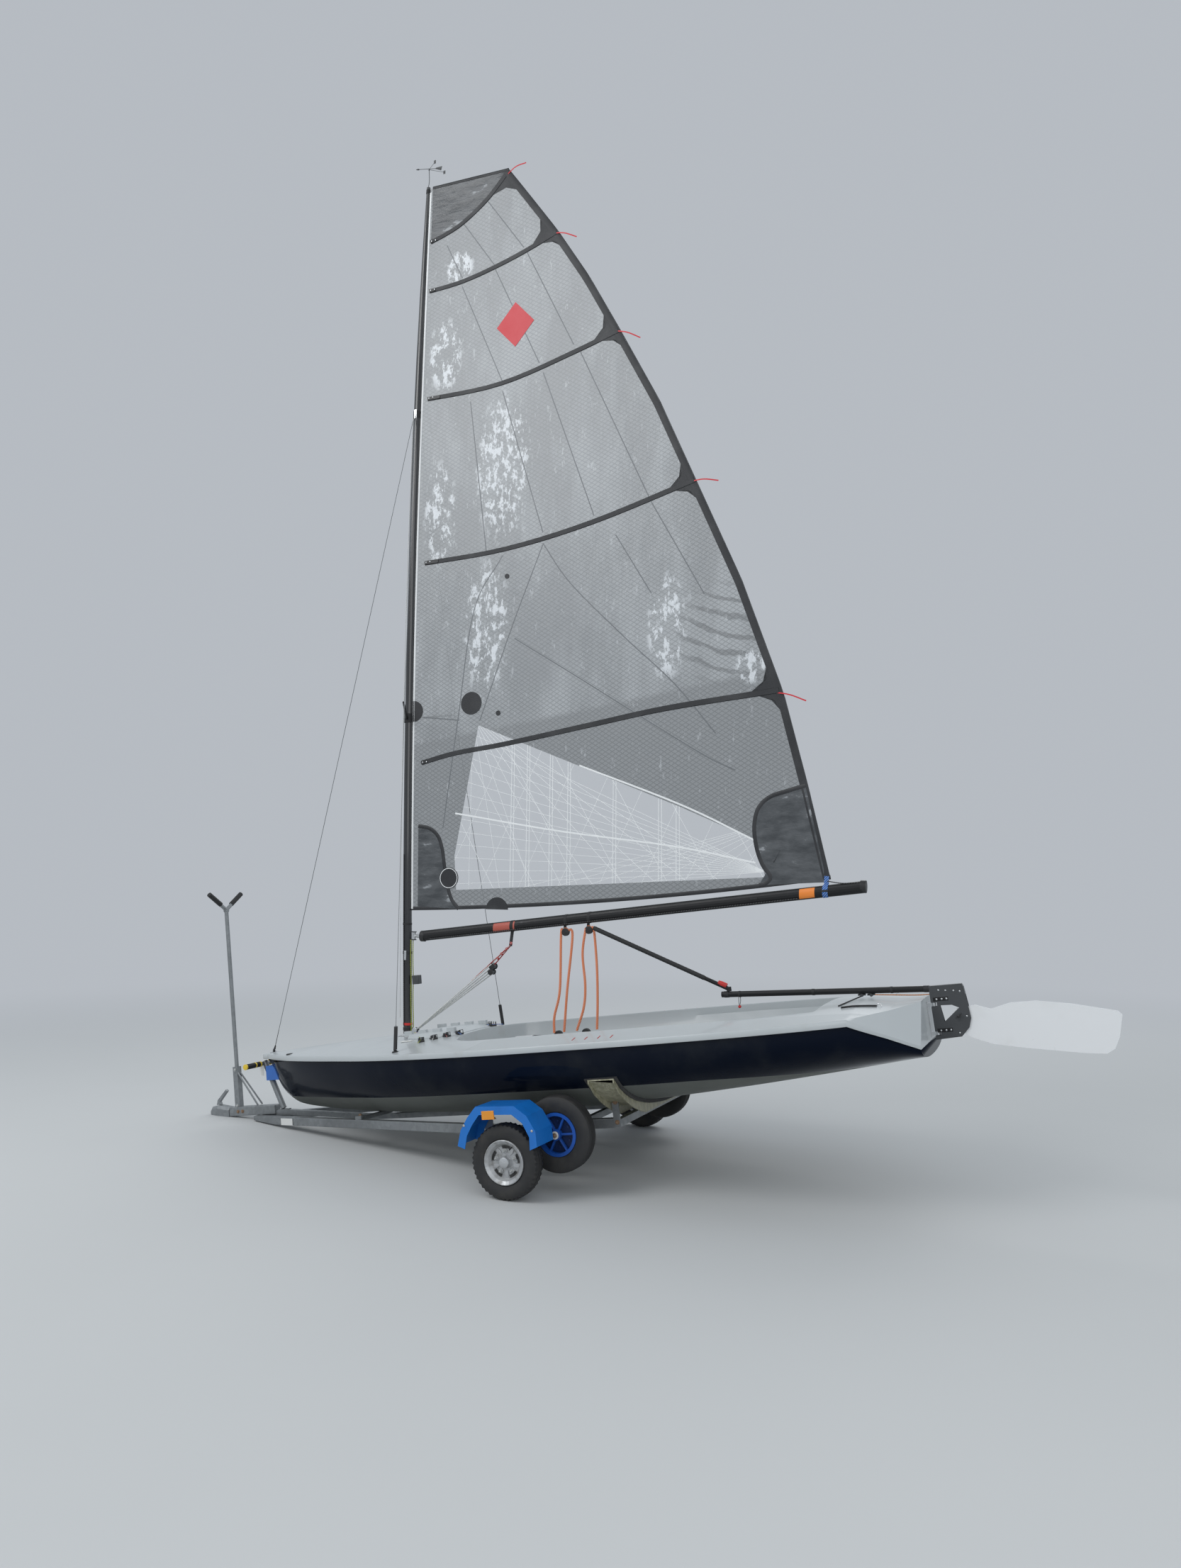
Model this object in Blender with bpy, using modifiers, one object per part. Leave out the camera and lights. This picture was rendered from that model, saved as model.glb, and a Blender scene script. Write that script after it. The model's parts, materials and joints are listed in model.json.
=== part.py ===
"""Single-handed sailing dinghy, rigged, on its launching trolley and road base.

Frame: +X aft, +Y starboard, +Z up, ground at z = 0. Metres.
The trailer is drawn level about its road axle, then the whole is pitched until the coupling rests on
the ground. The rig is drawn upright about the mast foot, then raked.
"""
from math import asin, atan2, cos, hypot, pi, radians, sin

import bmesh
import bpy
from mathutils import Matrix, Vector
from mathutils.bvhtree import BVHTree

# Shared clearances
SEAT_GAP = 0.0003
CUT_OVERRUN = 0.05
RUNNING_GAP = 0.006
EDGE_ROUND = 0.004

# Hull, measured in the level frame whose origin is the middle of the road axle
HULL_LENGTH = 4.39
HULL_BEAM = 1.62
HULL_DEPTH = 0.398
STEM_X = -2.32
KEEL_Z = 0.1245
SHEER_Z = KEEL_Z + HULL_DEPTH
RING_STEPS = 12

# station, half beam, keel height and sheer height as shares of length, half beam and depth, then the
# powers that set how full the section is across and how hard its bilge turns
HULL_SECTION_SHARES = (
    (0.000, 0.016, 0.955, 1.000, 1.40, 1.40),
    (0.018, 0.085, 0.700, 1.000, 1.40, 1.40),
    (0.026, 0.120, 0.480, 1.000, 1.40, 1.35),
    (0.037, 0.165, 0.360, 1.000, 1.40, 1.30),
    (0.059, 0.240, 0.225, 1.000, 1.38, 1.25),
    (0.098, 0.360, 0.148, 1.000, 1.34, 1.18),
    (0.150, 0.490, 0.087, 1.000, 1.28, 1.10),
    (0.210, 0.620, 0.034, 1.000, 1.20, 1.02),
    (0.300, 0.800, 0.004, 1.000, 1.10, 0.95),
    (0.400, 0.925, 0.000, 1.000, 1.02, 0.90),
    (0.530, 0.995, 0.002, 1.000, 0.98, 0.88),
    (0.660, 1.000, 0.075, 1.000, 0.96, 0.86),
    (0.780, 0.965, 0.180, 1.000, 0.95, 0.84),
    (0.870, 0.885, 0.275, 1.000, 0.94, 0.82),
    (0.933, 0.780, 0.345, 1.000, 0.93, 0.82),
    (0.970, 0.630, 0.390, 0.790, 0.93, 0.82),
    (1.000, 0.485, 0.429, 0.600, 0.93, 0.82),
)

# Deck moulding
LIP_OVERHANG = 0.018
LIP_DEPTH = 0.033
BOW_OVERHANG = 0.034
DECK_CROWN = 0.045
QUARTER_SHARE = 0.933
# station, width of the deck's top edge as a share of the lip's half width, height of that edge above
# the lip as a share of the hull's depth, crown as a share of the full crown
QUARTER_SHARES = (
    (0.933, 0.975, 0.000, 1.00),
    (0.970, 0.740, 0.225, 0.40),
    (1.000, 0.450, 0.450, 0.15),
)

# Cockpit well, level frame
WELL_FRONT = -0.62
WELL_BACK = 1.56
WELL_WALL = 0.012
WELL_TOP_HALF = 0.50
WELL_FLOOR_HALF = 0.36
WELL_FLOOR_FRONT = 0.235
WELL_FLOOR_BACK = 0.390
# station along the well, floor half width, top half width as shares
WELL_SHARES = (
    (0.000, 0.45, 0.55),
    (0.035, 0.80, 0.86),
    (0.110, 1.00, 1.00),
    (0.700, 1.00, 1.00),
    (0.930, 0.80, 0.88),
    (1.000, 0.66, 0.80),
)

# Centreboard and its case
CASE_FRONT = -0.44
CASE_LENGTH = 0.92
CASE_WIDTH = 0.070
CASE_TOP = 0.500
SLOT_WIDTH = 0.026
SLOT_MARGIN = 0.045
BOARD_THICKNESS = 0.020
BOARD_INSET = 0.006
BOARD_HANDLE = 0.040

# Cleat fairing round the mast foot
FAIRING_LENGTH = 0.42
FAIRING_WIDTH = 0.56
FAIRING_HEIGHT = 0.030
CLEAT_COUNT = 4
CLEAT_LENGTH = 0.055
CLEAT_WIDTH = 0.026
CLEAT_HEIGHT = 0.028

# Mast and stays, rig frame: origin at the mast foot, z along the mast's chord, x aft
MAST_X = -1.180
MAST_FOOT_Z = 0.612
MAST_RAKE = radians(7.85)
MAST_LENGTH = 5.71
MAST_BEND = 0.055
STEP_LENGTH = 0.11
STEP_WIDTH = 0.075
MAST_RADIUS = 0.029
# height share, radius share
MAST_TAPER_SHARES = (
    (0.00, 1.000),
    (0.25, 0.966),
    (0.55, 0.914),
    (0.75, 0.879),
    (0.88, 0.690),
    (1.00, 0.448),
)
HOUNDS_Z = 4.11
SPREADER_Z = 2.046
SPREADER_TIP_X = 0.106
SPREADER_TIP_Y = 0.300
SPREADER_RISE = 0.056
SPREADER_RADIUS = 0.009
SPREADER_BAND = 0.060
SPREADER_BAND_WALL = 0.003
STAY_RADIUS = 0.002
CHAINPLATE_X = -0.840
CHAINPLATE_Y = 0.640
CHAINPLATE_RADIUS = 0.009
SHROUD_COVER_LENGTH = 0.135
SHROUD_COVER_RADIUS = 0.011
BOW_FITTING_X = -2.277
BOW_FITTING_RADIUS = 0.008

# Boom, gooseneck and sail, rig frame
LUFF_AXIS_X = 0.030
BOOM_START_X = 0.085
BOOM_LENGTH = 2.835
BOOM_START_Z = 0.625
BOOM_END_Z = 0.985
BOOM_RADIUS = 0.0335
BOOM_WIDTH_SHARE = 0.80
BOOM_CAP = 0.010
GOOSENECK_RADIUS = 0.011
GOOSENECK_HEIGHT = 0.044
GOOSENECK_LUG = 0.006
GOOSENECK_PLUG_RADIUS = 0.016
SAIL_THICKNESS = 0.004
SAIL_CAMBER = 0.040
LUFF_GAP = 0.0007
FOOT_ROUND = 0.030
SAIL_COLUMNS = 10
# height of the luff end, then x and height of the leech end, of each drawn line across the sail, as
# shares of the mast's length
SAIL_LINE_SHARES = (
    (0.1401, 0.4776, 0.1804),
    (0.2189, 0.4562, 0.2697),
    (0.3072, 0.4326, 0.3611),
    (0.4238, 0.3897, 0.4799),
    (0.5403, 0.3410, 0.5893),
    (0.6375, 0.2995, 0.6830),
    (0.7338, 0.2511, 0.7739),
    (0.8021, 0.2145, 0.8406),
    (0.8687, 0.1746, 0.9035),
    (0.9282, 0.1331, 0.9615),
    (0.9982, 0.1093, 0.9942),
)
SAIL_LINES = [tuple(MAST_LENGTH * share for share in row) for row in SAIL_LINE_SHARES]

# Rudder, level frame: the pintle axis stands at PINTLE_X
PINTLE_STANDOFF = 0.034
PINTLE_X = STEM_X + HULL_LENGTH + PINTLE_STANDOFF
PINTLE_RADIUS = 0.0045
GUDGEON_LOW_Z = 0.392
GUDGEON_HIGH_Z = 0.540
GUDGEON_HEIGHT = 0.018
GUDGEON_RADIUS = 0.012
GUDGEON_STRIP_WIDTH = 0.040
GUDGEON_STRIP_THICKNESS = 0.004
HEAD_LENGTH = 0.180
HEAD_HEIGHT = 0.276
HEAD_BASE_Z = 0.360
HEAD_WIDTH = 0.034
HEAD_PLATE = 0.004
# rudder head outline, shares of its length and height from the foot of the pintle axis
HEAD_OUTLINE_SHARES = (
    (-0.065, 0.000), (0.660, 0.030), (0.900, 0.190), (0.985, 0.360), (0.955, 0.600), (0.900, 0.940),
    (0.860, 1.000), (-0.065, 1.000),
)
HEAD_WINDOW_SHARES = ((0.172, 0.630), (0.511, 0.623), (0.700, 0.562), (0.239, 0.322))
HEAD_SPINE_BACK = 0.006
BLADE_PIVOT_X = 0.118
BLADE_PIVOT_Z = 0.1125
BLADE_THICKNESS = 0.018
BLADE_LENGTH = 0.760
BLADE_WIDTH = 0.235
BLADE_DROOP = radians(10.8)
# blade outline, shares of length (along) and width (across, up is positive), from its pivot
BLADE_OUTLINE_SHARES = (
    (-0.045, 0.000), (-0.030, 0.140), (0.020, 0.200), (0.100, 0.275), (0.200, 0.225), (0.320, 0.400),
    (0.480, 0.500), (0.700, 0.515), (0.975, 0.465), (1.000, 0.400), (0.990, -0.060), (0.965, -0.320),
    (0.920, -0.440), (0.800, -0.480), (0.420, -0.520), (0.230, -0.520), (0.100, -0.440),
    (0.020, -0.330), (-0.030, -0.160),
)
BLADE_BOLT_RADIUS = 0.006

# Tiller and its extension, level frame
TILLER_FRONT_X = 0.957
TILLER_FRONT_Z = 0.685
TILLER_BACK_X = 2.262
TILLER_BACK_Z = 0.612
TILLER_RADIUS = 0.0165
EXTENSION_JOINT_X = 1.002
EXTENSION_JOINT_HEIGHT = 0.012
EXTENSION_LENGTH = 0.885
EXTENSION_RISE = radians(29.0)
EXTENSION_YAW = radians(3.3)
EXTENSION_RADIUS = 0.012
EXTENSION_CUP_RADIUS = 0.014

# Road wheels
ROAD_TYRE_RADIUS = 0.192
ROAD_TYRE_WIDTH = 0.098
ROAD_RIM_RADIUS = 0.114
ROAD_TRACK = 1.868
ROAD_RIM_SHEET = 0.004
ROAD_HUB_RADIUS = 0.034
ROAD_BORE_RADIUS = 0.0135
ROAD_STUB_RADIUS = 0.0125

# Trolley wheels
TROLLEY_TYRE_RADIUS = 0.197
TROLLEY_TYRE_WIDTH = 0.095
TROLLEY_RIM_RADIUS = 0.113
WHEEL_GAP = 0.0925
TROLLEY_TRACK = ROAD_TRACK - ROAD_TYRE_WIDTH - TROLLEY_TYRE_WIDTH - 2 * WHEEL_GAP
TROLLEY_AXLE_X = 0.218
TROLLEY_AXLE_Z = 0.093
TROLLEY_AXLE_SIZE = 0.034
TROLLEY_HUB_RADIUS = 0.026
TROLLEY_BORE_RADIUS = 0.0135
TROLLEY_STUB_PROUD = 0.008
TROLLEY_STUB_RADIUS = 0.0125
VANE_COUNT = 6
VANE_THICKNESS = 0.010
WHEEL_STEPS = 32

# Road base
RAIL_FRONT_X = -2.440
RAIL_TAPER_X = -2.200
RAIL_FRONT_Y = 0.040
RAIL_INSET = 0.100
RAIL_WIDTH = 0.045
RAIL_DEPTH = 0.052
RAIL_FRONT_DEPTH = 0.028
RAIL_FRONT_TOP_Z = 0.153
BEAM_X = -0.150
BEAM_SIZE = 0.050
BEAM_INSET = 0.134
BEAM_HALF = ROAD_TRACK / 2 - BEAM_INSET
RAIL_BACK_Y = BEAM_HALF - RAIL_INSET
SADDLE_INSET = 0.185
SADDLE_Y = TROLLEY_TRACK / 2 - SADDLE_INSET
SADDLE_WIDTH = 0.050
SADDLE_THICKNESS = 0.020
ARM_THICKNESS = 0.020
ARM_PIVOT_RADIUS = 0.034
ARM_END_RADIUS = 0.028
GUARD_BRACKET_INSET = 0.108
GUARD_BRACKET_Y = ROAD_TRACK / 2 - GUARD_BRACKET_INSET
GUARD_BRACKET_WIDTH = 0.050
GUARD_BRACKET_THICKNESS = 0.006
GUARD_BRACKET_TOP = 0.262
GUARD_WIDTH = 0.180
GUARD_SKIRT = 0.044
GUARD_SHEET = 0.004
GUARD_RADIUS = 0.290
# mudguard profile, shares of its radius from the wheel's centre, front to back
GUARD_PROFILE_SHARES = (
    (-0.821, 0.338), (-0.731, 0.607), (-0.569, 0.824), (-0.386, 1.003), (0.386, 0.983), (0.621, 0.807),
    (0.766, 0.534), (0.772, 0.276),
)
DRAWBAR_FRONT_X = -2.680
DRAWBAR_SIZE = 0.060
COUPLING_NOSE_X = -2.855
COUPLING_NOSE_Z = 0.172
COUPLING_WIDTH = 0.072
COUPLING_TOP_Z = 0.232
SOCKET_RADIUS = 0.026
LEVER_LENGTH = 0.140
LEVER_RISE = 0.090
LEVER_WIDTH = 0.022

# Mast support post
POST_X = -2.612
POST_TOP_Z = 1.573
POST_RADIUS = 0.0135
SLEEVE_TOP_Z = 0.483
SLEEVE_SIZE = 0.040
CRUTCH_HALF = 0.156
CRUTCH_RISE = 0.107
CRUTCH_RADIUS = 0.013
POST_STAY_X = -2.430
POST_STAY_Y = 0.022
POST_STAY_RADIUS = 0.006

# Launching trolley
SPINE_FRONT_X = -2.280
SPINE_WIDTH = 0.040
SPINE_TOP_Z = 0.120
SPINE_DEPTH = 0.032
SPINE_NOSE_RISE = 0.056
SPINE_NOSE_END_X = -2.170
SPINE_LEVEL_X = -1.500
BOW_POST_FOOT_X = -2.222
BOW_POST_TOP_X = -2.364
BOW_POST_TOP_Z = 0.506
BOW_POST_RADIUS = 0.019
HANDLE_HALF = 0.190
HANDLE_RADIUS = 0.0135
SNUBBER_Z = 0.428
SNUBBER_HEIGHT = 0.095
SNUBBER_WIDTH = 0.084
SNUBBER_FRONT_X = -2.322
SIDE_RAIL_INSET = 0.060
SIDE_RAIL_Y = SADDLE_Y - SIDE_RAIL_INSET
SIDE_RAIL_WIDTH = 0.045
SIDE_RAIL_DEPTH = 0.050
SIDE_RAIL_TOP_Z = 0.118
CROSS_X = 0.440
CROSS_SIZE = 0.038
CROSS_LOW_Z = 0.075
CROSS_OUTSET = 0.030
CROSS_HALF = SIDE_RAIL_Y + CROSS_OUTSET
UPRIGHT_THICKNESS = 0.008
CRADLE_FRONT_X = 0.420
CRADLE_BACK_X = 0.570
CRADLE_PAD_LAP = 0.019
CRADLE_OUTSET = 0.012
CRADLE_HALF = TROLLEY_TRACK / 2 + CRADLE_OUTSET
CRADLE_SKIN = 0.007
CRADLE_FLANGE = 0.058
CRADLE_TIP_FLANGE = 0.022
CRADLE_PAD = 0.010
CRADLE_STEPS = 24
PAD_GAP = 0.0009

SPINE_LOW_Z = SPINE_TOP_Z - SPINE_DEPTH
BEAM_Z = SPINE_LOW_Z - SEAT_GAP - BEAM_SIZE / 2
DRAWBAR_BACK_X = SPINE_FRONT_X - SEAT_GAP
NOSE_TOP_Z = SPINE_TOP_Z + SPINE_NOSE_RISE

# Colours: base colour, roughness, metallic
FINISHES = {
    "navy_gelcoat": ((0.004, 0.006, 0.016), 0.18, 0.0),
    "grey_gelcoat": ((0.42, 0.47, 0.50), 0.35, 0.0),
    "carbon_black": ((0.018, 0.018, 0.020), 0.38, 0.0),
    "sail_film": ((0.55, 0.57, 0.60), 0.30, 0.0),
    "stainless": ((0.55, 0.56, 0.57), 0.28, 1.0),
    "black_anodised": ((0.03, 0.03, 0.032), 0.42, 0.6),
    "blade_white": ((0.80, 0.82, 0.82), 0.30, 0.0),
    "galvanised": ((0.40, 0.43, 0.45), 0.50, 0.9),
    "tyre_rubber": ((0.020, 0.020, 0.020), 0.85, 0.0),
    "rim_silver": ((0.50, 0.51, 0.52), 0.40, 0.8),
    "hub_blue": ((0.010, 0.045, 0.250), 0.45, 0.0),
    "guard_blue": ((0.010, 0.150, 0.620), 0.40, 0.0),
    "cradle_resin": ((0.46, 0.42, 0.22), 0.55, 0.0),
    "carpet_black": ((0.02, 0.02, 0.022), 0.95, 0.0),
    "snubber_blue": ((0.010, 0.100, 0.400), 0.50, 0.0),
    "grip_black": ((0.02, 0.02, 0.02), 0.80, 0.0),
}

PARTS = None
CUTTERS = None


def finish(name):
    """The Principled material of one finish, made once."""
    material = bpy.data.materials.get(name)
    if material:
        return material
    colour, roughness, metallic = FINISHES[name]
    material = bpy.data.materials.new(name)
    material.use_nodes = True
    shader = material.node_tree.nodes["Principled BSDF"]
    shader.inputs["Base Color"].default_value = (*colour, 1.0)
    shader.inputs["Roughness"].default_value = roughness
    shader.inputs["Metallic"].default_value = metallic
    material.diffuse_color = (*colour, 1.0)
    return material


def clear_scene():
    """Remove every object, then make the collections for the parts and the cutters."""
    global PARTS, CUTTERS
    for item in list(bpy.data.objects):
        bpy.data.objects.remove(item, do_unlink=True)
    PARTS = bpy.data.collections.new("sailing_dinghy")
    CUTTERS = bpy.data.collections.new("cutters")
    for group in (PARTS, CUTTERS):
        bpy.context.scene.collection.children.link(group)


def empty(name, location, pitch=0.0, parent=None):
    """A frame that pieces hang on; a positive pitch leans its z axis aft."""
    frame = bpy.data.objects.new(name, None)
    frame.location = location
    frame.rotation_euler = (0.0, pitch, 0.0)
    frame.parent = parent
    PARTS.objects.link(frame)
    return frame


def hang_on_axis(name, place, pieces):
    """Hang pieces that turn together on a frame that stands on their axis, leaving them where they are."""
    axis = empty(name, place, 0.0, pieces[0].parent)
    for piece in pieces:
        piece.parent = axis
        piece.location = -Vector(place)


def add(name, mesh, material, parent=None, location=(0, 0, 0), collection=None):
    """Link a mesh as an object with its finish, under its frame."""
    item = bpy.data.objects.new(name, mesh)
    item.location = location
    item.parent = parent
    if material:
        mesh.materials.append(finish(material))
    (collection or PARTS).objects.link(item)
    return item


def mesh_from(name, build):
    """A mesh from a function that fills a bmesh; its faces are turned outwards."""
    work = bmesh.new()
    build(work)
    bmesh.ops.recalc_face_normals(work, faces=work.faces)
    mesh = bpy.data.meshes.new(name)
    work.to_mesh(mesh)
    work.free()
    return mesh


def box_mesh(name, low, high):
    """A box between two corners."""
    def build(work):
        bmesh.ops.create_cube(work, size=1.0)
        size = Vector(high) - Vector(low)
        middle = (Vector(high) + Vector(low)) / 2
        bmesh.ops.scale(work, vec=size, verts=work.verts)
        bmesh.ops.translate(work, vec=middle, verts=work.verts)
    return mesh_from(name, build)


def rod_mesh(name, start, end, radius, end_radius=None, sides=16):
    """A round bar, or a cone, between two points."""
    start, end = Vector(start), Vector(end)
    along = end - start

    def build(work):
        turn = Vector((0, 0, 1)).rotation_difference(along.normalized()).to_matrix().to_4x4()
        place = Matrix.Translation((start + end) / 2) @ turn
        bmesh.ops.create_cone(work, cap_ends=True, segments=sides, radius1=radius,
                              radius2=radius if end_radius is None else end_radius,
                              depth=along.length, matrix=place)
    return mesh_from(name, build)


def loft_mesh(name, rings):
    """A closed body through rings of equal count, in triangles; the end rings are capped."""
    def build(work):
        rows = [[work.verts.new(point) for point in ring] for ring in rings]
        count = len(rows[0])
        for near, far in zip(rows, rows[1:]):
            for k in range(count):
                step = (k + 1) % count
                work.faces.new((near[k], near[step], far[step], far[k]))
        work.faces.new(rows[0])
        work.faces.new(rows[-1])
        bmesh.ops.triangulate(work, faces=work.faces, quad_method="FIXED", ngon_method="EAR_CLIP")
    return mesh_from(name, build)


def plate_mesh(name, outline, low, high, axis="y"):
    """A flat plate: an outline drawn in x and z (or x and y) between two depths."""
    def lift(point, depth):
        if axis == "y":
            return (point[0], depth, point[1])
        return (point[0], point[1], depth)
    return loft_mesh(name, [[lift(point, depth) for point in outline] for depth in (low, high)])


def as_mesh(item):
    """Replace an object's mesh by its evaluated one, with no modifiers left."""
    bpy.context.view_layer.update()
    graph = bpy.context.evaluated_depsgraph_get()
    mesh = bpy.data.meshes.new_from_object(item.evaluated_get(graph))
    item.modifiers.clear()
    item.data = mesh
    return item


def join_shapes(item, meshes, operation="UNION"):
    """Unite shapes with an object, or cut them out of it, in its own frame."""
    for number, mesh in enumerate(meshes):
        tool = add(f"{item.name}_{operation.lower()}_{number}", mesh, None, item.parent, item.location,
                   CUTTERS)
        tool.rotation_euler = item.rotation_euler
        modifier = item.modifiers.new(operation.lower(), "BOOLEAN")
        modifier.operation = operation
        modifier.solver = "EXACT"
        modifier.object = tool
        as_mesh(item)
        bpy.data.objects.remove(tool, do_unlink=True)
    return item


def round_edges(item, width, segments=2):
    """Bevel the sharp edges of a piece."""
    modifier = item.modifiers.new("edges", "BEVEL")
    modifier.width = width
    modifier.segments = segments
    modifier.limit_method = "ANGLE"
    return item


def smooth(item, angle=radians(35)):
    """Shade smooth with sharp edges kept."""
    item.data.shade_smooth()
    item.data.set_sharp_from_angle(angle=angle)
    return item


def turned(name, profile, material, parent, location, steps=WHEEL_STEPS):
    """A closed profile of (radius, y) points turned about the y axis."""
    def build(work):
        corners = [work.verts.new((radius, along, 0.0)) for radius, along in profile]
        for k, corner in enumerate(corners):
            work.edges.new((corner, corners[(k + 1) % len(corners)]))
    mesh = mesh_from(name, build)
    item = add(name, mesh, material, parent, location)
    screw = item.modifiers.new("turn", "SCREW")
    screw.axis = "Y"
    screw.steps = steps
    screw.render_steps = steps
    screw.use_merge_vertices = True
    screw.merge_threshold = 0.0001
    as_mesh(item)
    flip = bmesh.new()
    flip.from_mesh(item.data)
    bmesh.ops.recalc_face_normals(flip, faces=flip.faces)
    flip.to_mesh(item.data)
    flip.free()
    return smooth(item)


def lerp(low, high, share):
    return low + (high - low) * share


def along_table(rows, value):
    """Read a table at a value of its first column, between its rows."""
    for before, after in zip(rows, rows[1:]):
        if value <= after[0]:
            share = (value - before[0]) / (after[0] - before[0])
            return [lerp(a, b, share) for a, b in zip(before, after)]
    return list(rows[-1])


# Hull and deck

def hull_ring(row):
    """One station of the hull, from the port sheer under the keel to the starboard sheer."""
    station, beam_share, keel_share, sheer_share, across, turn = row
    x = STEM_X + HULL_LENGTH * station
    half = HULL_BEAM / 2 * beam_share
    keel = KEEL_Z + HULL_DEPTH * keel_share
    sheer = KEEL_Z + HULL_DEPTH * sheer_share
    side = []
    for k in range(RING_STEPS + 1):
        angle = pi / 2 * k / RING_STEPS
        side.append((half * sin(angle) ** across, sheer - (sheer - keel) * cos(angle) ** turn))
    side[-1] = (half, sheer)
    port = [(x, -y, z) for y, z in reversed(side)]
    starboard = [(x, y, z) for y, z in side[1:]]
    return port + starboard


def grown_hull(gap):
    """The hull's outer form, grown by a gap, as the seat of what rests against it."""
    mesh = loft_mesh("grown_hull", [hull_ring(row) for row in HULL_SECTION_SHARES])
    work = bmesh.new()
    work.from_mesh(mesh)
    work.normal_update()
    for vertex in work.verts:
        vertex.co += vertex.normal * gap
    work.to_mesh(mesh)
    work.free()
    return mesh


def lip_half(station):
    """Half width of the deck's lip at a station."""
    half = HULL_BEAM / 2 * along_table(HULL_SECTION_SHARES, station)[1]
    return half + LIP_OVERHANG


def deck_ring(x, half, lip_z, top_half, top_z, crown):
    """One station of the deck moulding: flat underside, rounded lip, crowned top."""
    lip_top = lip_z + LIP_DEPTH
    side = [
        (half, lip_z),
        (half, lerp(lip_z, lip_top, 0.6)),
        (lerp(top_half, half, 0.75), max(lip_top, lerp(lip_top, top_z, 0.1))),
        (top_half, max(top_z, lip_top)),
        (top_half * 0.70, max(top_z, lip_top) + crown * 0.51),
        (top_half * 0.35, max(top_z, lip_top) + crown * 0.88),
    ]
    top = [(x, y, z) for y, z in side]
    return [(x, 0.0, lip_z)] + top + [(x, 0.0, max(top_z, lip_top) + crown)] + \
        [(x, -y, z) for _, y, z in reversed(top)]


def deck_rings():
    """Stations of the deck, with a rounded bow tip ahead of the stem."""
    rings = []
    lip_z = SHEER_Z + SEAT_GAP
    rings.append(deck_ring(STEM_X - BOW_OVERHANG, LIP_OVERHANG, lip_z, LIP_OVERHANG * 0.6,
                           lip_z + LIP_DEPTH * 1.1, LIP_DEPTH * 0.1))
    for row in HULL_SECTION_SHARES:
        station = row[0]
        x = STEM_X + HULL_LENGTH * station
        half = HULL_BEAM / 2 * row[1] + LIP_OVERHANG * 1.6 if station == 0 else lip_half(station)
        base = KEEL_Z + HULL_DEPTH * row[3] + SEAT_GAP
        crown = DECK_CROWN * min(1.0, row[1] * 1.6)
        if station < QUARTER_SHARE:
            rings.append(deck_ring(x, half, base, half - LIP_OVERHANG * 1.1, base + LIP_DEPTH, crown))
        else:
            _, top_share, rise_share, crown_share = along_table(QUARTER_SHARES, station)
            top_z = base + LIP_DEPTH + HULL_DEPTH * rise_share
            rings.append(deck_ring(x, half, base, half * top_share, top_z, crown * crown_share))
    return rings


def well_rings(grow, reach=0.0):
    """Stations of the cockpit well, grown by a wall thickness, up to its rim and straight up from it."""
    rings = []
    for share, floor_share, top_share in WELL_SHARES:
        end = -grow if share == 0 else grow if share == 1 else 0.0
        x = lerp(WELL_FRONT, WELL_BACK, share) + end
        floor = lerp(WELL_FLOOR_FRONT, WELL_FLOOR_BACK, share) - grow
        low = WELL_FLOOR_HALF * floor_share + grow
        high = WELL_TOP_HALF * top_share + grow
        shoulder = (lerp(low, high, 0.25), floor + 0.05 * HULL_DEPTH)
        rim = (high, SHEER_Z + LIP_DEPTH / 2)
        half = [(low * 0.92, floor), shoulder, rim]
        if reach:
            half.append((high, rim[1] + reach))
        rings.append([(x, y, z) for y, z in half] + [(x, -y, z) for y, z in reversed(half)])
    return rings


def make_hull(level):
    hull = add("hull", loft_mesh("hull", [hull_ring(row) for row in HULL_SECTION_SHARES]),
               "navy_gelcoat", level)
    skin = surface(hull.data)
    deck = add("deck", loft_mesh("deck", deck_rings()), "grey_gelcoat", level)
    top = surface(deck.data)
    slot = box_mesh("slot", (CASE_FRONT + SLOT_MARGIN, -SLOT_WIDTH / 2, KEEL_Z - CUT_OVERRUN),
                    (CASE_FRONT + CASE_LENGTH - SLOT_MARGIN, SLOT_WIDTH / 2, SHEER_Z + CUT_OVERRUN * 3))
    join_shapes(deck, [loft_mesh("tray", well_rings(WELL_WALL))])
    join_shapes(deck, [loft_mesh("well", well_rings(0.0, CUT_OVERRUN * 2)), slot.copy()], "DIFFERENCE")
    hollow = loft_mesh("hollow", well_rings(WELL_WALL + SEAT_GAP, CUT_OVERRUN))
    join_shapes(hull, [hollow, slot], "DIFFERENCE")
    smooth(hull)
    smooth(deck)
    return skin, top


def floor_at(x):
    """Height of the cockpit floor."""
    return lerp(WELL_FLOOR_FRONT, WELL_FLOOR_BACK, (x - WELL_FRONT) / (WELL_BACK - WELL_FRONT))


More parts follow.
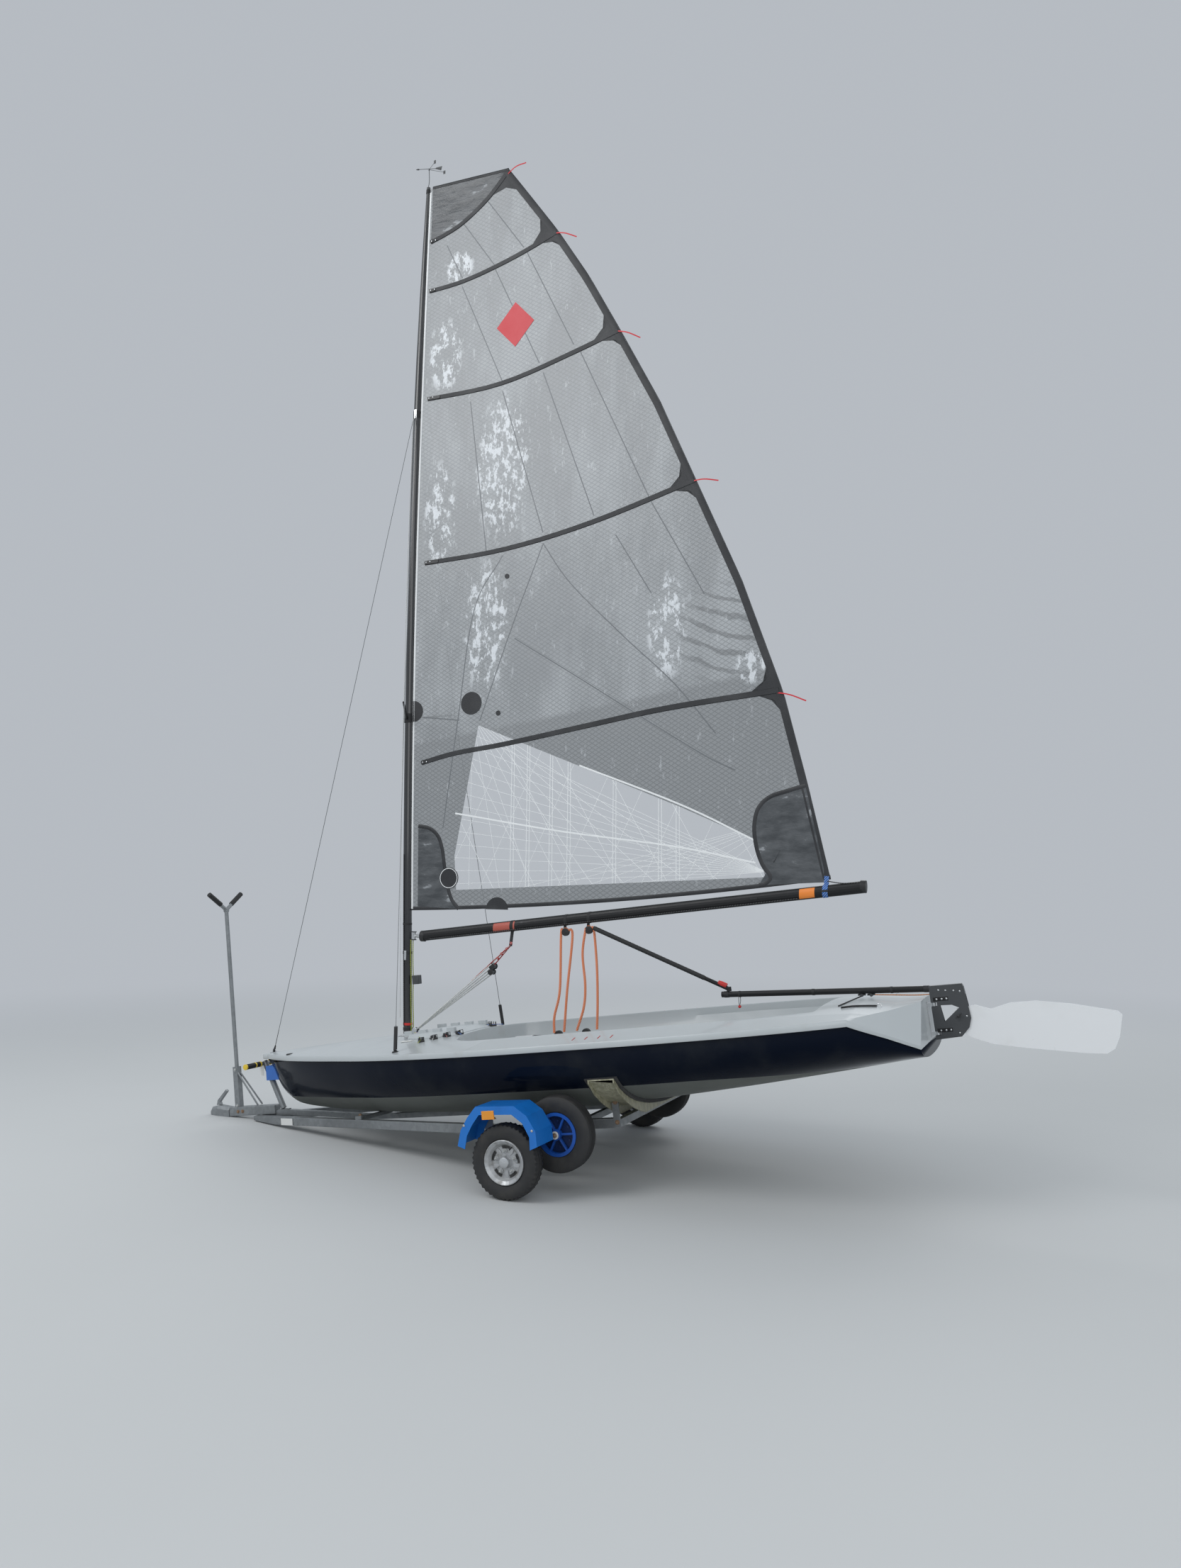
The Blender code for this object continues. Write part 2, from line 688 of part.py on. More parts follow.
def make_centreboard(level):
    back = CASE_FRONT + CASE_LENGTH
    outline = [(CASE_FRONT, floor_at(CASE_FRONT) + SEAT_GAP), (back, floor_at(back) + SEAT_GAP),
               (back, CASE_TOP * 0.86), (back - CASE_WIDTH, CASE_TOP), (CASE_FRONT, CASE_TOP)]
    case = add("centreboard_case", plate_mesh("case", outline, -CASE_WIDTH / 2, CASE_WIDTH / 2),
               "grey_gelcoat", level)
    slot = box_mesh("slot", (CASE_FRONT + SLOT_MARGIN, -SLOT_WIDTH / 2, KEEL_Z),
                    (back - SLOT_MARGIN, SLOT_WIDTH / 2, CASE_TOP + CUT_OVERRUN))
    join_shapes(case, [slot], "DIFFERENCE")
    low = KEEL_Z + HULL_DEPTH * 0.075 + BOARD_INSET
    front = CASE_FRONT + SLOT_MARGIN + SEAT_GAP
    end = back - SLOT_MARGIN - SEAT_GAP
    board_outline = [(front, low), (end, low), (end, CASE_TOP * 0.9), (end - CASE_WIDTH, CASE_TOP),
                     (front + BOARD_HANDLE * 3, CASE_TOP), (front + BOARD_HANDLE * 3, CASE_TOP + BOARD_HANDLE),
                     (front, CASE_TOP + BOARD_HANDLE)]
    add("centreboard", plate_mesh("board", board_outline, -BOARD_THICKNESS / 2, BOARD_THICKNESS / 2),
        "blade_white", level)


def surface(mesh):
    """A mesh's skin, to measure heights on."""
    return BVHTree.FromPolygons([v.co for v in mesh.vertices], [p.vertices for p in mesh.polygons])


def deck_top(deck, x, y):
    """Height of the deck's top at a point of the level frame."""
    hit = deck.ray_cast(Vector((x, y, SHEER_Z + HULL_LENGTH)), Vector((0, 0, -1)))
    return hit[0].z


def make_fairing(level, deck):
    """Raised fairing abaft the mast with its two rows of cam cleats."""
    front = MAST_X + STEP_LENGTH / 2 + RUNNING_GAP * 5
    back = front + FAIRING_LENGTH
    half = FAIRING_WIDTH / 2
    rings = []
    for share, wide, tall in ((0.0, 0.30, 0.10), (0.15, 0.80, 0.8), (0.45, 1.0, 1.0), (0.85, 0.95, 0.9),
                              (1.0, 0.80, 0.15)):
        x = lerp(front, back, share)
        ring = []
        for y_share in (-1.0, -0.9, -0.45, 0.0, 0.45, 0.9, 1.0):
            y = half * wide * y_share
            lift = FAIRING_HEIGHT * tall * (0.15 if abs(y_share) == 1.0 else 1.0)
            ring.append((x, y, deck_top(deck, x, y) + lift))
        for y_share in (1.0, 0.0, -1.0):
            y = half * wide * y_share
            ring.append((x, y, deck_top(deck, x, y) - FAIRING_HEIGHT))
        rings.append(ring)
    fairing = add("cleat_fairing", loft_mesh("fairing", rings), "grey_gelcoat", level)
    seat = loft_mesh("seat", deck_rings())
    seat.transform(Matrix.Translation((0, 0, SEAT_GAP * 2)))
    join_shapes(fairing, [seat], "DIFFERENCE")
    cleats = []
    for side in (-1, 1):
        for k in range(CLEAT_COUNT):
            x = lerp(front + CLEAT_LENGTH, back - CLEAT_LENGTH, k / (CLEAT_COUNT - 1))
            y = side * half * 0.68
            base = deck_top(deck, x, y) + FAIRING_HEIGHT * 0.55
            low = (x - CLEAT_LENGTH / 2, y - CLEAT_WIDTH / 2, base)
            high = (x + CLEAT_LENGTH / 2, y + CLEAT_WIDTH / 2, base + CLEAT_HEIGHT)
            cleats.append(box_mesh("cleat", low, high))
    join_shapes(fairing, cleats)


# Mast, stays and sail

def mast_radius(z):
    return MAST_RADIUS * along_table(MAST_TAPER_SHARES, z / MAST_LENGTH)[1]


def mast_x(z):
    """Where the mast's centre line bows forward of its chord."""
    share = z / MAST_LENGTH
    return -4 * MAST_BEND * share * (1 - share)


def circle(x, z, radius, sides=16):
    return [(x + radius * cos(2 * pi * k / sides), radius * sin(2 * pi * k / sides), z)
            for k in range(sides)]


def make_mast(level, rig, deck):
    base = deck_top(deck, MAST_X, 0.0) + SEAT_GAP
    step = add("mast_step", box_mesh("step", (MAST_X - STEP_LENGTH / 2, -STEP_WIDTH / 2, base),
                                     (MAST_X + STEP_LENGTH / 2, STEP_WIDTH / 2,
                                      MAST_FOOT_Z - SEAT_GAP - MAST_RADIUS * sin(MAST_RAKE))),
               "black_anodised", level)
    round_edges(step, EDGE_ROUND)
    steps = 14
    rings = [circle(mast_x(z), z, mast_radius(z)) for z in
             (MAST_LENGTH * k / steps for k in range(steps + 1))]
    mast = add("mast", loft_mesh("mast", rings), "carbon_black", rig)
    lugs = []
    middle = lerp(BOOM_START_Z, BOOM_END_Z, 0.0)
    for side in (-1, 1):
        z = middle + side * (GOOSENECK_HEIGHT / 2 + GOOSENECK_LUG / 2 + SEAT_GAP)
        lugs.append(box_mesh("lug", (mast_x(z), -GOOSENECK_RADIUS, z - GOOSENECK_LUG / 2),
                             (LUFF_AXIS_X + GOOSENECK_RADIUS, GOOSENECK_RADIUS, z + GOOSENECK_LUG / 2)))
    join_shapes(mast, lugs)
    smooth(mast)

    z = SPREADER_Z
    inner = mast_radius(z - SPREADER_BAND) + SEAT_GAP * 3
    band = add("spreaders", rod_mesh("band", (mast_x(z), 0, z - SPREADER_BAND / 2),
                                     (mast_x(z), 0, z + SPREADER_BAND / 2), inner + SPREADER_BAND_WALL),
               "black_anodised", rig)
    arms = [rod_mesh("arm", (mast_x(z), side * inner, z),
                     (SPREADER_TIP_X, side * SPREADER_TIP_Y, z + SPREADER_RISE),
                     SPREADER_RADIUS * 1.2, SPREADER_RADIUS * 0.7, 10) for side in (-1, 1)]
    join_shapes(band, arms)
    luff_room = box_mesh("room", (mast_x(z), -inner / 2, z - SPREADER_BAND),
                         (mast_x(z) + inner * 2, inner / 2, z + SPREADER_BAND))
    join_shapes(band, [rod_mesh("bore", (mast_x(z), 0, z - SPREADER_BAND),
                                (mast_x(z), 0, z + SPREADER_BAND), inner), luff_room], "DIFFERENCE")


def rig_to_level(point):
    """A point of the rig frame in the level frame."""
    x, y, z = point
    return Vector((MAST_X + x * cos(MAST_RAKE) + z * sin(MAST_RAKE), y,
                   MAST_FOOT_Z - x * sin(MAST_RAKE) + z * cos(MAST_RAKE)))


def wire_mesh(name, points, radii, sides=6):
    """A wire through points, of its own radius at each, capped at both ends."""
    rings = []
    for k, point in enumerate(points):
        before = Vector(points[max(k - 1, 0)])
        after = Vector(points[min(k + 1, len(points) - 1)])
        turn = Vector((0, 0, 1)).rotation_difference((after - before).normalized())
        ring = []
        for j in range(sides):
            angle = 2 * pi * j / sides
            ring.append(Vector(point) + turn @ Vector((radii[k] * cos(angle), radii[k] * sin(angle), 0)))
        rings.append(ring)
    return loft_mesh(name, rings)


def make_stays(level, deck):
    """Forestay and shrouds, with their covers, from the hounds to the deck."""
    hounds_r = mast_radius(HOUNDS_Z)
    for side, name in ((-1, "shroud_port"), (1, "shroud_starboard")):
        top = rig_to_level((mast_x(HOUNDS_Z), side * (hounds_r + STAY_RADIUS + SEAT_GAP), HOUNDS_Z))
        reach = SPREADER_TIP_Y + STAY_RADIUS + SEAT_GAP
        tip = rig_to_level((SPREADER_TIP_X + SPREADER_RADIUS, side * reach, SPREADER_Z + SPREADER_RISE))
        foot = Vector((CHAINPLATE_X, side * CHAINPLATE_Y,
                       deck_top(deck, CHAINPLATE_X, side * CHAINPLATE_Y) + CHAINPLATE_RADIUS * 0.3))
        up = (tip - foot).normalized()
        cover_low = foot + up * SHROUD_COVER_RADIUS * 0.8
        cover_high = cover_low + up * SHROUD_COVER_LENGTH
        shoulder = up * SHROUD_COVER_RADIUS * 0.4
        points = [top, tip, cover_high + shoulder, cover_high, cover_low, cover_low - shoulder, foot]
        radii = [STAY_RADIUS, STAY_RADIUS, STAY_RADIUS, SHROUD_COVER_RADIUS, SHROUD_COVER_RADIUS,
                 CHAINPLATE_RADIUS * 0.6, CHAINPLATE_RADIUS * 0.6]
        smooth(add(name, wire_mesh(name, points, radii, 8), "black_anodised", level))
    top = rig_to_level((mast_x(HOUNDS_Z) - hounds_r - STAY_RADIUS - SEAT_GAP, 0.0, HOUNDS_Z))
    foot = Vector((BOW_FITTING_X, 0.0, deck_top(deck, BOW_FITTING_X, 0.0) + BOW_FITTING_RADIUS * 0.5))
    up = (top - foot).normalized()
    points = [top, foot + up * BOW_FITTING_RADIUS * 6, foot + up * BOW_FITTING_RADIUS * 5, foot]
    radii = [STAY_RADIUS, STAY_RADIUS, BOW_FITTING_RADIUS * 0.6, BOW_FITTING_RADIUS]
    smooth(add("forestay", wire_mesh("forestay", points, radii, 8), "stainless", level))


def boom_axis(x):
    """Height of the boom's centre line."""
    return lerp(BOOM_START_Z, BOOM_END_Z, (x - BOOM_START_X) / BOOM_LENGTH)


def make_boom(rig):
    end = BOOM_START_X + BOOM_LENGTH
    rings = []
    for x, share in ((BOOM_START_X, 0.90), (BOOM_START_X + BOOM_CAP, 1.0), (end - BOOM_CAP, 1.0), (end, 0.90)):
        ring = []
        for k in range(16):
            angle = 2 * pi * k / 16
            ring.append((x, BOOM_RADIUS * BOOM_WIDTH_SHARE * share * cos(angle),
                         boom_axis(x) + BOOM_RADIUS * share * sin(angle)))
        rings.append(ring)
    boom = add("boom", loft_mesh("boom", rings), "carbon_black", rig)
    smooth(boom)
    z = BOOM_START_Z
    goose = add("gooseneck", rod_mesh("goose", (LUFF_AXIS_X, 0, z - GOOSENECK_HEIGHT / 2),
                                      (LUFF_AXIS_X, 0, z + GOOSENECK_HEIGHT / 2), GOOSENECK_RADIUS),
                "stainless", rig)
    join_shapes(goose, [rod_mesh("plug", (LUFF_AXIS_X + GOOSENECK_RADIUS * 0.5, 0, z),
                                 (BOOM_START_X - SEAT_GAP, 0, z), GOOSENECK_RADIUS * 0.8,
                                 GOOSENECK_PLUG_RADIUS)])
    return [boom, goose]


def sail_point(row, share):
    """A point of the sail: row runs up its drawn lines, share from luff to leech."""
    luff_z, leech_x, leech_z = row
    luff_x = mast_x(luff_z) + mast_radius(luff_z) + LUFF_GAP
    x = lerp(luff_x, leech_x, share)
    z = lerp(luff_z, leech_z, share)
    low = SAIL_LINES[0]
    height_share = (luff_z - low[0]) / (SAIL_LINES[-1][0] - low[0])
    if row == low:
        z -= FOOT_ROUND * 4 * share * (1 - share)
    belly = SAIL_CAMBER * sin(pi * share ** 0.8) * sin(pi * (0.12 + 0.88 * height_share)) ** 0.5
    return (x, belly, z)


def make_sail(rig):
    def build(work):
        grid = [[work.verts.new(sail_point(row, k / SAIL_COLUMNS)) for k in range(SAIL_COLUMNS + 1)]
                for row in SAIL_LINES]
        for low, high in zip(grid, grid[1:]):
            for k in range(SAIL_COLUMNS):
                work.faces.new((low[k], low[k + 1], high[k + 1], high[k]))
    sail = add("sail", mesh_from("sail", build), "sail_film", rig)
    solid = sail.modifiers.new("cloth", "SOLIDIFY")
    solid.thickness = SAIL_THICKNESS
    solid.offset = 0.0
    as_mesh(sail)
    smooth(sail)
    return sail


# Rudder and tiller

def scaled(shares, length, height, x=0.0, z=0.0):
    """An outline given in shares, at its real size."""
    return [(x + length * a, z + height * b) for a, b in shares]


def make_rudder(level):
    transom_x = STEM_X + HULL_LENGTH
    strip_low = transom_x + SEAT_GAP
    strip = add("transom_gudgeons", box_mesh("strip", (strip_low, -GUDGEON_STRIP_WIDTH / 2,
                                                       GUDGEON_LOW_Z - GUDGEON_HEIGHT),
                                             (strip_low + GUDGEON_STRIP_THICKNESS, GUDGEON_STRIP_WIDTH / 2,
                                              GUDGEON_HIGH_Z + GUDGEON_HEIGHT)), "stainless", level)
    eyes = []
    for z in (GUDGEON_LOW_Z, GUDGEON_HIGH_Z):
        eyes.append(box_mesh("arm", (strip_low, -GUDGEON_RADIUS * 0.7, z - GUDGEON_HEIGHT / 2),
                             (PINTLE_X, GUDGEON_RADIUS * 0.7, z + GUDGEON_HEIGHT / 2)))
        eyes.append(rod_mesh("eye", (PINTLE_X, 0, z - GUDGEON_HEIGHT / 2),
                             (PINTLE_X, 0, z + GUDGEON_HEIGHT / 2), GUDGEON_RADIUS))
    join_shapes(strip, eyes)
    join_shapes(strip, [rod_mesh("bore", (PINTLE_X, 0, GUDGEON_LOW_Z - CUT_OVERRUN),
                                 (PINTLE_X, 0, GUDGEON_HIGH_Z + CUT_OVERRUN),
                                 PINTLE_RADIUS + SEAT_GAP * 2)], "DIFFERENCE")

    head = add("rudder_head", plate_mesh("head", scaled(HEAD_OUTLINE_SHARES, HEAD_LENGTH, HEAD_HEIGHT,
                                                        PINTLE_X, HEAD_BASE_Z),
                                         -HEAD_WIDTH / 2, HEAD_WIDTH / 2), "black_anodised", level)
    window = plate_mesh("window", scaled(HEAD_WINDOW_SHARES, HEAD_LENGTH, HEAD_HEIGHT, PINTLE_X,
                                         HEAD_BASE_Z), -HEAD_WIDTH, HEAD_WIDTH)
    gap = HEAD_WIDTH / 2 - HEAD_PLATE
    blade_room = box_mesh("room", (PINTLE_X + HEAD_SPINE_BACK, -gap,
                                   HEAD_BASE_Z - CUT_OVERRUN),
                          (PINTLE_X + HEAD_LENGTH + CUT_OVERRUN, gap, HEAD_BASE_Z + HEAD_HEIGHT * 0.80))
    pockets = []
    for z in (GUDGEON_LOW_Z, GUDGEON_HIGH_Z):
        reach = GUDGEON_RADIUS + RUNNING_GAP
        pockets.append(box_mesh("pocket", (PINTLE_X - HEAD_LENGTH, -HEAD_WIDTH, z - GUDGEON_HEIGHT / 2
                                           - RUNNING_GAP / 4),
                                (PINTLE_X + reach, HEAD_WIDTH, z + GUDGEON_HEIGHT / 2 + RUNNING_GAP / 4)))
    tiller_line = (Vector((TILLER_FRONT_X, 0, TILLER_FRONT_Z)), Vector((TILLER_BACK_X, 0, TILLER_BACK_Z)))
    join_shapes(head, [window, blade_room] + pockets, "DIFFERENCE")
    join_shapes(head, [rod_mesh("pintle", (PINTLE_X, 0, HEAD_BASE_Z + PINTLE_RADIUS),
                                (PINTLE_X, 0, HEAD_BASE_Z + HEAD_HEIGHT * 0.8), PINTLE_RADIUS, None, 12)])
    bolt = (PINTLE_X + BLADE_PIVOT_X, HEAD_BASE_Z + BLADE_PIVOT_Z)
    heel = tiller_line[1] + (tiller_line[1] - tiller_line[0]).normalized() * SEAT_GAP * 2
    join_shapes(head, [rod_mesh("socket", tiller_line[0].lerp(tiller_line[1], 0.8), heel,
                                TILLER_RADIUS + SEAT_GAP)], "DIFFERENCE")
    join_shapes(head, [rod_mesh("bolt", (bolt[0], -HEAD_WIDTH * 0.7, bolt[1]),
                                (bolt[0], HEAD_WIDTH * 0.7, bolt[1]), BLADE_BOLT_RADIUS, None, 12)])

    tiller = add("tiller", rod_mesh("tiller", tiller_line[0], tiller_line[1], TILLER_RADIUS),
                 "carbon_black", level)
    smooth(tiller)

    outline = []
    for along, across in BLADE_OUTLINE_SHARES:
        a, b = BLADE_LENGTH * along, BLADE_WIDTH * across
        outline.append((bolt[0] + a * cos(BLADE_DROOP) + b * sin(BLADE_DROOP),
                        bolt[1] - a * sin(BLADE_DROOP) + b * cos(BLADE_DROOP)))
    blade = add("rudder_blade", plate_mesh("blade", outline, -BLADE_THICKNESS / 2, BLADE_THICKNESS / 2),
                "blade_white", level)
    join_shapes(blade, [rod_mesh("hole", (bolt[0], -HEAD_WIDTH, bolt[1]), (bolt[0], HEAD_WIDTH, bolt[1]),
                                 BLADE_BOLT_RADIUS + SEAT_GAP * 2, None, 16)], "DIFFERENCE")

    share = (EXTENSION_JOINT_X - TILLER_FRONT_X) / (TILLER_BACK_X - TILLER_FRONT_X)
    slope = (TILLER_FRONT_Z - TILLER_BACK_Z) / (TILLER_BACK_X - TILLER_FRONT_X)
    rise = (TILLER_RADIUS + SEAT_GAP) * hypot(1, slope) + EXTENSION_CUP_RADIUS * slope
    seat = tiller_line[0].lerp(tiller_line[1], share) + Vector((0, 0, rise))
    joint = seat + Vector((0, 0, EXTENSION_JOINT_HEIGHT))
    tip = joint + EXTENSION_LENGTH * Vector((-cos(EXTENSION_RISE) * cos(EXTENSION_YAW),
                                             -cos(EXTENSION_RISE) * sin(EXTENSION_YAW),
                                             sin(EXTENSION_RISE)))
    extension = add("tiller_extension", rod_mesh("extension", joint, tip, EXTENSION_RADIUS, None, 12),
                    "carbon_black", level)
    join_shapes(extension, [rod_mesh("cup", seat, joint + Vector((0, 0, EXTENSION_JOINT_HEIGHT)),
                                     EXTENSION_CUP_RADIUS)])
    smooth(extension)
    hang_on_axis("rudder_axis", (PINTLE_X, 0, GUDGEON_HIGH_Z), [head, tiller])
    hang_on_axis("blade_axis", (bolt[0], 0, bolt[1]), [blade])
    hang_on_axis("extension_axis", tuple(joint), [extension])


# Wheels

def tyre_profile(radius, seat, rim, width):
    """A tyre's closed section: beads between the rim's flanges, round shoulders, a crowned tread."""
    half = width / 2
    wall = radius - seat
    shoulder = [
        (seat + SEAT_GAP, 0.58), (rim + SEAT_GAP * 4, 0.60), (seat + wall * 0.32, 0.92),
        (seat + wall * 0.52, 1.0), (seat + wall * 0.80, 0.88), (radius - wall * 0.04, 0.60),
    ]
    inner = [(r, -half * share) for r, share in shoulder]
    return inner + [(radius, 0.0)] + [(r, half * share) for r, share in reversed(shoulder)]


def make_road_wheel(side, name, level):
    y = side * ROAD_TRACK / 2
    half = ROAD_TYRE_WIDTH / 2
    seat = ROAD_RIM_RADIUS * 0.90
    turned(f"road_tyre_{name}", tyre_profile(ROAD_TYRE_RADIUS, seat, ROAD_RIM_RADIUS, ROAD_TYRE_WIDTH),
           "tyre_rubber", level, (0, y, 0))
    sheet = ROAD_RIM_SHEET
    hub = ROAD_HUB_RADIUS
    profile = [
        (ROAD_BORE_RADIUS, -side * half * 0.95), (hub, -side * half * 0.95), (hub, side * half * 0.10),
        (seat * 0.80, side * half * 0.10), (seat - sheet, side * half * 0.25),
        (seat - sheet, -side * half * 0.72), (ROAD_RIM_RADIUS, -side * half * 0.72),
        (ROAD_RIM_RADIUS, -side * half * 0.64), (seat, -side * half * 0.62), (seat, side * half * 0.62),
        (ROAD_RIM_RADIUS, side * half * 0.64), (ROAD_RIM_RADIUS, side * half * 0.88),
        (ROAD_RIM_RADIUS - sheet, side * half * 0.92), (seat - sheet * 2, side * half * 0.70),
        (seat * 0.78, side * half * 0.30),
        (hub, side * half * 0.30), (hub * 0.7, side * half * 0.62), (ROAD_BORE_RADIUS, side * half * 0.62),
    ]
    turned(f"road_rim_{name}", profile, "rim_silver", level, (0, y, 0))


def make_trolley_wheel(side, name, level):
    y = side * TROLLEY_TRACK / 2
    half = TROLLEY_TYRE_WIDTH / 2
    seat = TROLLEY_RIM_RADIUS * 0.92
    place = (TROLLEY_AXLE_X, y, TROLLEY_AXLE_Z)
    turned(f"trolley_tyre_{name}",
           tyre_profile(TROLLEY_TYRE_RADIUS, seat, TROLLEY_RIM_RADIUS, TROLLEY_TYRE_WIDTH),
           "tyre_rubber", level, place)
    hub = TROLLEY_HUB_RADIUS
    profile = [
        (TROLLEY_BORE_RADIUS, -half * 0.98), (hub, -half * 0.98), (hub, -half * 0.12),
        (seat * 0.90, -half * 0.12), (seat * 0.92, -half * 0.76), (TROLLEY_RIM_RADIUS, -half * 0.76),
        (TROLLEY_RIM_RADIUS, -half * 0.64), (seat, -half * 0.62), (seat, half * 0.62),
        (TROLLEY_RIM_RADIUS, half * 0.64), (TROLLEY_RIM_RADIUS, half * 0.76), (seat * 0.92, half * 0.76),
        (seat * 0.90, half * 0.12), (hub, half * 0.12),
        (hub, half * 0.98), (TROLLEY_BORE_RADIUS, half * 0.98),
    ]
    wheel = turned(f"trolley_hub_{name}", profile, "hub_blue", level, place)
    vanes = []
    for k in range(VANE_COUNT):
        angle = 2 * pi * k / VANE_COUNT
        mesh = box_mesh("vane", (hub * 0.9, -half * 0.60, -VANE_THICKNESS / 2),
                        (seat * 0.93, half * 0.60, VANE_THICKNESS / 2))
        mesh.transform(Matrix.Rotation(angle, 4, "Y"))
        vanes.append(mesh)
    join_shapes(wheel, vanes)
    smooth(wheel)


# Road base

def rail_y(x, offset):
    """Centre line of a road base rail in plan, moved sideways by an offset."""
    share = (x - RAIL_FRONT_X) / (BEAM_X + BEAM_SIZE / 2 - RAIL_FRONT_X)
    return lerp(RAIL_FRONT_Y, RAIL_BACK_Y, share) + offset


def make_road_base(level):
    back = BEAM_X + BEAM_SIZE / 2
    for side, name in ((-1, "port"), (1, "starboard")):
        rings = []
        for x, low, high in ((RAIL_FRONT_X, RAIL_FRONT_TOP_Z - RAIL_FRONT_DEPTH, RAIL_FRONT_TOP_Z),
                             (RAIL_TAPER_X, RAIL_FRONT_TOP_Z - RAIL_DEPTH, RAIL_FRONT_TOP_Z),
                             (back, SPINE_LOW_Z, SPINE_LOW_Z + RAIL_DEPTH)):
            near, far = side * rail_y(x, -RAIL_WIDTH / 2), side * rail_y(x, RAIL_WIDTH / 2)
            rings.append([(x, near, low), (x, far, low), (x, far, high), (x, near, high)])
        rail = add(f"base_rail_{name}", loft_mesh("rail", rings), "galvanised", level)
        round_edges(rail, EDGE_ROUND)

    beam = add("base_beam", box_mesh("beam", (BEAM_X - BEAM_SIZE / 2, -BEAM_HALF, BEAM_Z - BEAM_SIZE / 2),
                                     (BEAM_X + BEAM_SIZE / 2, BEAM_HALF, BEAM_Z + BEAM_SIZE / 2)),
               "galvanised", level)
    saddles = []
    top = TROLLEY_AXLE_Z - TROLLEY_AXLE_SIZE / 2 - SEAT_GAP
    for side in (-1, 1):
        saddles.append(box_mesh("saddle", (BEAM_X, side * SADDLE_Y - SADDLE_WIDTH / 2, top - SADDLE_THICKNESS),
                                (TROLLEY_AXLE_X + TROLLEY_AXLE_SIZE, side * SADDLE_Y + SADDLE_WIDTH / 2, top)))
    join_shapes(beam, saddles)

    for side, name in ((-1, "port"), (1, "starboard")):
        inner = BEAM_HALF + SEAT_GAP
        outer = inner + ARM_THICKNESS
        arm = add(f"swing_arm_{name}", rod_mesh("pivot", (BEAM_X, side * inner, BEAM_Z),
                                                (BEAM_X, side * outer, BEAM_Z), ARM_PIVOT_RADIUS, None, 24),
                  "galvanised", level)
        lean = atan2(BEAM_Z, -BEAM_X)
        across = (sin(lean), cos(lean))
        web = [(BEAM_X - across[0] * ARM_PIVOT_RADIUS, BEAM_Z - across[1] * ARM_PIVOT_RADIUS),
               (-across[0] * ARM_END_RADIUS, -across[1] * ARM_END_RADIUS),
               (across[0] * ARM_END_RADIUS, across[1] * ARM_END_RADIUS),
               (BEAM_X + across[0] * ARM_PIVOT_RADIUS, BEAM_Z + across[1] * ARM_PIVOT_RADIUS)]
        low, high = sorted((side * inner, side * outer))
        wheel_inner = ROAD_TRACK / 2 - ROAD_TYRE_WIDTH / 2 * 0.95 - RUNNING_GAP / 3
        shapes = [plate_mesh("web", web, low, high),
                  rod_mesh("end", (0, side * inner, 0), (0, side * outer, 0), ARM_END_RADIUS, None, 24),
                  rod_mesh("collar", (0, side * inner, 0), (0, side * wheel_inner, 0), ARM_END_RADIUS * 0.7),
                  rod_mesh("stub", (0, side * inner, 0), (0, side * (ROAD_TRACK / 2 + ROAD_TYRE_WIDTH * 0.38), 0),
                           ROAD_STUB_RADIUS)]
        bracket_low, bracket_high = sorted((side * (outer - ARM_THICKNESS / 2),
                                            side * (GUARD_BRACKET_Y + GUARD_BRACKET_THICKNESS)))
        plate_low, plate_high = sorted((side * GUARD_BRACKET_Y,
                                        side * (GUARD_BRACKET_Y + GUARD_BRACKET_THICKNESS)))
        half = GUARD_BRACKET_WIDTH / 2
        shapes.append(box_mesh("foot", (BEAM_X - half, bracket_low, BEAM_Z - BEAM_SIZE / 2),
                               (BEAM_X + half, bracket_high, BEAM_Z + BEAM_SIZE / 2)))
        shapes.append(box_mesh("plate", (BEAM_X - half, plate_low, BEAM_Z - BEAM_SIZE / 2),
                               (BEAM_X + half, plate_high, GUARD_BRACKET_TOP)))
        join_shapes(arm, shapes)
        make_mudguard(side, name, level)


def make_mudguard(side, name, level):
    """Faceted mudguard: a bent top strip with an outer skirt turned down over the tyre."""
    inner = GUARD_BRACKET_Y + GUARD_BRACKET_THICKNESS + GUARD_SHEET / 2 + SEAT_GAP
    outer = inner + GUARD_WIDTH

    def build(work):
        rows = []
        for a, b in GUARD_PROFILE_SHARES:
            x, z = GUARD_RADIUS * a, GUARD_RADIUS * b
            shrink = 1 - GUARD_SKIRT / hypot(x, z)
            rows.append([work.verts.new(point) for point in (
                (x * shrink, side * inner, z * shrink), (x, side * inner, z), (x, side * outer, z),
                (x * shrink, side * outer, z * shrink))])
        for near, far in zip(rows, rows[1:]):
            for k in range(3):
                work.faces.new((near[k], near[k + 1], far[k + 1], far[k]))
    guard = add(f"mudguard_{name}", mesh_from("guard", build), "guard_blue", level)
    sheet = guard.modifiers.new("sheet", "SOLIDIFY")
    sheet.thickness = GUARD_SHEET
    sheet.offset = 0.0
    as_mesh(guard)


